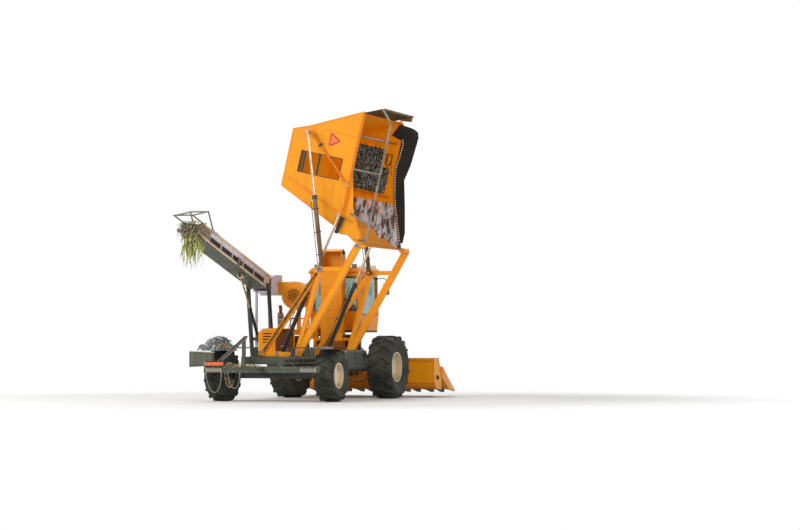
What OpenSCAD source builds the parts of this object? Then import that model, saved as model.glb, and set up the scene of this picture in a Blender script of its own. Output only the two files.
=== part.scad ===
/* [Frame] */
// Height of the frame rails' underside above the ground
rail_z = 1030; // [980:10:1080]
// Height of a frame rail
rail_h = 220; // [180:10:240]
// Width of a frame rail
rail_w = 120; // [80:10:140]
// Distance from the centre line to the middle of a rail
rail_y = 550; // [530:10:570]
// Rear end of the rails, measured forward from the bin's rear wall
rail_rear_x = -1500; // [-1560:10:-1480]
// Front end of the rails
rail_front_x = 4600; // [4500:10:4700]
// Height of the rear cross beam
beam_h = 180; // [140:10:200]
// Clearance between pieces that move past each other
run_gap = 6; // [5:1:10]
// Gap between pieces that rest on each other
seat_gap = 0.3; // [0.2:0.1:1]
// Radial clearance of a pin in its bore
pin_gap = 0.05; // [0.02:0.01:0.09]

/* [Bin] */
// Length of the bin along the machine
bin_len = 3100; // [2700:50:3300]
// Thickness of the bin's sheet
bin_wall = 12; // [6:1:20]
// Angle that the raised bin is tipped from its travelling position
bin_tip = 103; // [90:1:105]
// Height of the tipping hinge above the ground
hinge_z = 4310; // [4250:10:4400]
// Distance of the tipping hinge to the right of the centre line
hinge_out = 2400; // [2350:10:2450]
// Height of the stiffening ribs under the floor
rib_h = 50; // [30:5:60]
// Width of the stiffening ribs
rib_w = 90; // [60:5:120]
// Distance from the end of the hood to the front wall's outer face
hood_short = 680; // [500:20:900]
// Radius of the hinge pin
hinge_pin_r = 45; // [35:1:50]
// Radius of the rail tubes above the bin
rail_tube_r = 30; // [20:1:40]

/* [Tipping cylinders] */
// Barrel radius of the left cylinders
left_barrel_r = 62; // [50:1:65]
// Rod radius of the left cylinders
left_rod_r = 37; // [30:1:42]
// Barrel radius of the right cylinders
right_barrel_r = 60; // [50:1:65]
// Rod radius of the right cylinders
right_rod_r = 34; // [28:1:40]
// Barrel length of the left cylinders from their pin
left_barrel_len = 2080; // [2000:10:2090]
// Barrel length of the right cylinders from their pin
right_barrel_len = 2250; // [2100:10:2400]
// Radius of a tipping barrel's base eye
eye_r = 72; // [68:1:80]
// Radius of a tipping rod's eye
rod_eye_r = 60; // [55:1:62]
// Radius of a cylinder's pin
eye_pin_r = 30; // [25:1:35]
// Distance from the bin's wall to the middle of the right cylinder
right_plane = 130; // [125:5:140]
// Distance from the bin's wall to the middle of the left cylinder
left_plane = 290; // [285:5:300]
// Distance from the bin's wall to the near face of the gantry
gantry_off = 370; // [365:5:400]
// Thickness of the gantry's box sections
gantry_t = 110; // [90:5:120]

/* [Wheels] */
// Diameter of the front tyres
front_d = 1850; // [1750:10:1850]
// Width of the front tyres
front_w = 790; // [700:10:800]
// Distance from the centre line to the middle of a front tyre
front_y = 1560; // [1540:10:1580]
// Place of the front axle
front_x = 4250; // [4200:10:4300]
// Diameter of the rear tyres
rear_d = 1450; // [1400:10:1450]
// Width of the rear tyres
rear_w = 630; // [560:10:640]
// Distance from the centre line to the middle of a rear tyre
rear_y = 1645; // [1620:5:1660]
// Place of the rear axle
rear_x = -500; // [-520:10:-480]
// Distance from the centre line to a kingpin
king_y = 1220; // [1200:5:1225]
// Radius of the wheel spindles
spindle_r = 60; // [50:1:70]
// Number of tread lugs in each row of a front tyre
front_lugs = 16; // [12:2:22]
// Number of tread lugs in each row of a rear tyre
rear_lugs = 14; // [12:2:20]
// Height of a tread lug above the casing
lug_h = 46; // [30:2:55]
// Width of a tread lug
lug_w = 56; // [44:2:64]
// Slant of a tread lug
lug_turn = 27; // [15:1:35]

/* [Cab] */
// Rear face of the cab
cab_x = 3960; // [3950:10:4000]
// Length of the cab at its floor
cab_len = 1400; // [1350:10:1450]
// Half width of the cab
cab_half = 800; // [760:10:820]
// Height of the cab floor's underside
cab_z = 1950; // [1940:10:1980]
// Height of the cab from floor to roof
cab_h = 1750; // [1650:10:1800]
// Thickness of the cab's walls
cab_wall = 55; // [40:5:60]
// Thickness of the glass
glass_t = 8; // [5:1:12]

/* [Trash conveyor] */
// Slope of the conveyor above level
conv_slope = 15.7; // [12:0.1:17]
// Right face of the conveyor's rails, from the centre line
conv_y = 1715; // [1710:5:1730]
// Width of the conveyor over its rails
conv_w = 580; // [540:5:590]
// Depth of the conveyor trough
conv_h = 430; // [380:5:460]
// Distance from the tail pivot to the head drum
conv_len = 4790; // [4700:10:4850]
// Place of the tail pivot along the machine
conv_x = 2850; // [2800:10:2880]
// Height of the tail pivot
conv_z = 3290; // [3250:10:3320]
// Radius of the head drum
drum_r = 150; // [120:5:160]

/* [Head] */
// Number of crop rows
rows = 6; // [4:2:6]
// Spacing of the rows
row_pitch = 762; // [740:1:762]
// Tip of the snouts, measured forward from the bin's rear wall
tip_x = 8220; // [8000:10:8300]
// Height of the snout tips above the ground
tip_z = 170; // [150:10:250]
// Half width of the feeder house
feeder_half = 430; // [380:5:440]
// Height of the feeder house
feeder_h = 480; // [420:10:500]
// Radius of the cross auger over its flight
auger_r = 240; // [200:5:250]
// Lean of the flights on the cross auger
flight_lean = 10; // [0:1:14]

/* [Hidden] */
$fn = 48;

// Colours of the finishes
orange = [0.93, 0.56, 0.07];
cream = [0.82, 0.76, 0.66];
lilac = [0.72, 0.70, 0.74];
dark = [0.13, 0.14, 0.14];
iron = [0.30, 0.24, 0.19];
chrome = [0.80, 0.81, 0.82];
rubber = [0.06, 0.06, 0.06];
tyre_black = [0.10, 0.10, 0.10];
glass = [0.35, 0.42, 0.44];
red = [0.85, 0.22, 0.08];

// The bin's end outline: across from the floor's left corner, and up from the floor
bin_c = [-860, 1970];
bin_b = [-155, 440];
bin_a = [0, 0];
bin_g = [1580, 0];
bin_f = [2350, 1790];
bin_lip = [[2570, 1990], [2550, 2220], [2710, 2490]];
bin_d = [2770, 2770];
bin_crest = [1980, 2280];
bin_step = [745, 1975];
bin_e = [-1070, 2490];
front_rim = [[2149, 2551], [1514, 2325], [1093, 2212], [521, 2112], [-341, 2134]];
belt_rim = [[2248, 2765], [1460, 2582], [761, 2400], [294, 2500], [-545, 2560], [-740, 2400]];
rim_v = 1985;
rim_w = 50;
rail_corner = [-720, 2820];
left_eye = [-20, 530];
right_eye = [2060, 1920];
bin_path = concat([bin_c, bin_b, bin_a, bin_g, bin_f], bin_lip, [bin_d]);

// Cylinder base pins on the gantries: distance to the left and height
left_base = [-1282, 3678];
right_base = [0, 1330];

// Rear face of the conveyor's guard and the front tips close the length
conv_guard_x = -2380;
guard_r = 20;
// Half width over the outer snouts
snout_half = 114;
head_half = rows / 2 * row_pitch + snout_half;

// Sums in the plane across the machine
function turned(p, a) = [p[0] * cos(a) - p[1] * sin(a), p[0] * sin(a) + p[1] * cos(a)];
function bin_point(p, a = bin_tip) =
    [-hinge_out, hinge_z] + turned([bin_d[0] - p[0], p[1] - bin_d[1]], a);
function heading(v) = atan2(v[1], v[0]);

// Middle of the whole machine, which is the origin on the ground
rail_ball_r = rail_tube_r + 4;
right_reach = bin_point(rail_corner)[0] - rail_ball_r;
mid_x = (tip_x + conv_guard_x) / 2;
mid_y = (head_half + right_reach) / 2;

// Lengths and headings of the tipping cylinders with the bin raised
left_long = norm(bin_point(left_eye) - left_base);
left_turn = heading(bin_point(left_eye) - left_base);
right_long = norm(bin_point(right_eye) - right_base);
right_turn = heading(bin_point(right_eye) - right_base);

// Heights in the frame
rail_top = rail_z + rail_h;
beam_x = rail_rear_x;
beam_z = 805;
saddle_top = hinge_z - bin_d[1] - rib_h - run_gap;

// Unit direction and its left-hand normal
function unit(v) = v / norm(v);
function side(a, b) = let(d = unit(b - a)) [-d[1], d[0]];
function shifted(p, i, t) =
    i == 0 ? p[0] + t * side(p[0], p[1])
    : i == len(p) - 1 ? p[i] + t * side(p[i - 1], p[i])
    : let(n0 = side(p[i - 1], p[i]), n1 = side(p[i], p[i + 1]))
      p[i] + t * (n0 + n1) / (1 + n0 * n1);
// A bent sheet: the path and the same path moved to its left by t
function sheet(p, t) = concat(p, [for (i = [len(p) - 1:-1:0]) shifted(p, i, t)]);
// A straight bar of width w between two points of a plane
function bar(p, q, w) = let(n = side(p, q) * w / 2) [p - n, q - n, q + n, p + n];
// Points of an arc
function arc(c, r, a0, a1, n = 8) =
    [for (i = [0:n]) let(a = a0 + (a1 - a0) * i / n) c + r * [cos(a), sin(a)]];
// Rectangle with round corners
function pad(lo, hi, r, n = 5) = concat(
    arc([hi[0] - r, hi[1] - r], r, 0, 90, n), arc([lo[0] + r, hi[1] - r], r, 90, 180, n),
    arc([lo[0] + r, lo[1] + r], r, 180, 270, n), arc([hi[0] - r, lo[1] + r], r, 270, 360, n));

// The machine is laid out from the bin's rear wall and the centre line
module placed() {
    translate([-mid_x, -mid_y, 0]) children();
}
// A flat shape of the cross plane (left, up) drawn out along the machine
module along_x(x0, x1) {
    translate([x0, 0, 0]) rotate([90, 0, 90]) linear_extrude(x1 - x0) children();
}
// A flat shape of the side plane (forward, up) drawn out across the machine
module along_y(y0, y1) {
    translate([0, y1, 0]) rotate([90, 0, 0]) linear_extrude(y1 - y0) children();
}
module along_z(z0, z1) {
    translate([0, 0, z0]) linear_extrude(z1 - z0) children();
}
module block(lo, hi) {
    translate(lo) cube(hi - lo);
}
module rod_x(x0, x1, yz, r) {
    translate([x0, yz[0], yz[1]]) rotate([0, 90, 0]) cylinder(r = r, h = x1 - x0);
}
module rod_y(y0, y1, xz, r) {
    translate([xz[0], y0, xz[1]]) rotate([-90, 0, 0]) cylinder(r = r, h = y1 - y0);
}
module rod_z(z0, z1, xy, r) {
    translate([xy[0], xy[1], z0]) cylinder(r = r, h = z1 - z0);
}
// A round tube from one point to another
module tube(p, q, r) {
    v = q - p;
    translate(p) rotate([0, acos(v[2] / norm(v)), atan2(v[1], v[0])]) cylinder(r = r, h = norm(v));
}
// The same piece on both sides of the centre line
module both_sides() {
    children();
    mirror([0, 1, 0]) children();
}
// The same piece behind and ahead of the bin
module both_ends() {
    children();
    translate([bin_len, 0, 0]) mirror([1, 0, 0]) children();
}
// Bin pieces are drawn across, up and forward from the floor's left rear corner
module in_bin() {
    placed()
        translate([0, -hinge_out, hinge_z])
        rotate([bin_tip, 0, 0])
        translate([0, bin_d[0], -bin_d[1]])
        rotate([90, 0, 90])
        mirror([1, 0, 0]) children();
}
// Conveyor pieces are drawn from the tail pivot, with the head towards minus x
module on_conveyor() {
    placed() translate([conv_x, 0, conv_z]) rotate([0, conv_slope, 0]) children();
}

// Frame rails, cross members, bin saddles and the rear beam
module chassis() {
    color(dark) placed() {
        both_sides() {
            block([rail_rear_x, rail_y - rail_w / 2, rail_z], [rail_front_x, rail_y + rail_w / 2, rail_top]);
        }
        // Cross members, three of them with saddles under the bin's ribs
        block([-1260, -rail_y, rail_z + 20], [-1140, rail_y, rail_top - 20]);
        for (i = [1:3]) {
            x = rib_w / 2 + (bin_len - rib_w) * i / 4;
            block([x - 60, -rail_y, rail_z + 20], [x + 60, rail_y, rail_top - 20]);
            for (y = [-rail_y, 250]) {
                block([x - rib_w / 2, y - 60, rail_top - 21], [x + rib_w / 2, y + 60, saddle_top]);
            }
        }
        // Brackets and pins that carry the feeder house
        both_sides() {
            along_y(feeder_half + 10, rail_y + 10)
                polygon([[head_pivot[0] - 110, rail_top - 1], [head_pivot[0] + 110, rail_top - 1],
                         [head_pivot[0] + 75, head_pivot[1] + 80], [head_pivot[0] - 75, head_pivot[1] + 80]]);
            rod_y(feeder_half - 25, feeder_half + 11, head_pivot, feeder_pin_r);
        }
        // Rear beam hung below the rails' ends
        block([beam_x - 120, -1710, beam_z], [beam_x, 1710, beam_z + beam_h]);
        both_sides() block([beam_x - 60, rail_y - rail_w / 2, beam_z + beam_h - 1], [beam_x + 1, rail_y + rail_w / 2, rail_top]);
        // Outrigger that carries the conveyor's mast
        block([mast_x - 80, rail_y, rail_z + 20], [mast_x + 80, conv_y + conv_w + 80, rail_top]);
        // Rear step and the slanted pair of bars on the left
        for (x = [beam_x - 110, beam_x - 40]) {
            along_x(x, x + 30) polygon(bar([rail_y - 110, 1811], [1410, beam_z + beam_h - 10], 34));
        }
        block([beam_x - 110, rail_y - 60, rail_top - 1], [beam_x - 10, rail_y + 20, 1760]);
        // Towing clevis on the rear beam
        difference() {
            block([beam_x - 260, -70, beam_z + 20], [beam_x - 119, 70, beam_z + beam_h - 20]);
            block([beam_x - 261, -80, beam_z + 60], [beam_x - 150, 80, beam_z + beam_h - 60]);
            rod_z(beam_z, beam_z + beam_h, [beam_x - 210, 0], hitch_r);
        }
    }
}
hitch_r = 20;
mast_x = 3160;
feeder_pin_r = 45;

// One gantry behind the bin and its mirror image ahead of it
module gantry() {
    far = -gantry_off - gantry_t;
    near = -gantry_off;
    hinge = [-hinge_out, hinge_z];
    foot_l = [rail_y, rail_top - 60];
    foot_r = [-rail_y, rail_top - 60];
    along_x(far, near) difference() {
        union() {
            polygon(bar(foot_r, hinge, 190));
            polygon(bar(foot_l, left_base, 130));
            polygon(bar(foot_r, left_base, 130));
            polygon(bar(left_base, [-2010, left_base[1]], 120));
            polygon(bar([rail_y + rail_w / 2, rail_top + 65], [-rail_y - rail_w / 2, rail_top + 65], 130));
        }
        translate([-rail_y - 200, 0]) square([2 * rail_y + 400, rail_top + seat_gap]);
    }
    rod_x(far, near + 245, hinge, hinge_hub_r);
    rod_x(far, -left_plane - base_w / 2 - run_gap, left_base, 95);
    rod_x(far, -right_plane - base_w / 2 - run_gap, right_base, 62);
    rod_x(far + 10, -10, hinge, hinge_pin_r);
    rod_x(far + 10, -left_plane + base_w / 2 + 10, left_base, eye_pin_r);
    rod_x(far + 10, -right_plane + base_w / 2, right_base, eye_pin_r);
}
hinge_hub_r = 75;
module gantries() {
    color(orange) placed() both_ends() gantry();
}

// Front axle with its final drives and spindles
module front_axle() {
    axle_z = front_d / 2;
    color(dark) placed() {
        block([front_x - 130, -1050, rail_z - 230], [front_x + 130, 1050, rail_z]);
        both_sides() {
            rod_y(1000, 1180, [front_x, axle_z], 210);
            rod_y(1100, front_y + 60, [front_x, axle_z], spindle_r);
        }
        // Brackets of the head's lift cylinders
        both_sides() difference() {
            along_y(lift_y - 90, lift_y + 90)
                polygon([[front_x - 60, rail_z - 229], [front_x + 130, rail_z - 229], [lift_base[0] + 60, lift_base[1] - 50],
                         [lift_base[0] - 60, lift_base[1] - 50]]);
            block([front_x - 90, lift_y - 62, lift_base[1] - 90], [front_x + 200, lift_y + 62, rail_z - 231]);
        }
        both_sides() rod_y(lift_y - 90, lift_y + 90, lift_base, 25);
    }
}
lift_y = 300;
lift_base = [front_x + 60, 700];
lift_eye = [5350, 745];

// Rear axle: a pivoted beam whose ends carry the kingpins
module rear_axle() {
    axle_z = rear_d / 2;
    color(dark) placed() {
        difference() {
            union() {
                block([rear_x - 90, -king_y, axle_z - 85], [rear_x + 90, king_y, axle_z + 135]);
                both_sides() rod_z(axle_z - 85, axle_z + 135, [rear_x, king_y], 70 + 25);
            }
            both_sides() rod_z(axle_z - 90, axle_z + 140, [rear_x, king_y], king_r + pin_gap);
        }
        // Pivot bracket between the axle and the frame
        block([rear_x - 70, -260, axle_z + 134], [rear_x + 70, 260, rail_z + 21]);
        rail_in = rail_y - rail_w / 2 - seat_gap;
        block([rear_x - 70, -rail_in, rail_z + 20], [rear_x + 70, rail_in, rail_top - 20]);
    }
}
king_r = 38;

// Steering knuckle with its kingpin and wheel spindle
module knuckle() {
    axle_z = rear_d / 2;
    top = axle_z + 135 + run_gap;
    low = axle_z - 85 - run_gap;
    arm_t = 40;
    plate_y = king_y + 95 + 2 * run_gap;
    rod_z(low - arm_t, top + arm_t, [rear_x, king_y], king_r);
    for (z = [low - arm_t, top]) {
        block([rear_x - 60, king_y - 60, z], [rear_x + 60, plate_y + 30, z + arm_t]);
    }
    block([rear_x - 110, plate_y, low - arm_t], [rear_x + 110, plate_y + 40, top + arm_t]);
    rod_y(plate_y + 39, rear_y + 60, [rear_x, axle_z], spindle_r);
}
module left_knuckle() {
    color(dark) placed() knuckle();
}
module right_knuckle() {
    color(dark) placed() mirror([0, 1, 0]) knuckle();
}

// Wheels: a dished rim, and a casing with two staggered rows of slanted lugs
module rim(d, w, seat_r, x, y) {
    bead = w * 0.36;
    dish = 70;
    translate([x, y, d / 2]) rotate([-90, 0, 0]) {
        rotate_extrude($fn = 72) polygon([
            [seat_r - 14, -bead], [seat_r + 22, -bead], [seat_r + 22, -bead + 14], [seat_r, -bead + 22],
            [seat_r, bead - 22], [seat_r + 22, bead - 14], [seat_r + 22, bead], [seat_r - 14, bead],
            [seat_r - 14, dish + 12], [seat_r * 0.62, dish - 30], [210, dish - 40], [180, 40], [spindle_r + pin_gap, 40],
            [spindle_r + pin_gap, -30], [200, -30], [230, dish - 70], [seat_r * 0.62, dish - 54], [seat_r - 14, dish - 16]]);
    }
}
module tyre(d, w, seat_r, x, y, lugs) {
    r = d / 2;
    bead = w * 0.36 - 24;
    belly = w / 2;
    mid_r = (r + seat_r) / 2;
    casing = [[r - lug_h, belly - 150], [r - 105, belly - 40], [mid_r + 40, belly], [seat_r + 60, bead + 20], [seat_r + 0.3, bead]];
    // Along a slanted lug from the middle to its shoulder and its end
    run = (belly - lug_w / 2 * sin(lug_turn)) / cos(lug_turn) - 5;
    shoulder = run - 90;
    reach = shoulder * sin(lug_turn) + lug_w / 2 * cos(lug_turn);
    translate([x, y, r]) rotate([-90, 0, 0]) {
        rotate_extrude($fn = 26)
            polygon(concat([for (i = [len(casing) - 1:-1:0]) [casing[i][0], -casing[i][1]]], casing));
        for (i = [0:lugs - 1], row = [0, 1]) rotate((i + row / 2) * 360 / lugs) mirror([0, 0, row])
            rotate([90 + lug_turn, 0, 0]) translate([0, 0, -lug_w / 2]) linear_extrude(lug_w)
                polygon([[r - 90, -22], [r, -22], [sqrt(r * r - reach * reach), shoulder], [r - 150, run]]);
    }
}
front_seat_r = 420;
rear_seat_r = 335;
module front_left_rim() {
    color(cream) placed() rim(front_d, front_w, front_seat_r, front_x, front_y);
}
module front_left_tyre() {
    color(tyre_black) placed() tyre(front_d, front_w, front_seat_r, front_x, front_y, front_lugs);
}
module front_right_rim() {
    color(cream) placed() mirror([0, 1, 0]) rim(front_d, front_w, front_seat_r, front_x, front_y);
}
module front_right_tyre() {
    color(tyre_black) placed() mirror([0, 1, 0]) tyre(front_d, front_w, front_seat_r, front_x, front_y, front_lugs);
}
module rear_left_rim() {
    color(cream) placed() rim(rear_d, rear_w, rear_seat_r, rear_x, rear_y);
}
module rear_left_tyre() {
    color(tyre_black) placed() tyre(rear_d, rear_w, rear_seat_r, rear_x, rear_y, rear_lugs);
}
module rear_right_rim() {
    color(cream) placed() mirror([0, 1, 0]) rim(rear_d, rear_w, rear_seat_r, rear_x, rear_y);
}
module rear_right_tyre() {
    color(tyre_black) placed() mirror([0, 1, 0]) tyre(rear_d, rear_w, rear_seat_r, rear_x, rear_y, rear_lugs);
}

// Cab outline seen from the side, with a raked windscreen
cab_sill = cab_z + 60;
cab_top = cab_z + cab_h;
cab_side = [[cab_x, cab_sill], [cab_x + cab_len, cab_sill], [cab_x + cab_len + 140, cab_sill + 480],
            [cab_x + cab_len + 20, cab_top], [cab_x, cab_top]];
cab_inner = [[cab_x + cab_wall, cab_sill - 1], [cab_x + cab_len - cab_wall, cab_sill - 1],
             [cab_x + cab_len + 140 - cab_wall, cab_sill + 480], [cab_x + cab_len + 20 - cab_wall, cab_top + 1],
             [cab_x + cab_wall, cab_top + 1]];
door_lo = [cab_x + 190, cab_sill + 30];
door_hi = [cab_x + 1190, cab_top - 90];
window_edge = 70;
module cab_floor() {
    color(dark) placed() {
        block([cab_x, -cab_half, cab_z], [cab_x + cab_len, cab_half, cab_sill]);
        // Legs down to the frame rails
        both_sides() {
            block([cab_x + 260, rail_y - 40, rail_top + seat_gap], [cab_x + 360, rail_y + 40, cab_z + 1]);
            block([rail_front_x - 120, rail_y - 40, rail_top + seat_gap], [rail_front_x - 20, rail_y + 40, cab_z + 1]);
        }
    }
}
module cab_shell() {
    glass_lo = cab_sill + 460;
    color(orange) placed() {
        // Brackets and pins of the door's hinges
        for (z = [door_lo[1] + 250, door_hi[1] - 250]) {
            for (dz = [-26, 86]) block([door_hinge[0] - 14, cab_half - 1, z + dz], [door_hinge[0] + 12, door_hinge[1] + 14, z + dz + 20]);
            rod_z(z - 25, z + 105, door_hinge, 8);
        }
        difference() {
        along_y(-cab_half, cab_half) polygon(cab_side);
        along_y(-cab_half + cab_wall, cab_half - cab_wall) polygon(cab_inner);
        // Door opening on the left
        along_y(cab_half - cab_wall - 1, cab_half + 1)
            polygon([door_lo, [door_hi[0], door_lo[1]], door_hi, [door_lo[0], door_hi[1]]]);
        // Window on the right
        along_y(-cab_half - 1, -cab_half + cab_wall + 1)
            polygon(pad([cab_x + 150, glass_lo], [cab_x + cab_len - 60, cab_top - 110], 60));
        // Windscreen and rear window
        along_x(cab_x + cab_len - 100, cab_x + cab_len + 200)
            polygon(pad([-cab_half + 80, cab_sill + 120], [cab_half - 80, cab_top - 110], 60));
        along_x(cab_x - 1, cab_x + cab_wall + 1)
            polygon(pad([-cab_half + 120, glass_lo + 120], [cab_half - 120, cab_top - 110], 60));
        }
    }
}
module cab_roof() {
    color(orange) placed() difference() {
        along_y(-cab_half - 50, cab_half + 50)
            polygon(pad([cab_x - 20, cab_top], [cab_x + cab_len + 190, cab_top + 170], 60));
        along_x(cab_x - 40, cab_x + cab_len + 200) {
            polygon([[cab_half + 51, cab_top + 60], [cab_half + 51, cab_top + 171], [cab_half - 60, cab_top + 171]]);
            polygon([[-cab_half - 51, cab_top + 60], [-cab_half - 51, cab_top + 171], [-cab_half + 60, cab_top + 171]]);
        }
    }
}
// Fixed glass, set halfway into the walls
module cab_glass() {
    inset = cab_wall / 2;
    glass_lo = cab_sill + 460;
    color(glass) placed() {
        along_y(-cab_half + inset, -cab_half + inset + glass_t)
            polygon(pad([cab_x + 150 + seat_gap, glass_lo + seat_gap],
                        [cab_x + cab_len - 60 - seat_gap, cab_top - 110 - seat_gap], 60));
        along_x(cab_x + inset, cab_x + inset + glass_t)
            polygon(pad([-cab_half + 120 + seat_gap, glass_lo + 120 + seat_gap],
                        [cab_half - 120 - seat_gap, cab_top - 110 - seat_gap], 60));
        intersection() {
            along_y(-cab_half + 80 + seat_gap, cab_half - 80 - seat_gap)
                polygon(sheet([for (p = [[cab_x + cab_len, cab_sill], [cab_x + cab_len + 140, cab_sill + 480],
                                         [cab_x + cab_len + 20, cab_top]]) p - [inset, 0]], glass_t));
            along_x(cab_x + cab_len - 99, cab_x + cab_len + 199)
                polygon(pad([-cab_half + 80 + seat_gap, cab_sill + 120 + seat_gap],
                            [cab_half - 80 - seat_gap, cab_top - 110 - seat_gap], 60));
        }
    }
}
// Door: a framed panel the thickness of the wall, hinged at its rear edge
door_hinge = [door_lo[0] - 14, cab_half + 22];
module cab_door() {
    g = run_gap;
    color(orange) placed() {
        difference() {
            along_y(cab_half - cab_wall, cab_half)
                polygon([door_lo + [g, g], [door_hi[0] - g, door_lo[1] + g], door_hi - [g, g], [door_lo[0] + g, door_hi[1] - g]]);
            along_y(cab_half - cab_wall - 1, cab_half + 1)
                polygon(pad(door_lo + [g + window_edge, g + 250], door_hi - [g + window_edge, g + window_edge], 50));
        }
        // Hinge leaves with their bored knuckles
        for (z = [door_lo[1] + 250, door_hi[1] - 250]) difference() {
            union() {
                block([door_hinge[0], cab_half + 4, z], [door_lo[0] + g + 60, cab_half + 16, z + 80]);
                block([door_lo[0] + g + 8, cab_half - 0.5, z], [door_lo[0] + g + 60, cab_half + 5, z + 80]);
                rod_z(z, z + 80, door_hinge, 16);
            }
            rod_z(z - 1, z + 81, door_hinge, 8 + pin_gap);
        }
        // Handle near the front edge
        block([door_hi[0] - 64, cab_half - 0.5, door_lo[1] + 640], [door_hi[0] - 34, cab_half + 40, door_lo[1] + 665]);
        block([door_hi[0] - 64, cab_half - 0.5, door_lo[1] + 815], [door_hi[0] - 34, cab_half + 40, door_lo[1] + 840]);
        block([door_hi[0] - 64, cab_half + 20, door_lo[1] + 640], [door_hi[0] - 34, cab_half + 40, door_lo[1] + 840]);
    }
}
module door_glass() {
    g = run_gap + seat_gap;
    color(glass) placed() along_y(cab_half - cab_wall / 2, cab_half - cab_wall / 2 + glass_t)
        polygon(pad(door_lo + [g + window_edge, g + 250], door_hi - [g + window_edge, g + window_edge], 50));
}
module cab_seat() {
    seat_x = cab_x + 560;
    color(dark) placed() {
        block([seat_x - 150, -150, cab_sill + seat_gap], [seat_x + 170, 150, cab_sill + 330]);
        along_y(-240, 240) polygon(pad([seat_x - 230, cab_sill + 329], [seat_x + 250, cab_sill + 450], 50));
        along_y(-230, 230)
            polygon(bar([seat_x - 190, cab_sill + 400], [seat_x - 290, cab_sill + 1050], 120));
        block([seat_x - 200, 250, cab_sill + 560], [seat_x + 150, 320, cab_sill + 610]);
        block([seat_x - 200, -420, cab_sill + 560], [seat_x + 230, -250, cab_sill + 640]);
        both_sides() block([seat_x - 230, 200, cab_sill + 560], [seat_x - 195, 320, cab_sill + 610]);
    }
}
module steering_column() {
    base_x = cab_x + cab_len - 230;
    color(dark) placed() {
        block([base_x - 60, -90, cab_sill + seat_gap], [base_x + 60, 90, cab_sill + 60]);
        tube([base_x, 0, cab_sill + 30], [base_x - 190, 0, cab_sill + 760], 38);
        translate([base_x - 190, 0, cab_sill + 760]) rotate([0, -15, 0]) {
            rotate_extrude($fn = 64) translate([200, 0]) circle(r = 16, $fn = 24);
            rotate([0, 90, 0]) translate([0, 0, -200]) cylinder(r = 12, h = 400);
            rotate([90, 0, 0]) translate([0, 0, -200]) cylinder(r = 12, h = 400);
        }
    }
}
// Platform beside the cab, its rails and the ladder down to the ground
deck_z = cab_z - 40;
module platform_ladder() {
    tube_r = 19;
    deck_out = 1480;
    ladder_x = cab_x + cab_len - 20;
    color(orange) placed() {
        block([cab_x, cab_half + 2, deck_z], [ladder_x, deck_out, deck_z + 45]);
        block([cab_x, cab_half - 20, deck_z - 40], [cab_x + 90, deck_out, deck_z + 1]);
        block([ladder_x - 90, cab_half - 20, deck_z - 75], [ladder_x, deck_out, deck_z + 1]);
        // Link to the cab floor
        block([cab_x, cab_half - 200, deck_z - 120], [cab_x + 90, cab_half + 3, cab_z - seat_gap]);
        block([ladder_x - 90, cab_half - 200, deck_z - 75], [ladder_x, cab_half + 3, cab_z - seat_gap]);
        // Ladder stringers and steps
        for (y = [deck_out - 480, deck_out - 30]) {
            along_y(y, y + 30) polygon(bar([ladder_x - 20, deck_z + 40], [ladder_x + 330, 460], 90));
        }
        for (i = [0:4]) {
            t = (i + 0.6) / 5;
            sx = ladder_x - 20 + 350 * t;
            sz = deck_z + 40 + (460 - deck_z - 40) * t;
            block([sx - 90, deck_out - 451, sz - 15], [sx + 90, deck_out - 29, sz + 15]);
        }
        // Grab rails
        for (y = [deck_out - 500, deck_out + 10]) {
            tube([ladder_x - 30, y, deck_z + 20], [ladder_x - 30, y, deck_z + 950], tube_r);
            tube([ladder_x - 30, y, deck_z + 940], [ladder_x + 210, y, deck_z + 700], tube_r);
            tube([ladder_x + 210, y, deck_z + 710], [ladder_x + 210, y, deck_z - 700], tube_r);
            tube([ladder_x + 210, y, deck_z - 690], [ladder_x + 120, y, deck_z - 690], tube_r);
        }
        for (y = [cab_half + 60, deck_out - 20]) {
            tube([cab_x + 30, y, deck_z + 30], [cab_x + 30, y, deck_z + 900], tube_r);
        }
        for (z = [deck_z + 450, deck_z + 890]) {
            tube([cab_x + 30, cab_half + 50, z], [cab_x + 30, deck_out - 10, z], tube_r);
        }
    }
}

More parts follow.
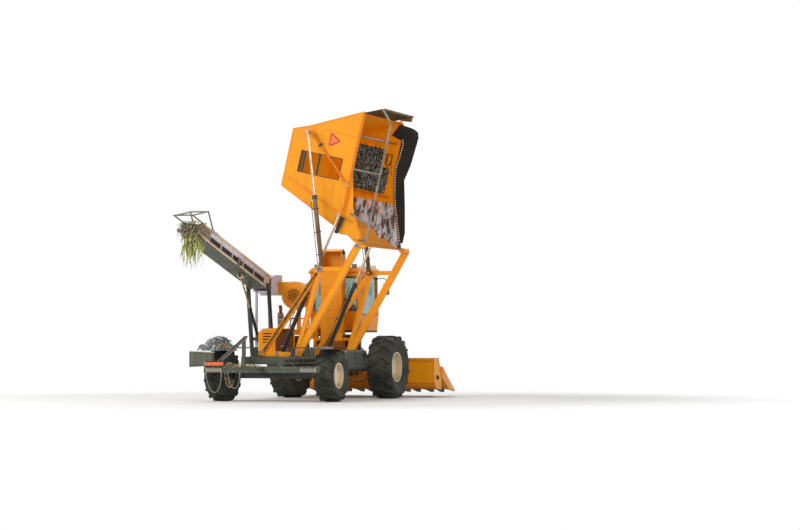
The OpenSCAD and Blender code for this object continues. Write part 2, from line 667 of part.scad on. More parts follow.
// Engine as one plain block, and the sheet cover round it
eng_lo = [1650, 960, rail_z + 20];
eng_hi = [2850, 1400, 1900];
cover_t = 20;
module engine_block() {
    color(iron) placed() {
        block(eng_lo, eng_hi);
        block([eng_lo[0] + 100, rail_y + rail_w / 2 + seat_gap, rail_z + 40], [eng_lo[0] + 220, eng_lo[1] + 1, rail_z + 140]);
        block([eng_hi[0] - 220, rail_y + rail_w / 2 + seat_gap, rail_z + 40], [eng_hi[0] - 100, eng_lo[1] + 1, rail_z + 140]);
    }
}
module engine_cover() {
    lo = [1560, 925, rail_z - 20];
    hi = [3040, 1450, 2050];
    color(orange) placed() difference() {
        along_x(lo[0], hi[0])
            polygon([[lo[1], lo[2]], [hi[1], lo[2]], [hi[1], hi[2] - 140], [hi[1] - 140, hi[2]], [lo[1], hi[2]]]);
        along_x(lo[0] + cover_t, hi[0] - cover_t)
            polygon([[lo[1] - 1, lo[2] - 1], [hi[1] - cover_t, lo[2] - 1], [hi[1] - cover_t, hi[2] - 150], [hi[1] - 150, hi[2] - cover_t],
                     [lo[1] - 1, hi[2] - cover_t]]);
        // Grille slots in the outer side and the rear end
        for (i = [0:6], j = [0:2]) {
            block([lo[0] + 110 + j * 440, hi[1] - cover_t - 5, 1150 + i * 95], [lo[0] + 490 + j * 440, hi[1] + 5, 1190 + i * 95]);
        }
        for (i = [0:3]) {
            block([lo[0] - 5, lo[1] + 110, 1640 + i * 80], [lo[0] + cover_t + 5, hi[1] - 150, 1675 + i * 80]);
        }
        rod_z(1900, 2100, stack_xy, 57);
    }
    // Feet of the cover on the frame rail
    color(orange) placed() for (x = [lo[0], hi[0] - 70]) {
        block([x, rail_y + rail_w / 2 + seat_gap, rail_z + 50], [x + 70, lo[1] + 0.5, rail_z + 150]);
        block([x, lo[1], rail_z - 20], [x + 70, lo[1] + 20, hi[2] - 1]);
    }
}
stack_xy = [2940, 1330];
stack_top = 2700;
module exhaust() {
    color(iron) placed() difference() {
        union() {
            rod_z(eng_hi[2] - 300, 2360, stack_xy, 48);
            rod_z(2120, 2520, stack_xy, 80);
            rod_z(2500, stack_top, stack_xy, 50);
            block([eng_hi[0] + seat_gap, stack_xy[1] - 40, eng_hi[2] - 260], [stack_xy[0], stack_xy[1] + 40, eng_hi[2] - 180]);
        }
        rod_z(2480, stack_top + 1, stack_xy, 44);
    }
}
module fuel_tank() {
    lo = [1000, -1440, 860];
    hi = [2800, -760, 1430];
    color(dark) placed() {
        along_x(lo[0], hi[0]) polygon(pad([lo[1], lo[2]], [hi[1], hi[2]], 90));
        for (x = [1250, 2500]) {
            block([x, hi[1] - 20, 1100], [x + 100, -rail_y - rail_w / 2, 1200]);
        }
        rod_y(lo[1] - 35, lo[1] + 20, [2600, 1300], 55);
    }
}

// Ear elevator behind the cab: a box leg with a mouth that throws into the bin
module ear_elevator() {
    x0 = bin_len + gantry_off + gantry_t + 40;
    x1 = cab_x - 30;
    top = 4420;
    color(orange) placed() {
        difference() {
            along_y(-330, 330) polygon([[x0, 1700], [x1, 1500], [x1, top - 120], [x1 - 120, top], [x0, top - 60]]);
            along_y(-300, 300) polygon([[x0 + 30, 1729], [x1 - 30, 1529], [x1 - 30, top - 135], [x1 - 130, top - 30], [x0 + 30, top - 88]]);
            block([x0 - 5, -300, top - 560], [x0 + 35, 300, top - 92]);
            block([x1 - 35, -300, 1560], [x1 + 5, 300, 1900]);
        }
        both_sides() block([x0 + 60, 329, 1700], [x0 + 150, rail_y + 20, 1790]);
        both_sides() block([x0 + 60, rail_y - 40, rail_top + seat_gap], [x0 + 150, rail_y + 40, 1791]);
    }
}
// Fan housing that draws the loose leaves, and its duct to the conveyor's hopper
fan_c = [1180, 3050];
fan_x = [3620, 3930];
module trash_fan() {
    color(orange) placed() {
        difference() {
            union() {
                rod_x(fan_x[0], fan_x[1], fan_c, 400);
                along_x(fan_x[0], fan_x[1]) polygon([[fan_c[0], fan_c[1]], [fan_c[0], fan_c[1] + 400], [1700, fan_c[1] + 400], [1700, fan_c[1]]]);
            }
            rod_x(fan_x[0] - 1, fan_x[0] + 60, fan_c, 190);
        }
        // Ring of the inlet, and the stay to the frame
        difference() {
            rod_x(fan_x[0] - 25, fan_x[0] + 1, fan_c, 215);
            rod_x(fan_x[0] - 26, fan_x[0] + 2, fan_c, 190);
        }
        block([fan_x[0] + 200, 1080, 2010], [fan_x[0] + 290, 1180, fan_c[1] - 300]);
        block([fan_x[0] + 200, rail_y - 40, 2010], [fan_x[0] + 290, 1180, 2100]);
        block([fan_x[0] + 200, rail_y - 40, rail_top + seat_gap], [fan_x[0] + 290, rail_y + 40, 2100]);
    }
}
module trash_hopper() {
    y0 = conv_y - 5;
    y1 = conv_y + conv_w + 5;
    z0 = fan_c[1];
    z1 = fan_c[1] + 400;
    t = 12;
    mouth_x = conv_x + 280;
    color(lilac) placed() {
        // Elbow from the fan and the chute that throws into the conveyor's tail
        difference() {
            union() {
                block([fan_x[0], 1700 + seat_gap, z0], [fan_x[1], y1, z1 + 200]);
                along_y(y0, y1) polygon([[mouth_x, z0 + 120], [fan_x[0] + 1, z0 + 60], [fan_x[0] + 1, z1 + 200], [mouth_x, z1 + 120]]);
            }
            block([fan_x[0] + t, 1690, z0 + t], [fan_x[1] - t, y1 - t, z1 - t]);
            block([fan_x[0] + t, y0 + t, z0 + t], [fan_x[1] - t, y1 - t, z1 + 200 - t]);
            along_y(y0 + t, y1 - t) polygon([[mouth_x - 1, z0 + 120 + t], [fan_x[0] + t + 1, z0 + 60 + t],
                                             [fan_x[0] + t + 1, z1 + 200 - t], [mouth_x - 1, z1 + 120 - t]]);
        }
        // Legs on the conveyor's outrigger
        for (y = [y0 + 60, y1 - 120]) {
            block([mouth_x + 30, y, rail_top + seat_gap], [mouth_x + 90, y + 60, z0 + 125]);
        }
    }
}

// Rear fenders over the rear tyres, and the sheet box behind the left one
fender_z = rear_d + 60;
module rear_fenders() {
    color(dark) placed() {
        both_sides() {
            along_y(rear_y - rear_w / 2 + 20, rear_y + rear_w / 2 - 20)
                polygon(sheet([[rear_x - 720, fender_z - 60], [rear_x - 560, fender_z], [rear_x + 460, fender_z]], 12));
            block([rear_x - 220, rail_y + rail_w / 2 - 1, fender_z - 30], [rear_x - 120, rear_y, fender_z + 1]);
            block([rear_x - 220, rail_y - 40, rail_top + seat_gap], [rear_x - 120, rail_y + rail_w / 2, fender_z + 1]);
        }
    }
}
module rear_box() {
    x1 = beam_x - seat_gap;
    x0 = beam_x - 120;
    color(lilac) placed() {
        along_x(x0, x1) polygon([[1450, 1000], [2150, 960], [2150, 1390], [1450, 1360]]);
        block([x0 + 20, 1500, beam_z + beam_h + seat_gap], [x1 - 20, 1640, 1001]);
        // Bolts' folded rim along the box
        along_x(x0 - 15, x0 + 1) polygon([[1480, 1040], [2120, 1010], [2120, 1340], [1480, 1320]]);
    }
}

// Mast that carries the conveyor at its tail pivot
mast_t = 60;
module conveyor_mast() {
    inner = conv_y - run_gap - mast_t;
    outer = conv_y + conv_w + run_gap;
    pivot = [conv_x, conv_z];
    color(dark) placed() {
        for (y = [inner, outer]) {
            along_y(y, y + mast_t) {
                polygon([[mast_x - 78, rail_top + seat_gap], [mast_x + 78, rail_top + seat_gap], pivot + [76, 12], pivot - [76, 12]]);
            }
            rod_y(y, y + mast_t, pivot, 110);
        }
        rod_y(inner + 5, conv_y + 40, pivot, conv_pin_r);
        rod_y(conv_y + conv_w - 40, outer + mast_t - 5, pivot, conv_pin_r);
        block([mast_x - 120, inner, 1700], [mast_x - 40, outer + mast_t, 1800]);
        // Foot of the luffing cylinder
        difference() {
            block([conv_cyl_base[0] - 20, conv_cyl_y - 90, rail_top + seat_gap], [conv_cyl_base[0] + 100, conv_cyl_y + 90, conv_cyl_base[1] + 45]);
            block([conv_cyl_base[0] - 100, conv_cyl_y - 62, conv_cyl_base[1] - 100], [conv_cyl_base[0] + 110, conv_cyl_y + 62, conv_cyl_base[1] + 70]);
        }
        rod_y(conv_cyl_y - 90, conv_cyl_y + 90, conv_cyl_base, 25);
    }
}
conv_pin_r = 35;
conv_cyl_y = conv_y + conv_w / 2;
conv_cyl_base = [mast_x - 60, 1450];
conv_eye_along = 1300;
conv_eye_below = 110;
// A point given from the tail pivot, towards the head and up, in the side plane
function conv_point(along, up, a = conv_slope) =
    [conv_x, conv_z] + [-along * cos(a) + up * sin(a), along * sin(a) + up * cos(a)];
conv_eye = conv_point(conv_eye_along, -conv_eye_below);

// Trough with its rails, underside pan, end guard and lifting bracket
conv_low = -40;
plate_t = 8;
module conveyor_trough() {
    y0 = conv_y + 20;
    y1 = conv_y + conv_w - 20;
    up = conv_low + conv_h;
    head = -conv_len;
    color(cream) {
        on_conveyor() {
            difference() {
                union() {
                    for (y = [y0, y1 - plate_t]) {
                        along_y(y, y + plate_t) polygon([[140, conv_low], [140, up], [head - 60, up], [head - 60, conv_low]]);
                        rod_y(y, y + plate_t, [head, conv_low + conv_h / 2], conv_h / 2 - 20);
                        rod_y(y - 6, y + plate_t + 6, [0, 0], 80);
                    }
                    // Rails proud of the side plates
                    block([head - 60, conv_y, conv_low], [140, y0 + 1, conv_low + 60]);
                    block([head - 60, conv_y, up - 60], [140, y0 + 1, up]);
                    block([head - 60, y1 - 1, conv_low], [140, conv_y + conv_w, conv_low + 60]);
                    block([head - 60, y1 - 1, up - 60], [140, conv_y + conv_w, up]);
                    for (x = [head + 500:800:90]) {
                        block([x, conv_y, conv_low + 59], [x + 50, y0 + 1, up - 59]);
                        block([x, y1 - 1, conv_low + 59], [x + 50, conv_y + conv_w, up - 59]);
                    }
                    // Pan under the belt
                    block([head + 120, y0, conv_low], [60, y1, conv_low + 12]);
                    // Bracket of the luffing cylinder
                    for (y = [conv_cyl_y - 75, conv_cyl_y + 46]) {
                        along_y(y, y + 29) polygon([[-conv_eye_along - 130, conv_low + 1], [-conv_eye_along + 130, conv_low + 1],
                            [-conv_eye_along + 50, -conv_eye_below - 45], [-conv_eye_along - 50, -conv_eye_below - 45]]);
                    }
                }
                rod_y(conv_y - 10, conv_y + conv_w + 10, [0, 0], conv_pin_r + pin_gap);
                rod_y(y0 - 30, y1 + 30, [head, conv_low + conv_h / 2], drum_pin_r + pin_gap);
            }
        }
        // Guard tubes round the head
        placed() {
            gx = conv_guard_x + guard_r;
            base = conv_point(conv_len, up);
            gy = [y0 - 6, y1 + 6];
            for (y = gy) {
                tube([base[0] + 150, y, base[1] - 60], [gx, y, base[1] + 180], guard_r);
                tube([base[0] + 700, y, base[1] - 230], [base[0] + 350, y, base[1] + 330], guard_r);
                tube([base[0] + 350, y, base[1] + 330], [gx, y, base[1] + 170], guard_r);
            }
            tube([gx, gy[0] - guard_r, base[1] + 180], [gx, gy[1] + guard_r, base[1] + 180], guard_r);
            tube([base[0] + 350, gy[0] - guard_r, base[1] + 330], [base[0] + 350, gy[1] + guard_r, base[1] + 330], guard_r);
        }
    }
}
drum_pin_r = 25;
// Slatted belt: a flat loop round the drum with cross slats on it
module conveyor_belt() {
    y0 = conv_y + 20 + plate_t + run_gap + 10;
    y1 = conv_y + conv_w - 20 - plate_t - run_gap - 10;
    mid = conv_low + conv_h / 2;
    inner = drum_r + run_gap;
    t = 12;
    color(rubber) on_conveyor() {
        difference() {
            union() {
                rod_y(y0, y1, [-conv_len, mid], inner + t);
                rod_y(y0, y1, [-60 + 20, mid], inner + t);
                block([-conv_len, y0, mid - inner - t], [-40, y1, mid + inner + t]);
            }
            rod_y(y0 - 1, y1 + 1, [-conv_len, mid], inner);
            rod_y(y0 - 1, y1 + 1, [-40, mid], inner);
            block([-conv_len, y0 - 1, mid - inner], [-40, y1 + 1, mid + inner]);
        }
        for (x = [-conv_len + 340:340:-70]) {
            block([x, y0, mid + inner + t - 1], [x + 30, y1, mid + inner + t + 28]);
        }
        // Return bed that the belt slides on
        block([-conv_len + 250, conv_y + 28.3, mid + 60], [-250, conv_y + conv_w - 28.3, mid + 80]);
        for (x = [-conv_len + 400, -2500, -700]) block([x, y0 + 60, mid + 79], [x + 60, y1 - 60, mid + inner + 1]);
    }
}
module conveyor_drum() {
    mid = conv_low + conv_h / 2;
    y0 = conv_y + 20 + plate_t + run_gap;
    y1 = conv_y + conv_w - 20 - plate_t - run_gap;
    color(dark) on_conveyor() {
        rod_y(y0, y1, [-conv_len, mid], drum_r);
        rod_y(conv_y + 5, conv_y + conv_w - 5, [-conv_len, mid], drum_pin_r);
    }
}

// A barrel and a rod lying along +x from the base pin, in the plane of their eyes
module barrel(len, r, base_r, pin_r, wide, rod_r) {
    difference() {
        union() {
            translate([0, 0, -wide / 2]) cylinder(r = base_r, h = wide);
            rotate([0, 90, 0]) cylinder(r = r, h = len);
            translate([len - 90, 0, 0]) rotate([0, 90, 0]) cylinder(r = r + 10, h = 90);
            translate([base_r + 20, 0, 0]) rotate([0, 90, 0]) cylinder(r = r + 6, h = 40);
        }
        translate([0, 0, -wide]) cylinder(r = pin_r + pin_gap, h = 2 * wide);
        rotate([0, 90, 0]) translate([0, 0, base_r + 60]) cylinder(r = bore_of(r), h = len - base_r - 120);
        rotate([0, 90, 0]) translate([0, 0, base_r + 60]) cylinder(r = rod_r + pin_gap, h = len);
    }
}
function bore_of(r) = r - 9;
// The rod, its eye and the pin that the eye carries, with the pin's ends proud by stub
module piston_rod(total, barrel_len, inside, r, end_r, pin_r, wide, barrel_r, stub) {
    shaft_start = barrel_len - inside;
    translate([total, 0, -wide / 2]) cylinder(r = end_r, h = wide);
    translate([total, 0, -wide / 2 - stub]) cylinder(r = pin_r, h = wide + 2 * stub);
    translate([shaft_start, 0, 0]) rotate([0, 90, 0]) cylinder(r = r, h = total - shaft_start);
    translate([shaft_start, 0, 0]) rotate([0, 90, 0]) cylinder(r = bore_of(barrel_r) - pin_gap, h = 50);
    translate([total - end_r - 60, 0, 0]) rotate([0, 90, 0]) cylinder(r = r + 12, h = 48);
}
// Cylinders that stand in a plane across the machine
module across(base, turn, plane) {
    translate([-plane, base[0], base[1]]) rotate([90, 0, 90]) rotate([0, 0, turn]) children();
}
eye_w = 110;
base_w = 140;
left_stub = 8;
right_stub = 5;
module left_barrels() {
    color(iron) placed() both_ends() across(left_base, left_turn, left_plane)
        barrel(left_barrel_len, left_barrel_r, eye_r, eye_pin_r, base_w, left_rod_r);
}
module left_rods() {
    color(chrome) placed() both_ends() across(left_base, left_turn, left_plane)
        piston_rod(left_long, left_barrel_len, 130, left_rod_r, rod_eye_r, eye_pin_r - 4, eye_w, left_barrel_r, left_stub);
}
module right_barrels() {
    color(iron) placed() both_ends() across(right_base, right_turn, right_plane)
        barrel(right_barrel_len, right_barrel_r, eye_r, eye_pin_r, base_w, right_rod_r);
}
module right_rods() {
    color(chrome) placed() both_ends() across(right_base, right_turn, right_plane)
        piston_rod(right_long, right_barrel_len, 130, right_rod_r, rod_eye_r, eye_pin_r - 4, eye_w, right_barrel_r, right_stub);
}

// Cylinders that lie in the side plane, turned down from level by pitch
module lengthwise(base, pitch, y) {
    placed() translate([base[0], y, base[1]]) rotate([90, 0, 0]) rotate([0, 0, pitch]) children();
}
conv_cyl_long = norm(conv_eye - conv_cyl_base);
conv_cyl_turn = heading(conv_eye - conv_cyl_base);
module conveyor_barrel() {
    color(dark) lengthwise(conv_cyl_base, conv_cyl_turn, conv_cyl_y) barrel(1500, 48, 60, 25, 80, 26);
}
module conveyor_rod() {
    color(chrome) lengthwise(conv_cyl_base, conv_cyl_turn, conv_cyl_y) piston_rod(conv_cyl_long, 1500, 400, 26, 40, 16, 80, 48, 3);
}
lift_long = norm(lift_eye - lift_base);
lift_turn = heading(lift_eye - lift_base);
module head_barrels() {
    color(dark) for (y = [-lift_y, lift_y]) lengthwise(lift_base, lift_turn, y) barrel(680, 50, 60, 25, 80, 28);
}
module head_rods() {
    color(chrome) for (y = [-lift_y, lift_y]) lengthwise(lift_base, lift_turn, y) piston_rod(lift_long, 680, 360, 28, 42, 16, 80, 50, 3);
}

// Bin: floor and side sheets in one folded strip
module bin_floor() {
    color(orange) in_bin() translate([0, 0, bin_wall]) linear_extrude(bin_len - 2 * bin_wall)
        polygon(sheet(bin_path, bin_wall));
}
// End walls with their screened windows
end_outline = concat(bin_path, [bin_crest, bin_step]);
rear_window = [[520, 350], [1120, 1615]];
front_windows = [[[550, 700], [1250, 1850]], [[20, 800], [530, 1570]]];
// The front wall stands higher than the rear one, under the belting
front_outline = concat(bin_path, front_rim);
module bin_ends() {
    color(orange) in_bin() {
        difference() {
            linear_extrude(bin_wall) polygon(end_outline);
            translate([0, 0, -1]) linear_extrude(bin_wall + 2) polygon(pad(rear_window[0], rear_window[1], 60));
        }
        for (v = [450, 905]) translate([rear_window[0][0] - 5, v, 0]) cube([610, 40, bin_wall]);
        translate([0, 0, bin_len - bin_wall]) {
            difference() {
                linear_extrude(bin_wall) polygon(front_outline);
                for (w = front_windows) translate([0, 0, -1]) linear_extrude(bin_wall + 2) polygon(pad(w[0], w[1], 40));
            }
            for (w = front_windows) translate([w[0][0] - 5, w[0][1] + 200, 0]) cube([w[1][0] - w[0][0] + 10, 24, bin_wall]);
        }
    }
}
// Ribs round the floor, the braces on the rear wall and the cylinder bosses
module bin_ribs() {
    rib_path = [bin_c, bin_b, bin_a, bin_g, bin_f];
    boss_r = 62;
    brace_t = 28;
    color(orange) in_bin() {
        for (i = [0:4]) {
            w = (bin_len - rib_w) * i / 4;
            translate([0, 0, w]) linear_extrude(rib_w) polygon(sheet(rib_path, -rib_h));
        }
        for (m = [0, 1]) translate([0, 0, m * bin_len]) mirror([0, 0, m]) {
            // Slanted brace, rim and window frame stand on the wall's outer face
            translate([0, 0, -brace_t]) linear_extrude(brace_t) {
                if (m == 0) polygon(bar([-90, 510], [1238, 1950], 62));
                polygon(bar([-845, rim_v], [2000, rim_v - 10], rim_w));
                polygon(bar([1340, 120], [2180, 2300], 50));
            }
            for (p = [left_eye, right_eye]) {
                reach = (p == left_eye ? left_plane - left_stub : right_plane - right_stub) - eye_w / 2 - run_gap;
                translate([p[0], p[1], -reach]) cylinder(r = boss_r, h = reach);
                translate([p[0], p[1], -20]) cylinder(r = boss_r + 50, h = 20);
            }
            // Hinge boss at the dump corner
            difference() {
                translate([bin_d[0], bin_d[1], -120]) cylinder(r = hinge_hub_r, h = 120);
                translate([bin_d[0], bin_d[1], -121]) cylinder(r = hinge_pin_r + pin_gap, h = 122);
            }
        }
    }
}
// Tube rail above the rear wall, its struts standing on the wall's outer face
module bin_rails() {
    pts = [bin_e, rail_corner, [2600, 2820], [2620, 2600]];
    foot_v = rim_v + rim_w / 2 + seat_gap;
    struts = [[[-210, foot_v], [-210, 2820]], [[730, foot_v], [730, 2820]], [[1950, 2200], [2170, 2820]]];
    strut_r = rail_tube_r - 4;
    color(lilac) in_bin() {
        translate([0, 0, -rail_tube_r - seat_gap]) {
            for (i = [0:2]) tube(concat(pts[i], 0), concat(pts[i + 1], 0), rail_tube_r);
            for (i = [1:2]) translate(concat(pts[i], 0)) sphere(r = rail_ball_r);
        }
        translate([0, 0, -strut_r - seat_gap])
            for (s = struts) tube(concat(s[0], 0), concat(s[1], 0), strut_r);
    }
}
// Ribbed sheet that heightens the left side
module bin_hood() {
    color(dark) in_bin() {
        foot = bin_c + 2 * unit(bin_e - bin_c);
        reach = bin_len - hood_short;
        linear_extrude(reach) polygon(sheet([bin_e, foot], bin_wall));
        for (i = [0:9]) translate([0, 0, 60 + i * (reach - 160) / 9])
            linear_extrude(40) polygon(sheet([bin_e, foot], -24));
    }
}
// Black rubber above the front wall and along the dump edge
module bin_curtain() {
    color(rubber) in_bin() {
        translate([0, 0, bin_len - bin_wall - 14]) linear_extrude(14)
            polygon(concat([bin_c + [60, -60], [-440, 1740]], [for (i = [4:-1:0]) front_rim[i] - [0, 62]],
                           [[2560, 2620], [2560, 2760]], belt_rim));
        translate([0, 0, bin_wall]) linear_extrude(bin_len - 2 * bin_wall)
            polygon(sheet(bin_lip, -10));
    }
}
// Triangle for slow vehicles, on the rear wall
module bin_triangle() {
    color(red) in_bin() translate([56, 1120, -12]) linear_extrude(12 - seat_gap)
        polygon([[-202, 0], [202, 0], [0, 340]]);
}

// Head: feeder house, frame, snouts, row units and cross auger
head_pivot = [4080, 1650];
feeder_end = [6040, 790];
feeder_turn = heading(feeder_end - head_pivot);
module feeder_house() {
    l = norm(feeder_end - head_pivot);
    color(orange) placed() {
        difference() {
            translate([head_pivot[0], 0, head_pivot[1]]) rotate([0, -feeder_turn, 0]) difference() {
                union() {
                    block([-40, -feeder_half, -feeder_h / 2], [l + 120, feeder_half, feeder_h / 2]);
                    rod_y(-feeder_half - 4, feeder_half + 4, [0, 0], 110);
                }
                block([-201, -feeder_half + 30, -feeder_h / 2 + 30], [l + 121, feeder_half - 30, feeder_h / 2 - 30]);
                rod_y(-feeder_half - 5, feeder_half + 5, [0, 0], feeder_pin_r + pin_gap);
            }
            block([head_back_x - 20 - seat_gap, -feeder_half - 9, 0], [head_back_x + 400, feeder_half + 9, 2000]);
        }
        // Cylinder lugs under the house
        for (y = [-lift_y - 75, -lift_y + 46, lift_y - 75, lift_y + 46]) {
            along_y(y, y + 29) polygon([lift_eye + [-60, -50], lift_eye + [60, -50], lift_eye + [120, 45], lift_eye + [-120, 150]]);
        }
    }
}
head_back_x = 6040;
head_front_x = head_back_x + 660;
auger_c = [head_back_x + 290, 590];
module head_frame() {
    bx = head_back_x;
    color(orange) placed() {
        // Back sheet and trough, open at the feeder
        difference() {
            along_y(-head_half + 39, head_half - 39)
                polygon(sheet(concat([[bx + 20, 1180], [bx, 1000], [bx, 520]], arc([bx + 290, 580], 290, 190, 270, 6),
                                     [[head_front_x - 1, 290]]), -20));
            block([bx - 60, -feeder_half + 30, 480], [bx + 60, feeder_half - 30, 960]);
        }
        // End sheets with the cross auger's bores
        both_sides() difference() {
            along_y(head_half - 40, head_half - 20)
                polygon([[bx - 20, 1180], [bx - 20, 500], [bx + 180, 260], [head_front_x, 230], [head_front_x, 560], [bx + 400, 1180]]);
            rod_y(head_half - 50, head_half - 10, auger_c, auger_pin_r + pin_gap);
        }
        block([bx - 60, -head_half + 39, 1100], [bx + 20, head_half - 39, 1180]);
        block([head_front_x - 80, -head_half + 39, 230], [head_front_x, head_half - 39, 400]);
    }
}
auger_pin_r = 25;
module head_auger() {
    c = auger_c;
    color(lilac) placed() {
        rod_y(-head_half + 52, head_half - 52, c, 90);
        // Flights stand as a row of slanted collars on the tube
        for (i = [0:14], m = [0, 1]) mirror([0, m, 0])
            translate([c[0], 330 + i * 135, c[1]]) rotate([90 - flight_lean, 0, 0]) cylinder(r = auger_r, h = 12);
        both_sides() rod_y(head_half - 53, head_half - 22, c, auger_pin_r);
    }
}
module row_units() {
    color(dark) placed() for (i = [0:rows - 1]) {
        y = (i - (rows - 1) / 2) * row_pitch;
        for (s = [-1, 1]) translate([0, y + s * 165, 0]) {
            along_y(-55, 55) polygon([[6760, 300], [7700, 120], [7760, 170], [7700, 260], [6760, 560]]);
            along_y(-70, 70) polygon([[6760, 558], [7620, 275], [7660, 300], [6760, 600]]);
        }
        block([head_front_x + seat_gap, y - 230, 240], [6780, y + 230, 560]);
    }
}
module snout(y) {
    tip = [tip_x - 30, tip_z];
    hull() {
        translate([tip[0], y, tip[1]]) sphere(r = 30, $fn = 16);
        translate([7500, y - snout_half * 0.8, 330]) rotate([-90, 0, 0]) cylinder(r = 110, h = snout_half * 1.6, $fn = 16);
        translate([6950, y - snout_half, 620]) rotate([-90, 0, 0]) cylinder(r = 150, h = snout_half * 2, $fn = 16);
        translate([6720, y - snout_half, 640]) cube([60, snout_half * 2, 280]);
    }
}
module head_snouts() {
    color(orange) placed() for (i = [0:rows]) {
        y = (i - rows / 2) * row_pitch;
        snout(y);
        // Arm on the head's front beam
        block([head_front_x + seat_gap, y - 60, 250], [6760, y + 60, 700]);
    }
}

// Two hose loops that hang under the rear beam: across, forward and up
hose_r = 14;
hose_outer_pts = [[-1560, 1680, 805], [-1560, 1676, 760], [-1560, 1664, 690], [-1560, 1644, 600], [-1560, 1614, 500],
    [-1560, 1574, 400], [-1560, 1524, 320], [-1560, 1464, 270], [-1560, 1400, 258], [-1560, 1340, 285], [-1560, 1292, 345],
    [-1560, 1256, 430], [-1560, 1232, 530], [-1560, 1216, 640], [-1560, 1208, 740], [-1560, 1206, 805]];
hose_inner_pts = [[-1560, 1010, 805], [-1560, 1006, 760], [-1560, 994, 690], [-1560, 974, 600], [-1560, 946, 510],
    [-1560, 908, 435], [-1560, 860, 390], [-1560, 806, 378], [-1560, 754, 400], [-1560, 712, 455], [-1560, 682, 530],
    [-1560, 664, 620], [-1560, 654, 715], [-1560, 652, 805]];
// Points of a ring round one point of a route that keeps its forward place
function ring(p, q, r, n) = let(d = unit(q - p), u = [1, 0, 0], v = cross(d, u))
    [for (k = [0:n - 1]) r * (cos(360 * k / n) * u + sin(360 * k / n) * v)];
module hose(pts, r, n = 8) {
    m = len(pts);
    rings = [for (i = [0:m - 1]) let(a = pts[max(i - 1, 0)], b = pts[min(i + 1, m - 1)],
             d = i == 0 || i == m - 1 ? [a, [a[0], a[1], a[2] + (i == 0 ? -1 : 1)]] : [a, b])
             for (o = ring(d[0], d[1], r, n)) pts[i] + o];
    polyhedron(points = rings, faces = concat(
        [[for (k = [0:n - 1]) k]],
        [for (i = [0:m - 2], k = [0:n - 1]) [i * n + k, (i + 1) * n + k, (i + 1) * n + (k + 1) % n]],
        [for (i = [0:m - 2], k = [0:n - 1]) [i * n + k, (i + 1) * n + (k + 1) % n, i * n + (k + 1) % n]],
        [[for (k = [n - 1:-1:0]) (m - 1) * n + k]]));
}
module hose_outer() {
    color(rubber) placed() hose(hose_outer_pts, hose_r);
}
module hose_inner() {
    color(rubber) placed() hose(hose_inner_pts, hose_r);
}

// Lamps on the cab roof and the marker lamps on the rear beam
module work_lamps() {
    color(cream) placed() {
        for (y = [-620, -220, 220, 620]) {
            block([cab_x + cab_len + 120, y - 70, cab_top + 170 + seat_gap], [cab_x + cab_len + 180, y + 70, cab_top + 270]);
        }
        for (y = [-600, 600]) {
            block([cab_x, y - 70, cab_top + 170 + seat_gap], [cab_x + 60, y + 70, cab_top + 270]);
        }
        rod_z(cab_top + 170 + seat_gap, cab_top + 330, [cab_x + 300, 0], 60);
        both_sides() block([beam_x - 150, 1180, beam_z + 20], [beam_x - 120 - seat_gap, 1640, beam_z + 120]);
    }
}

chassis();
gantries();
front_axle();
rear_axle();
cab_floor();
cab_shell();
cab_roof();
cab_glass();
cab_seat();
steering_column();
platform_ladder();
engine_block();
engine_cover();
exhaust();
fuel_tank();
ear_elevator();
trash_fan();
trash_hopper();
rear_fenders();
rear_box();
hose_outer();
hose_inner();
conveyor_mast();
work_lamps();
bin_floor();
bin_ends();
bin_ribs();
bin_rails();
bin_hood();
bin_curtain();
bin_triangle();
left_barrels();
left_rods();
right_barrels();
right_rods();
conveyor_trough();
conveyor_belt();
conveyor_drum();
conveyor_barrel();
conveyor_rod();
feeder_house();
head_frame();
head_snouts();
row_units();
head_auger();
head_barrels();
head_rods();
left_knuckle();
right_knuckle();
front_left_rim();
front_left_tyre();
front_right_rim();
front_right_tyre();
rear_left_rim();
rear_left_tyre();
rear_right_rim();
rear_right_tyre();
cab_door();
door_glass();
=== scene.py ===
import math

import bpy
import mathutils
import numpy as np
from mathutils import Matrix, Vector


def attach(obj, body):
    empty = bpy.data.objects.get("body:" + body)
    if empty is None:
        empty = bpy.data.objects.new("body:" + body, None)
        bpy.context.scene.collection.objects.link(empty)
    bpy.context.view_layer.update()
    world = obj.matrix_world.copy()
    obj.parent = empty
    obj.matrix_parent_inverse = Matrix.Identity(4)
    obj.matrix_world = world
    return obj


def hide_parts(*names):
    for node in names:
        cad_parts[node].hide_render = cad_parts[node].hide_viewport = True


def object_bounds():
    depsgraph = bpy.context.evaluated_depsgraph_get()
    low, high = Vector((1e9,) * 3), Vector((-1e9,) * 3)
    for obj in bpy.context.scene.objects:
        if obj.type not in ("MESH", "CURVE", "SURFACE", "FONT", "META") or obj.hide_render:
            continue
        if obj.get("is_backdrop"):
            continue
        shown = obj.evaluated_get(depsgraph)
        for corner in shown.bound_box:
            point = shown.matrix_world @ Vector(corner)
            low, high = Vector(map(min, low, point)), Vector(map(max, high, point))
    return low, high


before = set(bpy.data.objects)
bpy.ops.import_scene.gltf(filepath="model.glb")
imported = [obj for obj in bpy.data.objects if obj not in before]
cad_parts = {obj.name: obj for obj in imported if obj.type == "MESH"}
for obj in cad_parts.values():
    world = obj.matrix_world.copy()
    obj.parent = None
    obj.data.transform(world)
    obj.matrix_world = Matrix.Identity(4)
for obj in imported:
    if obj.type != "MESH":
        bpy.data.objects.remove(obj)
cadLow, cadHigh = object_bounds()
print("frame loaded:", len(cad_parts), "nodes")

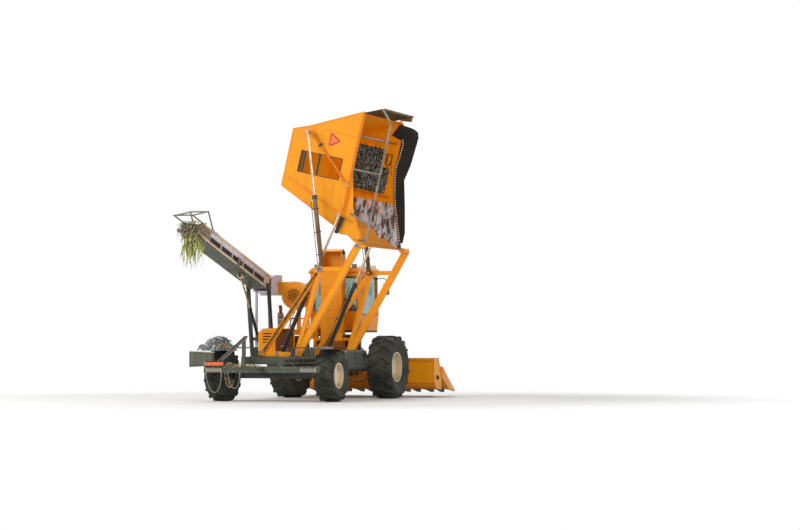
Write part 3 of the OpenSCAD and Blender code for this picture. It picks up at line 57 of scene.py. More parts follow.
# places
# Source millimetres are measured from the bin's rear wall, the centre line and the ground
hingeOut, hingeUp, binTip = 2400.0, 4310.0, math.radians(103)
binWide = binHigh = 2770.0  # the dump corner, across and up from the floor's left corner
binLong = 3100.0
railReach = -hingeOut + (binWide + 720) * math.cos(binTip) - 50 * math.sin(binTip) - 34
midX, midY = 2920.0, (2400.0 + railReach) / 2
convX, convY, convZ, convSlope, convLong = 2850.0, 2005.0, 3290.0, math.radians(15.7), 4790.0


def station(x, y, z):
    # metres in the row frame from forward, left and up in millimetres
    x, y, z = np.broadcast_arrays(*(np.asarray(a, float) for a in (x, y, z)))
    return np.stack([x - midX, y - midY, z], -1) / 1000


def inBin(u, v, w):
    # across, up and forward from the floor's left rear corner, turned with the raised bin about its hinge
    u, v, w = np.broadcast_arrays(*(np.asarray(a, float) for a in (u, v, w)))
    a, b = binWide - u, v - binHigh
    y = -hingeOut + a * math.cos(binTip) - b * math.sin(binTip)
    z = hingeUp + a * math.sin(binTip) + b * math.cos(binTip)
    return station(w, y, z)


def onConveyor(x, y, z):
    # along (the head towards minus x), across and up from the tail pivot, on the conveyor's slope
    x, y, z = np.broadcast_arrays(*(np.asarray(a, float) for a in (x, y, z)))
    c, s = math.cos(convSlope), math.sin(convSlope)
    return station(convX + x * c + z * s, y, convZ - x * s + z * c)


# camera
cameraPlace = {"spot": (-61.67e3, -25.93e3, 1570.0), "heading": 20.0, "pitch": 1.93, "lens": 106.9}
camera = bpy.data.objects.new("camera", bpy.data.cameras.new("camera"))
bpy.context.scene.collection.objects.link(camera)
camera.data.lens = cameraPlace["lens"]
camera.data.sensor_width = 36
camera.data.clip_end = 400
camera.location = station(*cameraPlace["spot"])
camera.rotation_euler = (math.radians(90 + cameraPlace["pitch"]), 0, math.radians(cameraPlace["heading"] - 90))
bpy.context.scene.camera = camera


# surfaces
def gridFaces(rows, columns, wrapRows=False, wrapColumns=False):
    # four corners of each cell of a rows x columns grid of points, joined round where it wraps
    i = np.arange(rows if wrapRows else rows - 1)[:, None]
    j = np.arange(columns if wrapColumns else columns - 1)[None, :]
    i1, j1 = (i + 1) % rows, (j + 1) % columns
    cell = np.stack(np.broadcast_arrays(i * columns + j, i1 * columns + j, i1 * columns + j1, i * columns + j1), -1)
    return cell.reshape(-1, 4)


def rimOf(rows, columns):
    # the points round the edge of a rows x columns grid, in their order
    n, m = rows, columns
    return np.concatenate([
        np.arange(m), np.arange(1, n) * m + m - 1, (n - 1) * m + np.arange(m - 2, -1, -1), np.arange(n - 2, 0, -1) * m])


def unit(v):
    return v / np.linalg.norm(v)


def leftOf(d):
    # the direction a quarter turn to the left of one in the plane
    return np.array([-d[1], d[0]])


def bandOutline(half, low, high):
    # a flat strip: half its width, and its two heights
    return [(-half, low), (half, low), (half, high), (-half, high)]


def ridgeOutline(foot, top, low, high):
    # a pressed ridge: half the widths of its foot and top, and their heights
    return [(-foot, low), (-top, high), (top, high), (foot, low)]


def outward(shape):
    # a closed shape's faces are turned round where the volume under them is negative
    points, faces = shape
    volume = 0.0
    for f in faces:
        a = points[f[:, 0]]
        for k in range(1, f.shape[1] - 1):
            volume += np.einsum("ij,ij->", a, np.cross(points[f[:, k]], points[f[:, k + 1]]))
    return shape if volume > 0 else (points, [f[:, ::-1] for f in faces])


def joined(shapes):
    # several shapes as one list of points and faces
    points, faces, start = [], [], 0
    for p, fs in shapes:
        points.append(p)
        faces += [f + start for f in fs]
        start += len(p)
    return np.concatenate(points), faces


def copies(shape, turns, places):
    # the shape's points turned by each matrix and moved to each place, all at once
    points, faces = shape
    turns = np.broadcast_to(turns, (len(places), 3, 3))
    every = np.einsum("kij,nj->kni", turns, points) + np.asarray(places)[:, None, :]
    steps = np.arange(len(places))[:, None, None] * len(points)
    return every.reshape(-1, 3), [(f[None] + steps).reshape(-1, f.shape[1]) for f in faces]


def tubes(points, closed=False):
    # skins over points ordered by tube, ring and corner; each tube is closed on itself or capped at both ends
    k, n, m = points.shape[:3]
    one = [gridFaces(n, m, closed, True)]
    if not closed:
        one += [np.arange(m)[None, ::-1], (n - 1) * m + np.arange(m)[None]]
    steps = np.arange(k)[:, None, None] * n * m
    return outward((points.reshape(-1, 3), [(f[None] + steps).reshape(-1, f.shape[1]) for f in one]))


def frameOf(normals, hint=(0.0, 0.0, 1.0)):
    # turning matrices whose third column is the normal and whose first is square to it and the hint
    n = np.atleast_2d(np.asarray(normals, float))
    n = n / np.linalg.norm(n, axis=1, keepdims=True)
    h = np.broadcast_to(np.asarray(hint, float), n.shape)
    other = np.eye(3)[np.abs(n).argmin(1)]
    h = np.where(np.abs((n * h).sum(1, keepdims=True)) > 0.97, other, h)
    a = np.cross(h, n)
    a /= np.linalg.norm(a, axis=1, keepdims=True)
    return np.stack([a, np.cross(n, a), n], -1)


def swept(path, profile, up=(0.0, 0.0, 1.0), scale=None, closed=False):
    # profile (across, up) carried along the path, square to its direction, times scale at each point; ends capped
    path, profile = np.asarray(path, float), np.asarray(profile, float)
    ahead = np.roll(path, -1, 0) - np.roll(path, 1, 0) if closed else np.gradient(path, axis=0)
    ahead /= np.linalg.norm(ahead, axis=1, keepdims=True)
    across = np.cross(ahead, np.broadcast_to(np.asarray(up, float), ahead.shape))
    across /= np.linalg.norm(across, axis=1, keepdims=True)
    lift = np.cross(across, ahead)
    s = np.ones((len(path), 2)) if scale is None else np.broadcast_to(
        np.asarray(scale, float).reshape(len(path), -1), (len(path), 2))
    points = (path[:, None] + (profile[None, :, 0] * s[:, :1])[..., None] * across[:, None]
              + (profile[None, :, 1] * s[:, 1:])[..., None] * lift[:, None])
    return tubes(points[None], closed)


def turnedForm(profile, centre, axis=(0.0, 1.0, 0.0), count=48, hollow=False):
    # profile (along, radius) turned once round the axis through the centre; both ends capped, or hollow, its last point
    # joins its first
    profile = np.asarray(profile, float)
    basis = frameOf(axis)[0]
    angle = np.linspace(0, 2 * math.pi, count, endpoint=False)
    ring = np.cos(angle)[:, None] * basis[:, 0] + np.sin(angle)[:, None] * basis[:, 1]
    points = np.asarray(centre) + profile[:, None, :1] * basis[:, 2] + profile[:, None, 1:] * ring[None]
    return tubes(points[None], hollow)


def circle(radius, count=12, start=0.0):
    a = np.linspace(0, 2 * math.pi, count, endpoint=False) + start
    return np.stack([radius * np.cos(a), radius * np.sin(a)], -1)


def inset(outline, by):
    # the outline moved inwards by a mitred amount at each corner (outline runs anticlockwise)
    p = np.asarray(outline, float)
    d = np.roll(p, -1, 0) - p
    d /= np.linalg.norm(d, axis=1, keepdims=True)
    n = np.stack([-d[:, 1], d[:, 0]], -1)
    before = np.roll(n, 1, 0)
    return p + by * (n + before) / (1 + (n * before).sum(1, keepdims=True))


def slab(outline, low, high, place, edge=1.5):
    # a flat outline drawn out between two depths, its rims rounded off by edge, put in place by a function
    p = np.asarray(outline, float)
    area = (p[:, 0] * np.roll(p[:, 1], -1) - p[:, 1] * np.roll(p[:, 0], -1)).sum()
    p = p if area > 0 else p[::-1]
    tight = inset(p, edge)
    rings = [(tight, low), (p, low + edge), (p, high - edge), (tight, high)]
    return tubes(np.stack([place(r[:, 0], r[:, 1], np.full(len(r), float(h))) for r, h in rings])[None])


def boxShape(low, high, place=station, edge=2.0):
    # a straight block with softened rims between two corners
    (x0, y0, z0), (x1, y1, z1) = low, high
    return slab([(x0, y0), (x1, y0), (x1, y1), (x0, y1)], z0, z1, place, edge)


def sideways(a, b, c):
    return station(a, c, b)  # outline in the side plane, drawn out across


def crossways(a, b, c):
    return station(c, a, b)  # outline in the plane across, drawn out along


def rodsBetween(starts, ends, radius, sides=6):
    # one straight many-sided rod for each pair of points
    p, q = np.atleast_2d(starts).astype(float), np.atleast_2d(ends).astype(float)
    basis = frameOf(q - p, (0.31, 0.17, 0.93))
    ring = circle(1.0, sides) * np.asarray(radius, float)
    offsets = ring[None, :, :1] * basis[:, None, :, 0] + ring[None, :, 1:] * basis[:, None, :, 1]
    return tubes(np.stack([p[:, None] + offsets, q[:, None] + offsets], 1))


def smoothPath(points, steps=6):
    # Catmull-Rom curve through the points, steps to each stretch
    p = np.asarray(points, float)
    ends = np.concatenate([[2 * p[0] - p[1]], p, [2 * p[-1] - p[-2]]])
    a, b, c, d = ends[:-3], ends[1:-2], ends[2:-1], ends[3:]
    t = np.linspace(0, 1, steps, endpoint=False)[None, :, None]
    a, b, c, d = (k[:, None] for k in (a, b, c, d))
    curve = 0.5 * (2 * b + (c - a) * t + (2 * a - 5 * b + 4 * c - d) * t**2 + (3 * b - a - 3 * c + d) * t**3)
    return np.concatenate([curve.reshape(-1, p.shape[1]), p[-1:]])


def leafBlades(roots, headings, long, wide, droop, curl, turnAbout, steps=9, thick=0.0016):
    # each blade: spine(s) = root + heading * long * s with a fall that grows as s squared and a sideways curl;
    # its cross-section is a flat diamond, width(s) = wide * sin(pi * s^0.7), turned about the spine by a little twist
    roots, headings = np.asarray(roots, float), np.asarray(headings, float)
    headings = headings / np.linalg.norm(headings, axis=1, keepdims=True)
    s = np.linspace(0.0, 1.0, steps)[None, :, None]
    side = np.cross(headings, (0.13, 0.21, 0.97))
    side /= np.linalg.norm(side, axis=1, keepdims=True)
    long, wide, droop, curl, turnAbout = (
        np.asarray(x, float).reshape(-1, 1, 1) for x in (long, wide, droop, curl, turnAbout))
    spine = roots[:, None] + headings[:, None] * long * s + side[:, None] * curl * np.sin(s * 4.2) * long * 0.25
    spine = spine - np.array([0, 0, 1.0]) * droop * long * s**2
    ahead = np.gradient(spine, axis=1)
    ahead /= np.linalg.norm(ahead, axis=2, keepdims=True)
    across = np.cross(ahead, np.broadcast_to((0.2, 0.1, 0.97), ahead.shape))
    across /= np.linalg.norm(across, axis=2, keepdims=True) + 1e-9
    lift = np.cross(across, ahead)
    twist = turnAbout * (0.4 + 1.4 * s)
    flat = across * np.cos(twist) + lift * np.sin(twist)
    proud = lift * np.cos(twist) - across * np.sin(twist)
    width = wide * np.clip(np.sin(np.pi * np.clip(s, 0.02, 0.985) ** 0.7), 0.06, 1)
    rim = np.stack([
        flat * width / 2, proud * thick + proud * width * 0.08, -flat * width / 2,
        -proud * thick + proud * width * 0.08], 2)
    return tubes(spine[:, :, None] + rim)


def looseLeaves(rng, roots, headings, long, wide, droop, curl, twist, steps, thick=0.0016):
    # blades of random size: long, wide and droop between two bounds each, curl and twist to either side
    n = len(roots)
    sizes = [value if np.isscalar(value) else rng.uniform(*value, n) for value in (long, wide, droop)]
    return leafBlades(roots, headings, *sizes, rng.normal(0, curl, n), rng.uniform(-twist, twist, n), steps, thick)


def piece(name, shapes, finish, body="machine", smooth=30, slot="", stands=()):
    # a mesh from one shape or a list of them, shaded smooth below the given angle, riding on its body; its slot is
    # worked out from its finish but not used
    points, faces = joined(shapes) if isinstance(shapes, list) else shapes
    mesh = bpy.data.meshes.new(name)
    corners = np.concatenate([f.ravel() for f in faces])
    counts = np.concatenate([np.full(len(f), f.shape[1]) for f in faces])
    mesh.vertices.add(len(points))
    mesh.vertices.foreach_set("co", points.astype(np.float32).ravel())
    mesh.loops.add(len(corners))
    mesh.loops.foreach_set("vertex_index", corners.astype(np.int32))
    mesh.polygons.add(len(counts))
    mesh.polygons.foreach_set("loop_start", (np.cumsum(counts) - counts).astype(np.int32))
    mesh.update(calc_edges=True)
    mesh.validate()
    mesh.shade_smooth()
    mesh.set_sharp_from_angle(angle=math.radians(smooth))
    made = bpy.data.objects.new(name, mesh)
    bpy.context.scene.collection.objects.link(made)
    mesh.materials.append(finishes[finish].made)
    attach(made, body)
    if stands:
        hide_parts(*stands)
    slot = usualSlot.get(finish) if slot == "" else slot
    return made


# finishes
def tint(red, green, blue):
    # display values from 0 to 255 as linear light
    c = np.array([red, green, blue], float) / 255
    c = np.where(c <= 0.04045, c / 12.92, ((c + 0.055) / 1.055) ** 2.4)
    return (*c, 1.0)


class Graph:
    # the shader nodes of a material or a world; every input takes a number, a colour or another node's output
    def __init__(self, tree):
        self.tree = tree
        tree.nodes.clear()

    def feed(self, socket, value):
        if isinstance(value, bpy.types.NodeSocket):
            self.tree.links.new(value, socket)
        else:
            socket.default_value = value

    def add(self, kind, options=None, **inputs):
        made = self.tree.nodes.new("ShaderNode" + kind)
        for key, value in (options or {}).items():
            setattr(made, key, value)
        for key, value in inputs.items():
            numbered = key[0] == "i" and key[1:].isdigit()
            self.feed(made.inputs[int(key[1:]) if numbered else key.replace("_", " ")], value)
        return made

    def maths(self, operation, a, b=0.0, clamp=False):
        return self.add("Math", {"operation": operation, "use_clamp": clamp}, i0=a, i1=b).outputs[0]

    def plus(self, a, b, clamp=False):
        return self.maths("ADD", a, b, clamp)

    def minus(self, a, b, clamp=False):
        return self.maths("SUBTRACT", a, b, clamp)

    def times(self, a, b, clamp=False):
        return self.maths("MULTIPLY", a, b, clamp)

    def most(self, a, b):
        return self.maths("MAXIMUM", a, b)

    def noise(self, where, scale, detail=3.0, roughness=0.55, distortion=0.0):
        made = self.add(
            "TexNoise", Vector=where, Scale=scale, Detail=detail, Roughness=roughness, Distortion=distortion)
        return made.outputs[0]

    def cells(self, where, scale):
        return self.add("TexVoronoi", Vector=where, Scale=scale).outputs["Distance"]

    def span(self, value, low, high, to=(0.0, 1.0), smooth=True):
        # value from low to high spread over the two bounds in to
        options = {"interpolation_type": "SMOOTHSTEP"} if smooth else {}
        made = self.add("MapRange", options, Value=value, From_Min=low, From_Max=high, To_Min=to[0], To_Max=to[1])
        return made.outputs[0]

    def blend(self, amount, first, second):
        # a plain colour is given by its display values
        first, second = (tint(*c) if isinstance(c, tuple) else c for c in (first, second))
        made = self.add("Mix", {"data_type": "RGBA", "blend_type": "MIX"}, i0=amount, i6=first, i7=second)
        return made.outputs[2]

    def vector(self, operation, a, b, output=0):
        return self.add("VectorMath", {"operation": operation}, i0=a, i1=b).outputs[output]

    def stretched(self, where, size):
        return self.vector("MULTIPLY", where, size)

    def parts(self, value):
        return self.add("SeparateXYZ", i0=value).outputs


class Finish(Graph):
    # a material round one shader; where and normal are measured on the piece itself
    def __init__(self, name):
        self.made = bpy.data.materials.new(name)
        self.made.use_nodes = True
        super().__init__(self.made.node_tree)
        self.shader = self.tree.nodes.new("ShaderNodeBsdfPrincipled")
        self.tree.links.new(self.shader.outputs[0], self.tree.nodes.new("ShaderNodeOutputMaterial").inputs[0])
        place = self.tree.nodes.new("ShaderNodeTexCoord")
        self.where, self.normal = place.outputs["Object"], place.outputs["Normal"]

    def set(self, **values):
        for key, value in values.items():
            self.feed(self.shader.inputs[key.replace("_", " ")], value)

    def now(self, key):
        # what feeds the shader's input so far
        return self.shader.inputs[key].links[0].from_socket

    def bumped(self, height, depth, strength=0.6):
        self.set(Normal=self.add("Bump", Height=height, Distance=depth, Strength=strength).outputs[0])

    def edgeMask(self, radius):
        # 1 near a hard edge, from how far the rounded normal leans off the true one
        rounded = self.add("Bevel", {"samples": 4}, Radius=radius).outputs[0]
        true = self.tree.nodes.new("ShaderNodeNewGeometry").outputs["Normal"]
        return self.span(self.vector("DOT_PRODUCT", rounded, true, "Value"), 0.995, 0.9)


def paintedSteel(name, base, faded, dust, bare, wear, dusty=0.35, gloss=0.42, streaks=0.35, edge=0.008, coat=0.06):
    # sheet-metal paint: sun fade in broad patches, run-down streaks, dust on what faces up, fine scratches, worn edges
    g = Finish(name)
    broad = g.noise(g.where, 0.55, 4)
    fine = g.noise(g.where, 26, 5, 0.65)
    speck = g.noise(g.where, 140, 3, 0.7)
    runs = g.noise(g.stretched(g.where, (9.0, 9.0, 0.9)), 1.0, 5, 0.6)
    colour = g.blend(g.span(broad, 0.32, 0.72), base, faded)
    colour = g.blend(g.times(g.span(runs, 0.52, 0.78), streaks), colour, dust)
    up = g.parts(g.normal)[2]
    lying = g.times(g.span(up, 0.25, 0.95), g.span(g.plus(broad, fine), 0.7, 1.15), clamp=True)
    spots = g.times(g.span(speck, 0.62, 0.75), 0.25)
    amount = g.times(g.most(lying, spots), dusty * 1.6, clamp=True)
    colour = g.blend(amount, colour, dust)
    scratchWhere = g.stretched(g.where, (3.0, 46.0, 11.0))
    scratch = g.span(g.noise(scratchWhere, 2.2, 4, 0.72), 0.66, 0.72)
    worn = g.times(g.edgeMask(edge), g.span(fine, 0.42, 0.62))
    worn = g.most(worn, g.times(scratch, g.span(broad, 0.45, 0.7)))
    worn = g.times(worn, wear, clamp=True)
    colour = g.blend(worn, colour, bare)
    g.set(Base_Color=colour)
    rough = g.plus(g.span(fine, 0.3, 0.8, (gloss - 0.06, gloss + 0.12)), g.times(amount, 0.35), clamp=True)
    g.set(Roughness=rough)
    g.set(Coat_Weight=coat, Coat_Roughness=0.2, Specular_IOR_Level=0.28)
    ripple = g.plus(g.times(g.noise(g.where, 1.6, 2), 3.0), g.times(fine, 0.12))
    g.bumped(g.minus(ripple, g.times(worn, 0.1)), 0.004, 0.5)
    return g


def bareMetal(name, base, second, rust, rusty, rough, metal=0.9, grain=(40.0, 40.0, 40.0), depth=0.0006):
    # bare or rusting metal: two tones, rust in patches, a grain along one direction
    g = Finish(name)
    patch = g.noise(g.where, 3.2, 6, 0.62)
    lines = g.noise(g.stretched(g.where, grain), 1.0, 4, 0.6)
    fine = g.noise(g.where, 90, 4, 0.7)
    colour = g.blend(lines, base, second)
    amount = g.times(
        g.span(g.plus(patch, g.times(fine, 0.25)), 0.68 - rusty * 0.35, 0.86 - rusty * 0.3), min(1.0, rusty * 1.6),
        clamp=True)
    colour = g.blend(amount, colour, rust)
    g.set(Base_Color=colour)
    g.set(Metallic=g.times(g.minus(1.0, amount), metal))
    g.set(Roughness=g.span(g.plus(amount, g.times(lines, 0.3)), 0.0, 1.3, (rough, 0.92)))
    g.bumped(g.plus(lines, g.times(g.plus(amount, fine), 0.8)), depth, 0.7)
    return g


def rubberFinish(name, base, dust, dusty=0.4, rough=0.72, scale=18.0, depth=0.0012):
    # rubber: dull black with ground-in dust in patches and a fine pebbled skin
    g = Finish(name)
    patch = g.noise(g.where, 2.1, 5, 0.6)
    fine = g.noise(g.where, scale * 6, 4, 0.7)
    pebble = g.cells(g.where, scale * 9)
    amount = g.times(g.span(g.plus(patch, g.times(fine, 0.35)), 0.5, 0.86), dusty, clamp=True)
    g.set(Base_Color=g.blend(amount, base, dust))
    g.set(Roughness=g.span(amount, 0.0, 1.0, (rough, 0.95)))
    g.bumped(g.plus(pebble, fine), depth, 0.5)
    return g


def clearGlass(name, colour, dust):
    # tinted window glass with a film of dust in smears and specks
    g = Finish(name)
    film = g.noise(g.stretched(g.where, (2.0, 2.0, 0.8)), 1.6, 5, 0.6)
    specks = g.noise(g.where, 120, 2, 0.6)
    amount = g.plus(g.span(film, 0.4, 0.8, (0.03, 0.2)), g.span(specks, 0.66, 0.74, (0.0, 0.25)), clamp=True)
    g.set(Base_Color=g.blend(amount, colour, dust))
    g.set(Roughness=g.span(amount, 0.0, 0.5, (0.03, 0.4)))
    g.set(Transmission_Weight=g.minus(0.94, amount, clamp=True))
    g.set(IOR=1.25)
    return g


def leafFinish(name, base, second, edgeTone, through=0.25):
    # long blades: two tones in patches, pale veins along the blade, a dull skin that lets some light through
    g = Finish(name)
    patch = g.noise(g.where, 5.5, 4, 0.6)
    veins = g.noise(g.stretched(g.where, (160.0, 160.0, 30.0)), 1.0, 3, 0.6)
    colour = g.blend(g.span(patch, 0.35, 0.68), base, second)
    colour = g.blend(g.span(veins, 0.5, 0.8, (0.0, 0.7)), colour, edgeTone)
    g.set(Base_Color=colour)
    g.set(Roughness=g.span(patch, 0.3, 0.8, (0.55, 0.85)))
    g.set(Subsurface_Weight=through, Subsurface_Radius=(0.006, 0.008, 0.003))
    g.bumped(veins, 0.0008, 0.7)
    return g


def lensFinish(name, colour, dust, through=0.35):
    # moulded lamp lens: clear colour over small prisms, with dust in patches
    g = Finish(name)
    film = g.noise(g.where, 14, 4, 0.6)
    prisms = g.cells(g.where, 110.0)
    g.set(Base_Color=g.blend(g.span(film, 0.45, 0.8, (0.0, 0.35)), colour, dust))
    g.set(Roughness=g.span(film, 0.4, 0.8, (0.12, 0.45)))
    g.set(Transmission_Weight=through, Coat_Weight=0.5)
    g.bumped(prisms, 0.0008, 0.6)
    return g


def sheetOfLight(name, first, second):
    # fluorescent film under a clear skin of small prisms
    g = Finish(name)
    cells = g.cells(g.where, 160.0)
    patch = g.noise(g.where, 9, 4)
    g.set(Base_Color=g.blend(g.span(patch, 0.3, 0.8), first, second))
    g.set(Roughness=g.span(patch, 0.3, 0.8, (0.24, 0.4)))
    g.set(Coat_Weight=0.6)
    g.bumped(cells, 0.0006, 0.6)
    return g


finishes = {
    "orange": paintedSteel("orangePaint", (240, 146, 2), (234, 150, 12), (176, 116, 40), (96, 66, 40), 0.9, 0.3),
    # weathered orange, a little darker and streakier, which also paints the shade along the bin's bars
    "oldOrange": paintedSteel(
        "weatheredShadePaint", (240, 144, 8), (226, 132, 14), (150, 104, 50), (96, 62, 34), 0.8, 0.4, 0.5, 0.5),
    "insideOrange": paintedSteel(
        "insidePaint", (236, 140, 12), (214, 128, 26), (150, 112, 62), (120, 100, 80), 1.0, 0.4, 0.5),
    "cream": paintedSteel(
        "creamPaint", (222, 205, 176), (206, 186, 158), (140, 124, 92), (116, 78, 56), 0.9, 0.4, 0.45),
    "lilac": paintedSteel(
        "lilacPaint", (224, 222, 240), (204, 202, 214), (136, 130, 108), (98, 76, 62), 0.9, 0.45, 0.5),
    "dark": paintedSteel("darkPaint", (46, 50, 48), (62, 64, 60), (120, 114, 94), (92, 66, 50), 0.9, 0.45, 0.55),
    "deckGrey": paintedSteel("deckPaint", (84, 88, 74), (72, 78, 66), (128, 122, 98), (98, 74, 56), 0.9, 0.45, 0.55),
    "boxGrey": paintedSteel(
        "boxPaint", (92, 94, 80), (76, 78, 66), (140, 134, 110), (104, 80, 60), 0.9, 0.5, 0.55, 0.6),
    "hoseGrey": rubberFinish("greyHose", (112, 116, 106), (150, 148, 130), 0.4, 0.7, 20.0, 0.0006),
    # dark green-grey of the underside pan: painted shade with a painted green reflection
    "panGreen": paintedSteel("panShadePaint", (66, 78, 54), (56, 66, 48), (96, 96, 72), (88, 70, 50), 0.7, 0.3, 0.5),
    "brown": paintedSteel("brownSheet", (62, 44, 28), (84, 60, 38), (126, 104, 78), (110, 78, 50), 0.8, 0.4, 0.6),
    "oldBarrel": bareMetal(
        "oldBarrel", (128, 112, 72), (98, 86, 56), (112, 66, 34), 0.55, 0.5, 0.15, (12.0, 12.0, 30.0)),
    "blackBarrel": paintedSteel(
        "blackBarrel", (34, 36, 34), (52, 52, 48), (116, 108, 88), (92, 66, 48), 0.9, 0.4, 0.45),
    "iron": bareMetal("rustyIron", (92, 78, 66), (66, 58, 52), (112, 62, 34), 0.8, 0.6, 0.5),
    "chrome": bareMetal(
        "chromeRod", (214, 192, 160), (176, 156, 128), (120, 86, 54), 0.2, 0.2, 1.0, (14.0, 14.0, 14.0), 0.0002),
    "pipe": bareMetal("greyPipe", (150, 144, 132), (116, 110, 100), (112, 78, 52), 0.4, 0.5, 0.35),
    "steel": bareMetal("polishedSteel", (186, 184, 178), (150, 148, 142), (126, 84, 52), 0.3, 0.3, 1.0),
    "bolt": bareMetal("zincBolt", (206, 204, 196), (168, 166, 158), (122, 86, 56), 0.3, 0.34, 1.0, (60.0, 60.0, 60.0)),
    "rubber": rubberFinish("blackRubber", (13, 14, 12), (64, 62, 50), 0.25),
    "tyre": rubberFinish("tyreRubber", (19, 21, 18), (92, 90, 70), 0.4, 0.78, 9.0, 0.002),
    "plastic": rubberFinish("blackPlastic", (26, 26, 27), (96, 92, 80), 0.25, 0.5, 30.0, 0.0005),
    "glass": clearGlass("windowGlass", (196, 214, 208), (176, 166, 140)),
    "red": sheetOfLight("reflectiveFilm", (250, 96, 26), (240, 116, 40)),
    "strip": sheetOfLight("reflectiveStrip", (234, 82, 16), (228, 108, 52)),
    "redRim": sheetOfLight("reflectiveRim", (186, 20, 18), (160, 24, 20)),
    "greyLens": rubberFinish("greyLens", (122, 120, 112), (146, 142, 130), 0.5, 0.45, 4.0, 0.0002),
    "clearLens": lensFinish("clearLens", (226, 230, 226), (150, 142, 120), 0.8),
    "amberLens": lensFinish("amberLens", (244, 140, 20), (150, 122, 80), 0.6),
    "yellowPlastic": rubberFinish("yellowPlastic", (226, 176, 34), (150, 130, 86), 0.3, 0.42, 30.0, 0.0004),
    "darkWire": bareMetal("darkWire", (54, 50, 46), (74, 66, 58), (104, 64, 38), 0.4, 0.5, 0.6),
    "brightBolt": bareMetal(
        "brightBolt", (232, 230, 224), (206, 204, 198), (150, 120, 84), 0.15, 0.3, 0.8, (60.0, 60.0, 60.0)),
    "greenLeaf": leafFinish("greenLeaf", (140, 152, 72), (192, 186, 112), (216, 210, 156)),
    "shadeLeaf": leafFinish("shadeLeaf", (44, 52, 30), (74, 78, 46), (128, 124, 76), 0.05),
    "strawLeaf": leafFinish("strawLeaf", (190, 176, 140), (122, 98, 66), (216, 206, 176), 0.05),
    # dry leaves: the pale base tone is taken from the lit blades, and the bluish grey second tone is painted shade
    "dryLeaf": leafFinish("dryLeaf", (190, 196, 190), (122, 130, 136), (228, 232, 226), 0.1),
    "ripeLeaf": leafFinish("ripeLeaf", (226, 176, 62), (196, 140, 44), (240, 214, 140)),
    "cloth": rubberFinish("seatCloth", (44, 46, 48), (92, 88, 80), 0.25, 0.85, 60.0, 0.0006),
}

usualSlot = {}
for slotName, finishNames in {
    "orange_paint": "orange oldOrange insideOrange", "cream_paint": "cream panGreen", "lilac_paint": "lilac",
    "dark_paint": "blackBarrel dark", "black_rubber": "rubber hoseGrey", "black_plastic": "plastic cloth",
    "red_plastic": "redRim strip", "tyre_rubber": "tyre",
}.items():
    usualSlot.update({key: slotName for key in finishNames.split()})

nodeFinish = {
    "orange": "gantries cab_shell cab_roof engine_cover ear_elevator trash_fan platform_ladder bin_floor "
              "feeder_house head_frame head_snouts cab_door",
    "oldOrange": "bin_ribs",
    "cream": "work_lamps front_left_rim front_right_rim rear_left_rim rear_right_rim",
    "lilac": "trash_hopper head_auger",
    "pipe": "bin_rails",
    "dark": "front_axle rear_axle cab_floor fuel_tank conveyor_mast rear_fenders row_units steering_column "
            "left_knuckle right_knuckle conveyor_drum",
    "deckGrey": "chassis",
    "boxGrey": "rear_box",
    "brown": "bin_hood",
    "oldBarrel": "left_barrels",
    "blackBarrel": "right_barrels conveyor_barrel head_barrels",
    "iron": "engine_block exhaust",
    "chrome": "left_rods right_rods conveyor_rod head_rods",
    "rubber": "bin_curtain conveyor_belt",
    "tyre": "front_left_tyre front_right_tyre rear_left_tyre rear_right_tyre",
    "plastic": "cab_seat",
    "glass": "cab_glass door_glass",
    "red": "bin_triangle",
}


def coat(nodeName, finish):
    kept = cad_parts[nodeName].data.materials
    kept.clear()
    kept.append(finish.made)


for finishName, nodeNames in nodeFinish.items():
    for nodeName in nodeNames.split():
        coat(nodeName, finishes[finishName])


def troughFinish():
    # cream rails and plates; up and along are measured on the conveyor's slope: grey tubes above the top rail, the pan
    # under the belt tinted dark green-grey where it faces down, as painted shade with a painted green reflection, and
    # rust and dirt that thicken towards the head
    g = paintedSteel("troughPaint", (222, 205, 176), (206, 186, 158), (140, 124, 92), (116, 78, 56), 0.9, 0.4, 0.45)
    paint = g.now("Base Color")
    x, y, z = g.parts(g.where)
    c, s = math.cos(convSlope), math.sin(convSlope)
    dx = g.plus(x, (midX - convX) / 1000)
    dz = g.plus(z, -convZ / 1000)
    along = g.minus(g.times(dx, c), g.times(dz, s))
    up = g.plus(g.times(dx, s), g.times(dz, c))
    patch = g.noise(g.where, 6.0, 6, 0.7)
    rust = g.times(g.span(g.plus(along, g.times(g.minus(patch, 0.5), 1.8)), -3.2, -4.9), 0.85)
    colour = g.blend(rust, paint, g.blend(g.span(g.noise(g.where, 24, 4, 0.7), 0.4, 0.6), (108, 74, 46), (52, 46, 38)))
    colour = g.blend(g.span(up, 0.393, 0.4), colour, g.blend(patch, (126, 124, 112), (92, 84, 72)))
    # painted shade: faces that look down off the slope, below the belt and within the pan's width, turn dark green-grey
    facing = g.vector("DOT_PRODUCT", g.normal, (-s, 0.0, -c), "Value")
    pan = g.times(g.span(facing, 0.6, 0.8), g.span(up, -0.02, -0.035))
    pan = g.times(pan, g.span(g.maths("ABSOLUTE", g.plus(y, (midY - convY) / 1000)), 0.272, 0.266))
    colour = g.blend(pan, colour, g.blend(patch, (74, 86, 60), (54, 62, 46)))
    g.set(Base_Color=colour)
    return g


coat("conveyor_trough", troughFinish())
print("finishes on the nodes")

# wheels
wheels = {
    "front": {"across": 1850, "wide": 790, "seat": 420, "x": 4250, "y": 1560, "lugs": 16, "rimBolts": 12},
    "rear": {"across": 1450, "wide": 630, "seat": 335, "x": -500, "y": 1645, "lugs": 14, "rimBolts": 10},
    "lugHigh": 46, "lugFoot": 54, "lugTop": 31, "lugLag": 0.25,
}


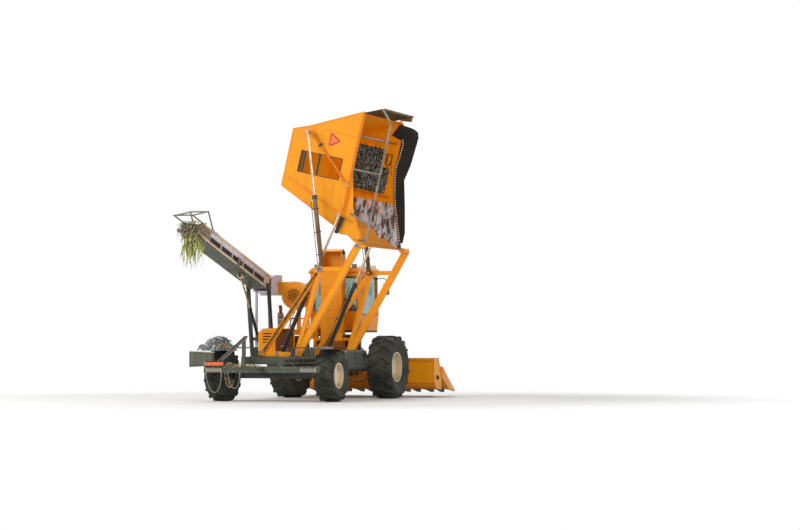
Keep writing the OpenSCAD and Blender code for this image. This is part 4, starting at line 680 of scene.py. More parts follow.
def tyreShape(w, side):
    # carcass: a rounded outline carried round the axle; lugs: bars that run from the middle to the shoulder, each
    # point at radius(t) and across(t) with its angle lagging in proportion to t, left and right rows half a pitch apart
    r, seat, belly, bead = w["across"] / 2, w["seat"], w["wide"] / 2, w["wide"] * 0.36 - 24
    mid = (r + seat) / 2
    half = np.array([
        (bead, seat + 0.4), (bead + 4, seat + 26), (bead + 22, seat + 62), (belly - 34, mid - 20),
        (belly - 14, mid + 50), (belly - 30, r - 120), (belly - 78, r - 68), (belly - 150, r - 50), (60, r - 44)])
    outline = smoothPath(np.concatenate([half * [-1, 1], half[::-1]]), 3)
    outline[:, 1] = np.minimum(outline[:, 1], r - 42)
    angle = np.linspace(0, 2 * math.pi, 96, endpoint=False)
    centre = station(w["x"], side * w["y"], r)

    def roundAxle(radius, across, turn=angle):
        return centre + np.stack(np.broadcast_arrays(radius * np.cos(turn), across, radius * np.sin(turn)), -1) / 1000

    carcass = roundAxle(outline[:, 1][:, None], outline[:, 0][:, None])
    t = np.linspace(0, 1, 10)[None, :, None]
    row = np.array([-1.0, 1.0]).repeat(w["lugs"])[:, None, None]
    first = np.tile(np.arange(w["lugs"]), 2) * 2 * math.pi / w["lugs"]
    first = first[:, None, None] + (row * side < 0) * math.pi / w["lugs"]
    top = np.array([0, 1, 1, 0])[None, None, :]  # foot, crown, crown, foot of the bar's four edges
    sign = np.array([-1, -1, 1, 1])[None, None, :]
    reach = -26 + t * (belly - 9 + 26)
    crown = np.interp(np.abs(reach), [0, belly - 118, belly - 46, belly - 9], [r - 0.5, r - 1.5, r - 15, r - 92])
    foot = crown - wheels["lugHigh"] - 10
    spread = np.where(top > 0, wheels["lugTop"], wheels["lugFoot"]) * (1.15 - 0.3 * t) / r
    turn = first + wheels["lugLag"] * t**1.35 + sign * spread
    high = np.where(top > 0, crown, foot)
    wide = row * np.where(top > 0, reach, np.minimum(reach, belly - 50))
    points = roundAxle(high, wide, turn)
    # two raised rings on each sidewall, above the rim's flange
    rings = []
    for s in (-1, 1):
        for radius, place in ((seat + 52, bead + 16), (mid + 8, belly - 25)):
            ring = circle(5.5, 8) + [s * place, radius]
            rings.append(tubes(roundAxle(ring[:, 1][:, None], ring[:, 0][:, None])[None], True))
    return joined([tubes(carcass[None], True), tubes(points[:w["lugs"]]), tubes(points[w["lugs"]:]), *rings])


def boltRing(centre, axis, radius, count, size, start=0.0):
    # hexagon heads on washers, set round a circle and facing along the axis
    basis = frameOf(axis)[0]
    a = np.arange(count) * 2 * math.pi / count + start
    spots = np.asarray(centre) + radius * (np.cos(a)[:, None] * basis[:, 0] + np.sin(a)[:, None] * basis[:, 1])
    return copies(boltHead(size), basis[None], spots)


def boltHead(size, washer=True):
    # a chamfered hexagon on a washer, standing on z = 0, with size across its flats
    r = size / 2 / math.cos(math.pi / 6)
    head = turnedForm([(0.12 * size, r), (0.6 * size, r), (0.72 * size, 0.8 * r)], (0, 0, 0), (0, 0, 1), 6)
    if not washer:
        return head
    disc = [(-0.1 * size, 0.98 * size), (0.1 * size, 0.98 * size), (0.14 * size, 0.9 * size)]
    return joined([head, turnedForm(disc, (0, 0, 0), (0, 0, 1), 14)])


def bolts(size, facing, places):
    # bolt heads at places, all with one facing or with one each
    return copies(boltHead(size), frameOf(facing), places)


for place, w in (("front", wheels["front"]), ("rear", wheels["rear"])):
    for hand, side in (("left", 1), ("right", -1)):
        body = f"{place}_{hand}_wheel"
        piece(f"{place}_{hand}_lugged_tyre", tyreShape(w, side), "tyre", body, 32, stands=(f"{place}_{hand}_tyre",))
        axle = (0, side, 0)
        face = station(w["x"], side * (w["y"] + 40), w["across"] / 2)
        nuts = boltRing(face, axle, 0.155, w["rimBolts"], 0.034)
        valveAt = station(w["x"], side * (w["y"] + 62), w["across"] / 2 + w["seat"] * 0.8)
        valve = turnedForm([
            (0, 0.009), (0.02, 0.009), (0.022, 0.006), (0.06, 0.006), (0.062, 0.008), (0.075, 0.008)], valveAt,
            (0, side * 0.8, -0.6), 10)
        piece(f"{place}_{hand}_wheel_nuts", [nuts, valve], "bolt", body)
        cap = turnedForm([
            (-0.004, 0.118), (0.018, 0.118), (0.026, 0.1), (0.03, 0.09), (0.07, 0.084), (0.082, 0.07), (0.086, 0.03),
            (0.086, 0.0005)], face, axle, 40)
        ribs = copies(
            boltHead(0.018, False), frameOf(axle), face + np.stack([
                0.105 * np.cos(np.arange(6) * math.pi / 3), np.zeros(6), 0.105 * np.sin(np.arange(6) * math.pi / 3)],
                -1) + np.array([0, side * 0.018, 0]))
        piece(f"{place}_{hand}_hub_cap", [cap, ribs], "cream", body, 35)
print("wheels done")

# scuffed inside of the bin's front wall
def wallFinish():
    # orange paint as on the nodes; inside the front wall the paint is scraped to pale grey beyond a ragged line across
    # the wall, with dark streaks along the slide; the wall's own across and up come from the turned bin's frame
    g = paintedSteel("binWallPaint", (240, 146, 2), (234, 150, 12), (176, 116, 40), (96, 66, 40), 0.9, 0.3)
    paint = g.now("Base Color")
    x, y, z = g.parts(g.where)
    dy = g.plus(y, -float(inBin(binWide, binHigh, 0)[1]))
    dz = g.plus(z, -hingeUp / 1000)
    c, s = math.cos(binTip), math.sin(binTip)
    u = g.minus(binWide / 1000, g.plus(g.times(dy, c), g.times(dz, s)))
    v = g.plus(binHigh / 1000, g.minus(g.times(dz, c), g.times(dy, s)))
    flat = g.add("CombineXYZ", i0=u, i1=v, i2=0.0).outputs[0]
    ragged = g.noise(g.stretched(flat, (3.0, 14.0, 1.0)), 1.0, 6, 0.7)
    inside = g.times(g.span(x, 0.05, 0.1), g.span(g.parts(g.normal)[0], -0.3, -0.6))
    edge = g.plus(u, g.times(g.minus(ragged, 0.5), 0.5))
    scuff = g.times(g.span(edge, 1.5, 1.58), inside)
    thin = g.noise(g.stretched(flat, (6.0, 60.0, 1.0)), 1.0, 4, 0.7)
    streak = g.span(g.noise(g.stretched(flat, (2.2, 13.0, 1.0)), 1.0, 5, 0.65, 0.6), 0.5, 0.62)
    pale = g.blend(thin, (232, 246, 255), (172, 190, 204))
    grime = g.times(g.span(g.noise(g.stretched(flat, (2.0, 4.6, 1.0)), 1.0, 5, 0.7), 0.47, 0.55), 0.9)
    mark = g.blend(g.most(streak, grime), pale, (52, 46, 38))
    left = g.times(g.span(g.noise(g.stretched(flat, (3.4, 9.0, 1.0)), 1.3, 4, 0.7), 0.56, 0.6), g.span(edge, 2.4, 1.7))
    mark = g.blend(left, mark, (236, 140, 12))
    dusty = g.times(inside, g.span(g.noise(flat, 2.6, 5, 0.65), 0.45, 0.75, (0.0, 0.45)))
    g.set(Base_Color=g.blend(scuff, g.blend(dusty, paint, (176, 104, 22)), mark))
    rough = g.now("Roughness")
    g.set(Roughness=g.plus(rough, g.times(scuff, 0.25), clamp=True))
    return g


coat("bin_ends", wallFinish())
print("bin wall finished")

# bin
binSet = {
    "creaseHigh": 9, "triangleRim": 34, "screenPitch": 10, "screenWire": 3.6, "beltBolts": 74, "boltSize": 0.026,
    "rearWindow": ((520, 350), (1120, 1615)), "frontWindows": (((550, 700), (1250, 1850)), ((20, 800), (530, 1570))),
}
frontIn = binLong - 12  # inner face of the front wall


def binBar(p, q, wide, low, high, edge=2.5):
    # a straight bar of a wall's plane between two points, from one depth to another
    p, q = np.array(p, float), np.array(q, float)
    d = unit(q - p)
    n = leftOf(d) * wide / 2
    return slab([p - n, q - n, q + n, p + n], low, high, inBin, edge)


def sidesOf(low, high, lap=0):
    # the sides of a rectangle, left, right, bottom and top; the upright ones run past it by lap
    (x0, y0), (x1, y1) = low, high
    return (((x0, y0 - lap), (x0, y1 + lap)), ((x1, y0 - lap), (x1, y1 + lap)), ((x0, y0), (x1, y0)),
            ((x0, y1), (x1, y1)))


def binFrame(low, high, wide, near, far, lap=0):
    return [binBar(a, b, wide, near, far) for a, b in sidesOf(low, high, lap)]


def binBolts(spots, w, facing, size):
    # bolt heads at (u, v) spots on a wall, facing back (-1) or forward (1) along the machine
    spots = np.asarray(spots, float)
    return bolts(size, (facing, 0, 0), inBin(spots[:, 0], spots[:, 1], w))


def along(p, q, pitch, margin=0.0):
    # evenly spaced spots on the line between two points
    p, q = np.array(p, float), np.array(q, float)
    long = np.linalg.norm(q - p)
    n = max(2, int(round((long - 2 * margin) / pitch)) + 1)
    t = np.linspace(margin / long, 1 - margin / long, n)[:, None]
    return p + (q - p) * t


# folded crease and pressed seams of the rear wall
crease = smoothPath(inBin([-38, -182, -168, -149], [823, 975, 1400, 1950], -1.0), 3)
fold = swept(crease, ridgeOutline(0.012, 0.004, -0.002, binSet["creaseHigh"] / 1000), up=(-1, 0, 0))
seams = [swept(inBin([a, b], [c, d], -0.5), ridgeOutline(0.007, 0.003, -0.001, 0.004), up=(-1, 0, 0))
         for a, c, b, d in ((1130, 690, 1560, 660), (1150, 1560, 1560, 1500), (20, 30, 20, 760))]
piece("rear_wall_folds", [fold, *seams], "orange", "bin")

# border of the slow-vehicle triangle: three mitred strips with cut corners
tri = np.array([(-146, 1120), (258, 1120), (56, 1460)], float)
innerTri = inset(tri, binSet["triangleRim"])
strips = []
for k in range(3):
    a, b = tri[k], tri[(k + 1) % 3]
    c, d = innerTri[(k + 1) % 3], innerTri[k]
    cut = 0.06
    strips.append(slab([a + (b - a) * cut, b + (a - b) * cut, c, d], -14.5, -12.2, inBin, 0.6))
piece("triangle_border", strips, "redRim", "bin")
piece("triangle_rivets", binBolts([(-96, 1148), (208, 1148), (56, 1398)], -12.2, -1, 0.012), "bolt", "bin")

# clamp on the slanted brace, with its strap and nuts
braceA, braceB = np.array([-90.0, 510.0]), np.array([1238.0, 1950.0])
braceDir = unit(braceB - braceA)
clampAt = braceA + braceDir * 520
braceSide = leftOf(braceDir)
piece("brace_clamp", [
    binBar(clampAt - braceDir * 32, clampAt + braceDir * 32, 96, -44, -2),
    binBar(clampAt - braceDir * 12, clampAt + braceDir * 12, 124, -52, -30),
    binBolts([clampAt + 52 * braceSide, clampAt - 52 * braceSide], -52, -1, 0.022)], "blackBarrel", "bin")
piece("brace_end_plates", [
    binBar(braceA - braceDir * 10, braceA + braceDir * 130, 120, -34, -1),
    binBar(braceB - braceDir * 130, braceB + braceDir * 10, 120, -34, -1)], "oldOrange", "bin")
braceSpots = np.concatenate([along(braceA + braceDir * 20, braceA + braceDir * 110, 45),
                             along(braceB - braceDir * 110, braceB - braceDir * 20, 45)])
piece("brace_bolts", binBolts(braceSpots, -34, -1, 0.03), "bolt", "bin")

# black channel beside the right cylinder, with its pale edge
piece("black_channel", slab([(2096, 1942), (2570, 1846), (2584, 1934), (2104, 2046)], -58, -1, inBin, 4),
      "blackBarrel", "bin")
piece("channel_edge", slab([(2104, 2048), (2578, 1937), (2582, 1954), (2108, 2066)], -62, -1, inBin, 2), "oldBarrel",
      "bin")

# folded gusset at the dump corner and the stiffening lip beside it
piece("dump_gusset", [
    slab([(2005, 2318), (2600, 2470), (2748, 2742), (2690, 2748)], -14, -0.5, inBin, 2.5),
    binBar((2005, 2318), (2720, 2745), 26, -34, -0.5), binBar((2600, 2460), (2752, 2735), 22, -30, -0.5)], "orange",
    "bin")

# deep frame of the rear window: four flanges that stand into the bin, and a dark strip round its rim that paints the
# recess's shadow line
(lowU, lowV), (highU, highV) = binSet["rearWindow"]
piece("rear_window_flanges", binFrame((lowU - 12, lowV - 12), (highU + 12, highV + 12), 22, 12.4, 64), "insideOrange",
      "bin")
piece("rear_window_trim", binFrame((lowU, lowV), (highU, highV), 20, -8, -0.6, 8), "blackBarrel", "bin")

# the slats are black as painted shade of the recessed window
piece("rear_window_slats", [
    boxShape((lowU - 4, v, -3), (highU + 4, v + wide, 40), inBin, 1)
    for v, wide in ((372, 26), (446, 48), (901, 48))], "blackBarrel", "bin")

# woven wire over the front windows, rims round them and the leaves caught in them
wires, rims, rimBolts = [], [], []
for (u0, v0), (u1, v1) in binSet["frontWindows"]:
    pitch = binSet["screenPitch"]
    us, vs = np.arange(u0 + pitch / 2, u1, pitch), np.arange(v0 + pitch / 2, v1, pitch)
    w = frontIn + 4.0
    wires.append(rodsBetween(inBin(us, v0 - 6, w), inBin(us, v1 + 6, w), binSet["screenWire"] / 1000, 4))
    wires.append(rodsBetween(inBin(u0 - 6, vs, w + 2.4), inBin(u1 + 6, vs, w + 2.4), binSet["screenWire"] / 1000, 4))
    rims += binFrame((u0, v0), (u1, v1), 46, frontIn - 12, frontIn - 0.6)
    rimBolts += [along(a, b, 150, 40) for a, b in sidesOf((u0, v0), (u1, v1))]
# the wire is near-black as painted shade seen through the windows
piece("window_wire", wires, "rubber", "bin", 60, slot=None)
piece("window_rims", rims, "blackBarrel", "bin")
piece("window_rim_bolts", binBolts(np.concatenate(rimBolts), frontIn - 12, -1, 0.02), "bolt", "bin")

# leaves caught in the wire
rng = np.random.default_rng(5)
for key, count, (u0, v0), (u1, v1) in (
        ("shadeLeaf", 560, (560, 710), (1240, 1840)), ("greenLeaf", 26, (560, 1000), (1240, 1840)),
        ("shadeLeaf", 330, (30, 810), (520, 1560)), ("strawLeaf", 12, (30, 810), (520, 1560))):
    spots = inBin(rng.uniform(u0, u1, count), rng.uniform(v0, v1, count), frontIn + rng.uniform(-8, -1, count))
    ways = inBin(*rng.normal(0, 400, (2, count)), rng.normal(0, 12, count)) - inBin(0, 0, 0)
    caught = looseLeaves(rng, spots, ways, (0.07, 0.2), (0.016, 0.042), 0.02, 0.2, 0.3, 6)
    piece(f"caught_leaves_{count}", caught, key, "bin", 60)

# ledge and pipe struts on the front wall, seen through the open top
piece("inner_ledge", swept(
          inBin([1345, 1345], [700, 2080], frontIn - 1),
          [(-0.045, 0.0), (-0.045, 0.008), (-0.008, 0.008), (-0.008, 0.055), (0.0, 0.055), (0.0, 0.0)],
          up=(-1, 0, 0)), "insideOrange", "bin")
piece("inner_strut", [
    rodsBetween(inBin(-225, 700, frontIn - 40), inBin(-225, 1960, frontIn - 40), 0.022, 12),
    rodsBetween(inBin([-225, -225], [720, 1900], frontIn - 40), inBin([-225, -225], [720, 1900], frontIn - 1), 0.014,
                8)], "pipe", "bin", 40, slot="lilac_paint")

# work lamp in a bracket beside the upper window, and its lead along the wall
piece("bin_lamp_bracket", binFrame((110, 1735), (415, 1890), 16, frontIn - 34, frontIn - 0.6), "blackBarrel", "bin")
piece("bin_lamp", [
    swept(inBin(np.linspace(190, 350, 9), 1812 + 26 * np.sin(np.linspace(0, math.pi, 9)), frontIn - 42),
          circle(0.03, 14), up=(-1, 0, 0),
          scale=np.array([[0.35, 0.7, 0.95, 1, 1, 1, 0.95, 0.7, 0.35]]).T.repeat(2, 1)),
    turnedForm([(0, 0.03), (0.012, 0.034), (0.04, 0.03), (0.044, 0.0005)], inBin(270, 1838, frontIn - 60), (-1, 0, 0),
        20)], "yellowPlastic", "bin", 40)
lead = smoothPath(inBin([330, 430, 470, 560, 640, 700], [1850, 1900, 1940, 1925, 1960, 1990], frontIn - 7), 5)
piece("bin_lamp_lead", swept(lead, circle(0.005, 8), up=(-1, 0, 0)), "rubber", "bin", 60, slot=None)

# rubber belting: a wavy skin over the plain sheet and the row of bright bolts
# the belting's left end runs over the front wall's top corner, where its black also stands for painted shade under the
# hood
beltEdge = smoothPath([
    (-440, 1750), (-352, 2078), (60, 2092), (521, 2056), (1093, 2156), (1514, 2268), (2149, 2494), (2535, 2640)], 10)
beltFar = smoothPath([
    (-800, 1950), (-735, 2385), (-540, 2548), (294, 2490), (761, 2393), (1460, 2572), (2248, 2752), (2550, 2742)], 10)


def beltSkin():
    # rows run from the bolted edge to the free edge; depth waves along the belt and grows towards the free edge
    t = np.linspace(0, 1, 11)[:, None, None]
    flat = beltEdge[None] * (1 - t) + beltFar[None] * t
    s = np.linspace(0, 1, len(beltEdge))[None]
    wave = (np.sin(s * 19 + t[..., 0] * 2.2) * 8 + np.sin(s * 43 + 1.1) * 3) * t[..., 0] ** 1.5
    ragged = (np.sin(s * 61) * 5 + np.sin(s * 137 + 2) * 4) * (t[..., 0] > 0.98)
    front = inBin(flat[..., 0], flat[..., 1] + ragged, frontIn - 24 - np.abs(wave))
    back = inBin(flat[..., 0], flat[..., 1] + ragged, frontIn - 14.4)
    n, m = front.shape[:2]
    top, under = gridFaces(n, m), gridFaces(n, m)[:, ::-1] + n * m
    ring = rimOf(n, m)
    sides = np.stack([ring, np.roll(ring, -1), np.roll(ring, -1) + n * m, ring + n * m], -1)
    return outward((np.concatenate([front.reshape(-1, 3), back.reshape(-1, 3)]), [top, under, sides[:, ::-1]]))


piece("belting_skin", beltSkin(), "rubber", "bin", 50)
run = np.concatenate([[0], np.cumsum(np.linalg.norm(np.diff(beltEdge[:, :2], axis=0), axis=1))])
s = np.arange(40, run[-1] - 30, binSet["beltBolts"])
boltSpots = np.stack([np.interp(s, run, beltEdge[:, 0]), np.interp(s, run, beltEdge[:, 1]) + 26], -1)
boltSpots = boltSpots[boltSpots[:, 1] > 2070]
piece("belting_bolts", binBolts(boltSpots, frontIn - 25, -1, binSet["boltSize"]), "brightBolt", "bin")

# edge angle and end box of the brown hood
hoodLong = binLong - 680
hoodTop = (-1070.0, 2490.0)
edgeStrip = swept(
    inBin([hoodTop[0] + 2, hoodTop[0] + 2], [hoodTop[1] + 6, hoodTop[1] + 6], [0, hoodLong]),
    bandOutline(0.034, -0.016, 0.016), up=(0, 0.3, 1))
hemBox = slab([(-1066, 2502), (-921, 2502), (-895, 2189), (-948, 2186)], hoodLong - 130, hoodLong - 4, inBin, 4)
piece("hood_edge", [edgeStrip, hemBox], "oldBarrel", "bin")

# welds and bolts along the rim bars and the lifting bosses
rimSpots = along((-820, 1985), (1940, 1975), 230)
piece("rim_bolts", binBolts(rimSpots, -28, -1, 0.026), "orange", "bin", slot=None)
piece("boss_welds", [
    turnedForm([(-0.004, 0.128), (0.006, 0.124), (0.014, 0.116), (0.016, 0.112)], inBin(u, v, w), (side, 0, 0), 36)
    for u, v in ((-20, 530), (2060, 1920)) for w, side in ((-20, -1), (binLong + 20, 1))], "orange", "bin")
print("bin done")

# trash conveyor
conveyor = {"right": 1715.0, "wide": 580.0, "low": -40.0, "high": 390.0, "panelPitch": 800, "hangingLeaves": 37}
convLeft = conveyor["right"] + conveyor["wide"]
midUp = (conveyor["low"] + conveyor["high"]) / 2


def beside(a, b, c):
    return onConveyor(a, c, b)  # outline in the conveyor's side plane, drawn out across


# side panels between the rails, in lengths with lapped joints, over black strips that fill the gap below them as
# painted shade
panels, gapStrips, rivets = [], [], []
for y0, y1, face in ((1717.0, 1734.6, -1), (convLeft - 19.6, convLeft - 2.0, 1)):
    starts = np.arange(-4230, -300, conveyor["panelPitch"])
    for k, x in enumerate(starts):
        x1 = min(x + conveyor["panelPitch"] - 62, -160)
        panels.append(
            slab([(x + 6, 176), (x1 - 6, 176), (x1, 188), (x1, 322), (x1 - 6, 329), (x + 6, 329), (x, 322), (x, 188)],
                y0 + (3 if face < 0 else 0), y1 - (0 if face < 0 else 3), beside, 2))
        gapStrips.append(
            boxShape((x + 4, 24, y0 + (12 if face < 0 else 0)), (x1 - 4, 170, y1 - (0 if face < 0 else 12)), beside,
                     1))
        spots = np.concatenate([along((x + 30, 200), (x1 - 30, 200), 160), along((x + 30, 308), (x1 - 30, 308), 160)])
        rivets.append(bolts(0.014, (0, face, 0), onConveyor(spots[:, 0], y0 + 3 if face < 0 else y1 - 3, spots[:, 1])))
piece("conveyor_side_panels", panels, "lilac", "conveyor")
piece("conveyor_gap_strips", gapStrips, "rubber", "conveyor")
piece("conveyor_panel_rivets", rivets, "bolt", "conveyor")

# folded lips of the four rails, and the dusty bracket on the right side
lips = []
for y, face in ((conveyor["right"], -1), (convLeft, 1)):
    for z in (conveyor["low"] + 30, conveyor["high"] - 30):
        lips.append(swept(onConveyor([-4800, 100], y, z), bandOutline(0.003, -0.026, 0.026)))
piece("rail_lips", lips, "cream", "conveyor")
piece("conveyor_bracket", [
    boxShape((-2290, 1690, -52), (-2130, 1714.5, 190), onConveyor, 3),
    boxShape((-2262, 1676, 10), (-2158, 1694, 120), onConveyor, 3),
    bolts(0.03, (0, -1, 0), onConveyor([-2266, -2154, -2266, -2154], 1690, [-28, -28, 168, 168]))], "pipe",
    "conveyor")

# head end: bearing housings, take-up screws, the drum's motor and the lagging of the drum
bearings = []
for y, face in ((conveyor["right"] + 13, -1), (convLeft - 13, 1)):
    hub = onConveyor(-convLong, y, midUp)
    bearings.append(
        turnedForm([(-0.012, 0.082), (0.004, 0.082), (0.01, 0.074), (0.022, 0.052), (0.034, 0.046), (0.036, 0.038)],
            hub, (0, face, 0), 30))
    bearings.append(boltRing(hub + np.array([0, face * 0.004, 0]), (0, face, 0), 0.066, 4, 0.022, 0.6))
    for z in (midUp + 62, midUp - 62):
        bearings.append(
            rodsBetween(onConveyor(-4700, y + face * 8, z), onConveyor(-4330, y + face * 8, z), 0.012, 10))
piece("head_bearings", bearings, "pipe", "conveyor")
piece("drum_motor", [
    turnedForm([(-0.004, 0.07), (0.03, 0.07), (0.034, 0.058), (0.12, 0.055), (0.126, 0.047), (0.16, 0.045),
                (0.164, 0.03)], onConveyor(-convLong, convLeft + 24, midUp), (0, 1, 0), 28),
    boltRing(onConveyor(-convLong, convLeft + 54, midUp), (0, 1, 0), 0.058, 4, 0.016, 0.8)], "blackBarrel",
    "conveyor", 35)
lag = np.arange(18) * math.pi / 9
piece("drum_lagging", rodsBetween(
          onConveyor(-convLong + 151 * np.cos(lag), conveyor["right"] + 46, midUp + 151 * np.sin(lag)),
          onConveyor(-convLong + 151 * np.cos(lag), convLeft - 46, midUp + 151 * np.sin(lag)), 0.0035, 5), "rubber",
      "conveyor_drum", 40)

# pressed ribs across the underside pan
ribsAt = np.arange(-4200, -150, 800.0)
# the ribs take the pan's dark green-grey, which is painted shade
piece("pan_ribs", [
    swept(onConveyor([x, x], [1742, convLeft - 28], conveyor["low"] - 1.0), ridgeOutline(0.03, 0.02, 0.001, -0.004),
          up=(0.27, 0, 0.96)) for x in ribsAt], "panGreen", "conveyor")

# leaves that hang over the drum and from the guard
rng = np.random.default_rng(7)
n = conveyor["hangingLeaves"]
y = rng.choice([1790.0, 1965.0, 2105.0, 2200.0], n, p=[0.3, 0.34, 0.26, 0.1]) + rng.normal(0, 15, n)
x = -convLong + rng.uniform(-165, 120, n)
z = midUp + rng.uniform(-175, -60, n)
roots = onConveyor(x, y, z)
hang = np.stack([rng.normal(-0.05, 0.1, n), rng.normal(0.02, 0.1, n), rng.uniform(-1.0, -0.8, n)], -1)
tails = looseLeaves(rng, roots, hang, (0.4, 1.05), (0.034, 0.08), (0.0, 0.12), 0.7, 1.6, 10)
m = 40
over = onConveyor(
    -convLong + rng.uniform(-200, 420, m), rng.uniform(1745, 2265, m), midUp + 172 + rng.uniform(6, 60, m))
lying = np.stack([rng.normal(-0.5, 0.5, m), rng.normal(0, 0.8, m), rng.normal(-0.05, 0.2, m)], -1)
piece("hanging_leaves", tails, "greenLeaf", "conveyor", 60)
piece("conveyor_leaves", looseLeaves(rng, over, lying, (0.2, 0.45), (0.025, 0.06), (0.05, 0.5), 0.3, 1, 7),
      "greenLeaf", "conveyor", 60)
print("conveyor done")

# rear end
rear = {"heapLeaves": 760, "stripLow": 1002, "stripHigh": 1096, "stripEnd": 1632}

# grey sheet box: pressed rim, bolts and stiffening swages
rim = []
for a, b in (
        ((1462, 1012), (2138, 974)), ((1462, 1350), (2138, 1378)), ((1462, 1012), (1462, 1350)),
        ((2138, 974), (2138, 1378))):
    rim.append(swept(station(-1621, [a[0], b[0]], [a[1], b[1]]), bandOutline(0.014, -0.002, 0.006), up=(-1, 0, 0)))
for y in (1630, 1800, 1970):
    rim.append(swept(station(-1636, y, [1045, 1310]), ridgeOutline(0.016, 0.006, -0.001, 0.005), up=(-1, 0, 0)))
piece("box_rim", rim, "boxGrey")
boxSpots = np.array([(y, z) for y in (1480, 1800, 2120) for z in (1030, 1330)], float)
piece("box_bolts", bolts(0.024, (-1, 0, 0), station(-1627, boxSpots[:, 0], boxSpots[:, 1])), "boxGrey")
# rail section along the box's top edge, dirty and lighter than the sheet
piece("box_top_rail", swept(station(-1560, [1440, 2148], [1362, 1392]), [
          (-0.066, -0.004), (0.066, -0.004), (0.066, 0.014), (0.05, 0.016), (-0.05, 0.016), (-0.066, 0.014)]),
      "cream", slot=None)

# orange-red reflector strip on its backing plate, with two stays down to the beam
piece("reflector_strip",
      boxShape((1108, rear["stripLow"], -1656), (rear["stripEnd"], rear["stripHigh"], -1652), crossways, 1), "strip")
piece("strip_end", boxShape((rear["stripEnd"] + 8, 990, -1655), (1708, 1120, -1651.9), crossways, 1), "pipe")
piece("reflector_backing", [
    boxShape((1086, 976, -1651.8), (1712, 1130, -1638), crossways, 2),
    *[boxShape((-1652, y, 975), (-1616, y + 46, 1020)) for y in (1130, 1390)]], "blackBarrel")

# marker lamps: ribbed lenses over the lamp blocks on the beam
piece("marker_lenses", [
    swept(station(-1651.5, [y0, y1], 875), ridgeOutline(0.045, 0.043, -0.001, 0.007), up=(-1, 0, 0))
    for y0, y1 in ((1196, 1624), (-1624, -1196))], "greyLens")

# small pale bracket and the stub beside it, on the beam
piece("pale_bracket", [
    boxShape((-1652, 596, 960), (-1610, 648, 1085)), boxShape((-1648, 575, 1052), (-1560, 668, 1066)),
    bolts(0.02, (-1, 0, 0), station(-1652, [622, 622], [985, 1040]))], "cream")

# bolts and welded gussets along the rear beam, and the clevis's wear plates
beamSpots = np.concatenate([along((-1640, 960), (1640, 960), 205), along((-1640, 830), (1640, 830), 410)])
beamSpots = beamSpots[(np.abs(beamSpots[:, 0]) > 110) & ((np.abs(beamSpots[:, 0]) < 1150) | (beamSpots[:, 1] > 900))]
piece("beam_bolts", bolts(0.025, (-1, 0, 0), station(-1620, beamSpots[:, 0], beamSpots[:, 1])), "pipe")
piece("beam_webs", [
    slab([(-1499.6, 985), (-1440, 985), (-1499.6, 1029)], y - 6, y + 6, sideways, 1)
    for y in (-1300, -900, -250, 250, 900, 1300)], "dark")
piece("clevis_rings", [
    turnedForm([(-0.0005, 0.021), (-0.0005, 0.038), (0.004, 0.038), (0.005, 0.034), (0.005, 0.021)],
        station(-1710, 0, z), (0, 0, s), 32, True) for z, s in ((965, 1), (825, -1))], "steel")

# heap of dry leaves over the left fender: blades laid over a low mound, flatter towards its rim
rng = np.random.default_rng(21)
n = rear["heapLeaves"]
a, t = rng.uniform(0, 2 * math.pi, n), np.sqrt(rng.uniform(0, 1, n))
hx, hy = -760 + 400 * t * np.cos(a), 1640 + 268 * t * np.sin(a)
top = 1524 + 285 * (1 - t**3) * rng.uniform(0.35, 1.0, n)
way = np.stack([rng.normal(0, 1, n) - 0.25, rng.normal(0, 1, n), rng.normal(-0.18, 0.2, n)], -1)
heap = looseLeaves(rng, station(hx, hy, top), way, (0.14, 0.34), (0.036, 0.08), (0.0, 0.35), 0.35, 0.9, 7)
points = heap[0]
floorUp = np.where(points[:, 0] * 1000 + midX < -1060, 1.452 + (points[:, 0] * 1000 + midX + 1220) / 160 * 0.06, 1.5235)
points[:, 2] = np.maximum(points[:, 2], floorUp)
inner, outer = (1352 - midY) / 1000, (1938 - midY) / 1000
points[:, 1] = np.clip(points[:, 1], inner - 0.01, outer + 0.01)
piece("dry_leaf_heap", heap, "dryLeaf", smooth=60)
core = np.stack(
    np.meshgrid(np.linspace(0.02, 1, 8), np.linspace(0, 2 * math.pi, 40, endpoint=False), indexing="ij"), -1)
bumps = 1 + 0.12 * np.sin(core[..., 1] * 5 + core[..., 0] * 9)
mound = station(
    -760 + 385 * core[..., 0] * np.cos(core[..., 1]), 1640 + 255 * core[..., 0] * np.sin(core[..., 1]),
    1523 + 225 * (1 - core[..., 0] ** 3) * bumps)
ground = station(
    -760 + 385 * core[-1, :, 0] * np.cos(core[-1, :, 1]), 1640 + 255 * core[-1, :, 0] * np.sin(core[-1, :, 1]),
    1522.6)
piece("dry_leaf_bed", tubes(np.concatenate([mound, ground[None]])[None]), "dryLeaf", smooth=60)
k = 80
spot = station(
    -1200 + rng.normal(0, 30, k).clip(-25, 60), 1440 + rng.normal(0, 80, k).clip(-110, 160),
    1500 + rng.uniform(0, 90, k))
piece("ripe_leaves", looseLeaves(
          rng, spot, rng.normal(0, 1, (k, 3)) * (1, 1, 0.15), (0.1, 0.2), (0.03, 0.06), (0, 0.2), 0.3, 0.8, 7),
      "ripeLeaf", smooth=60)
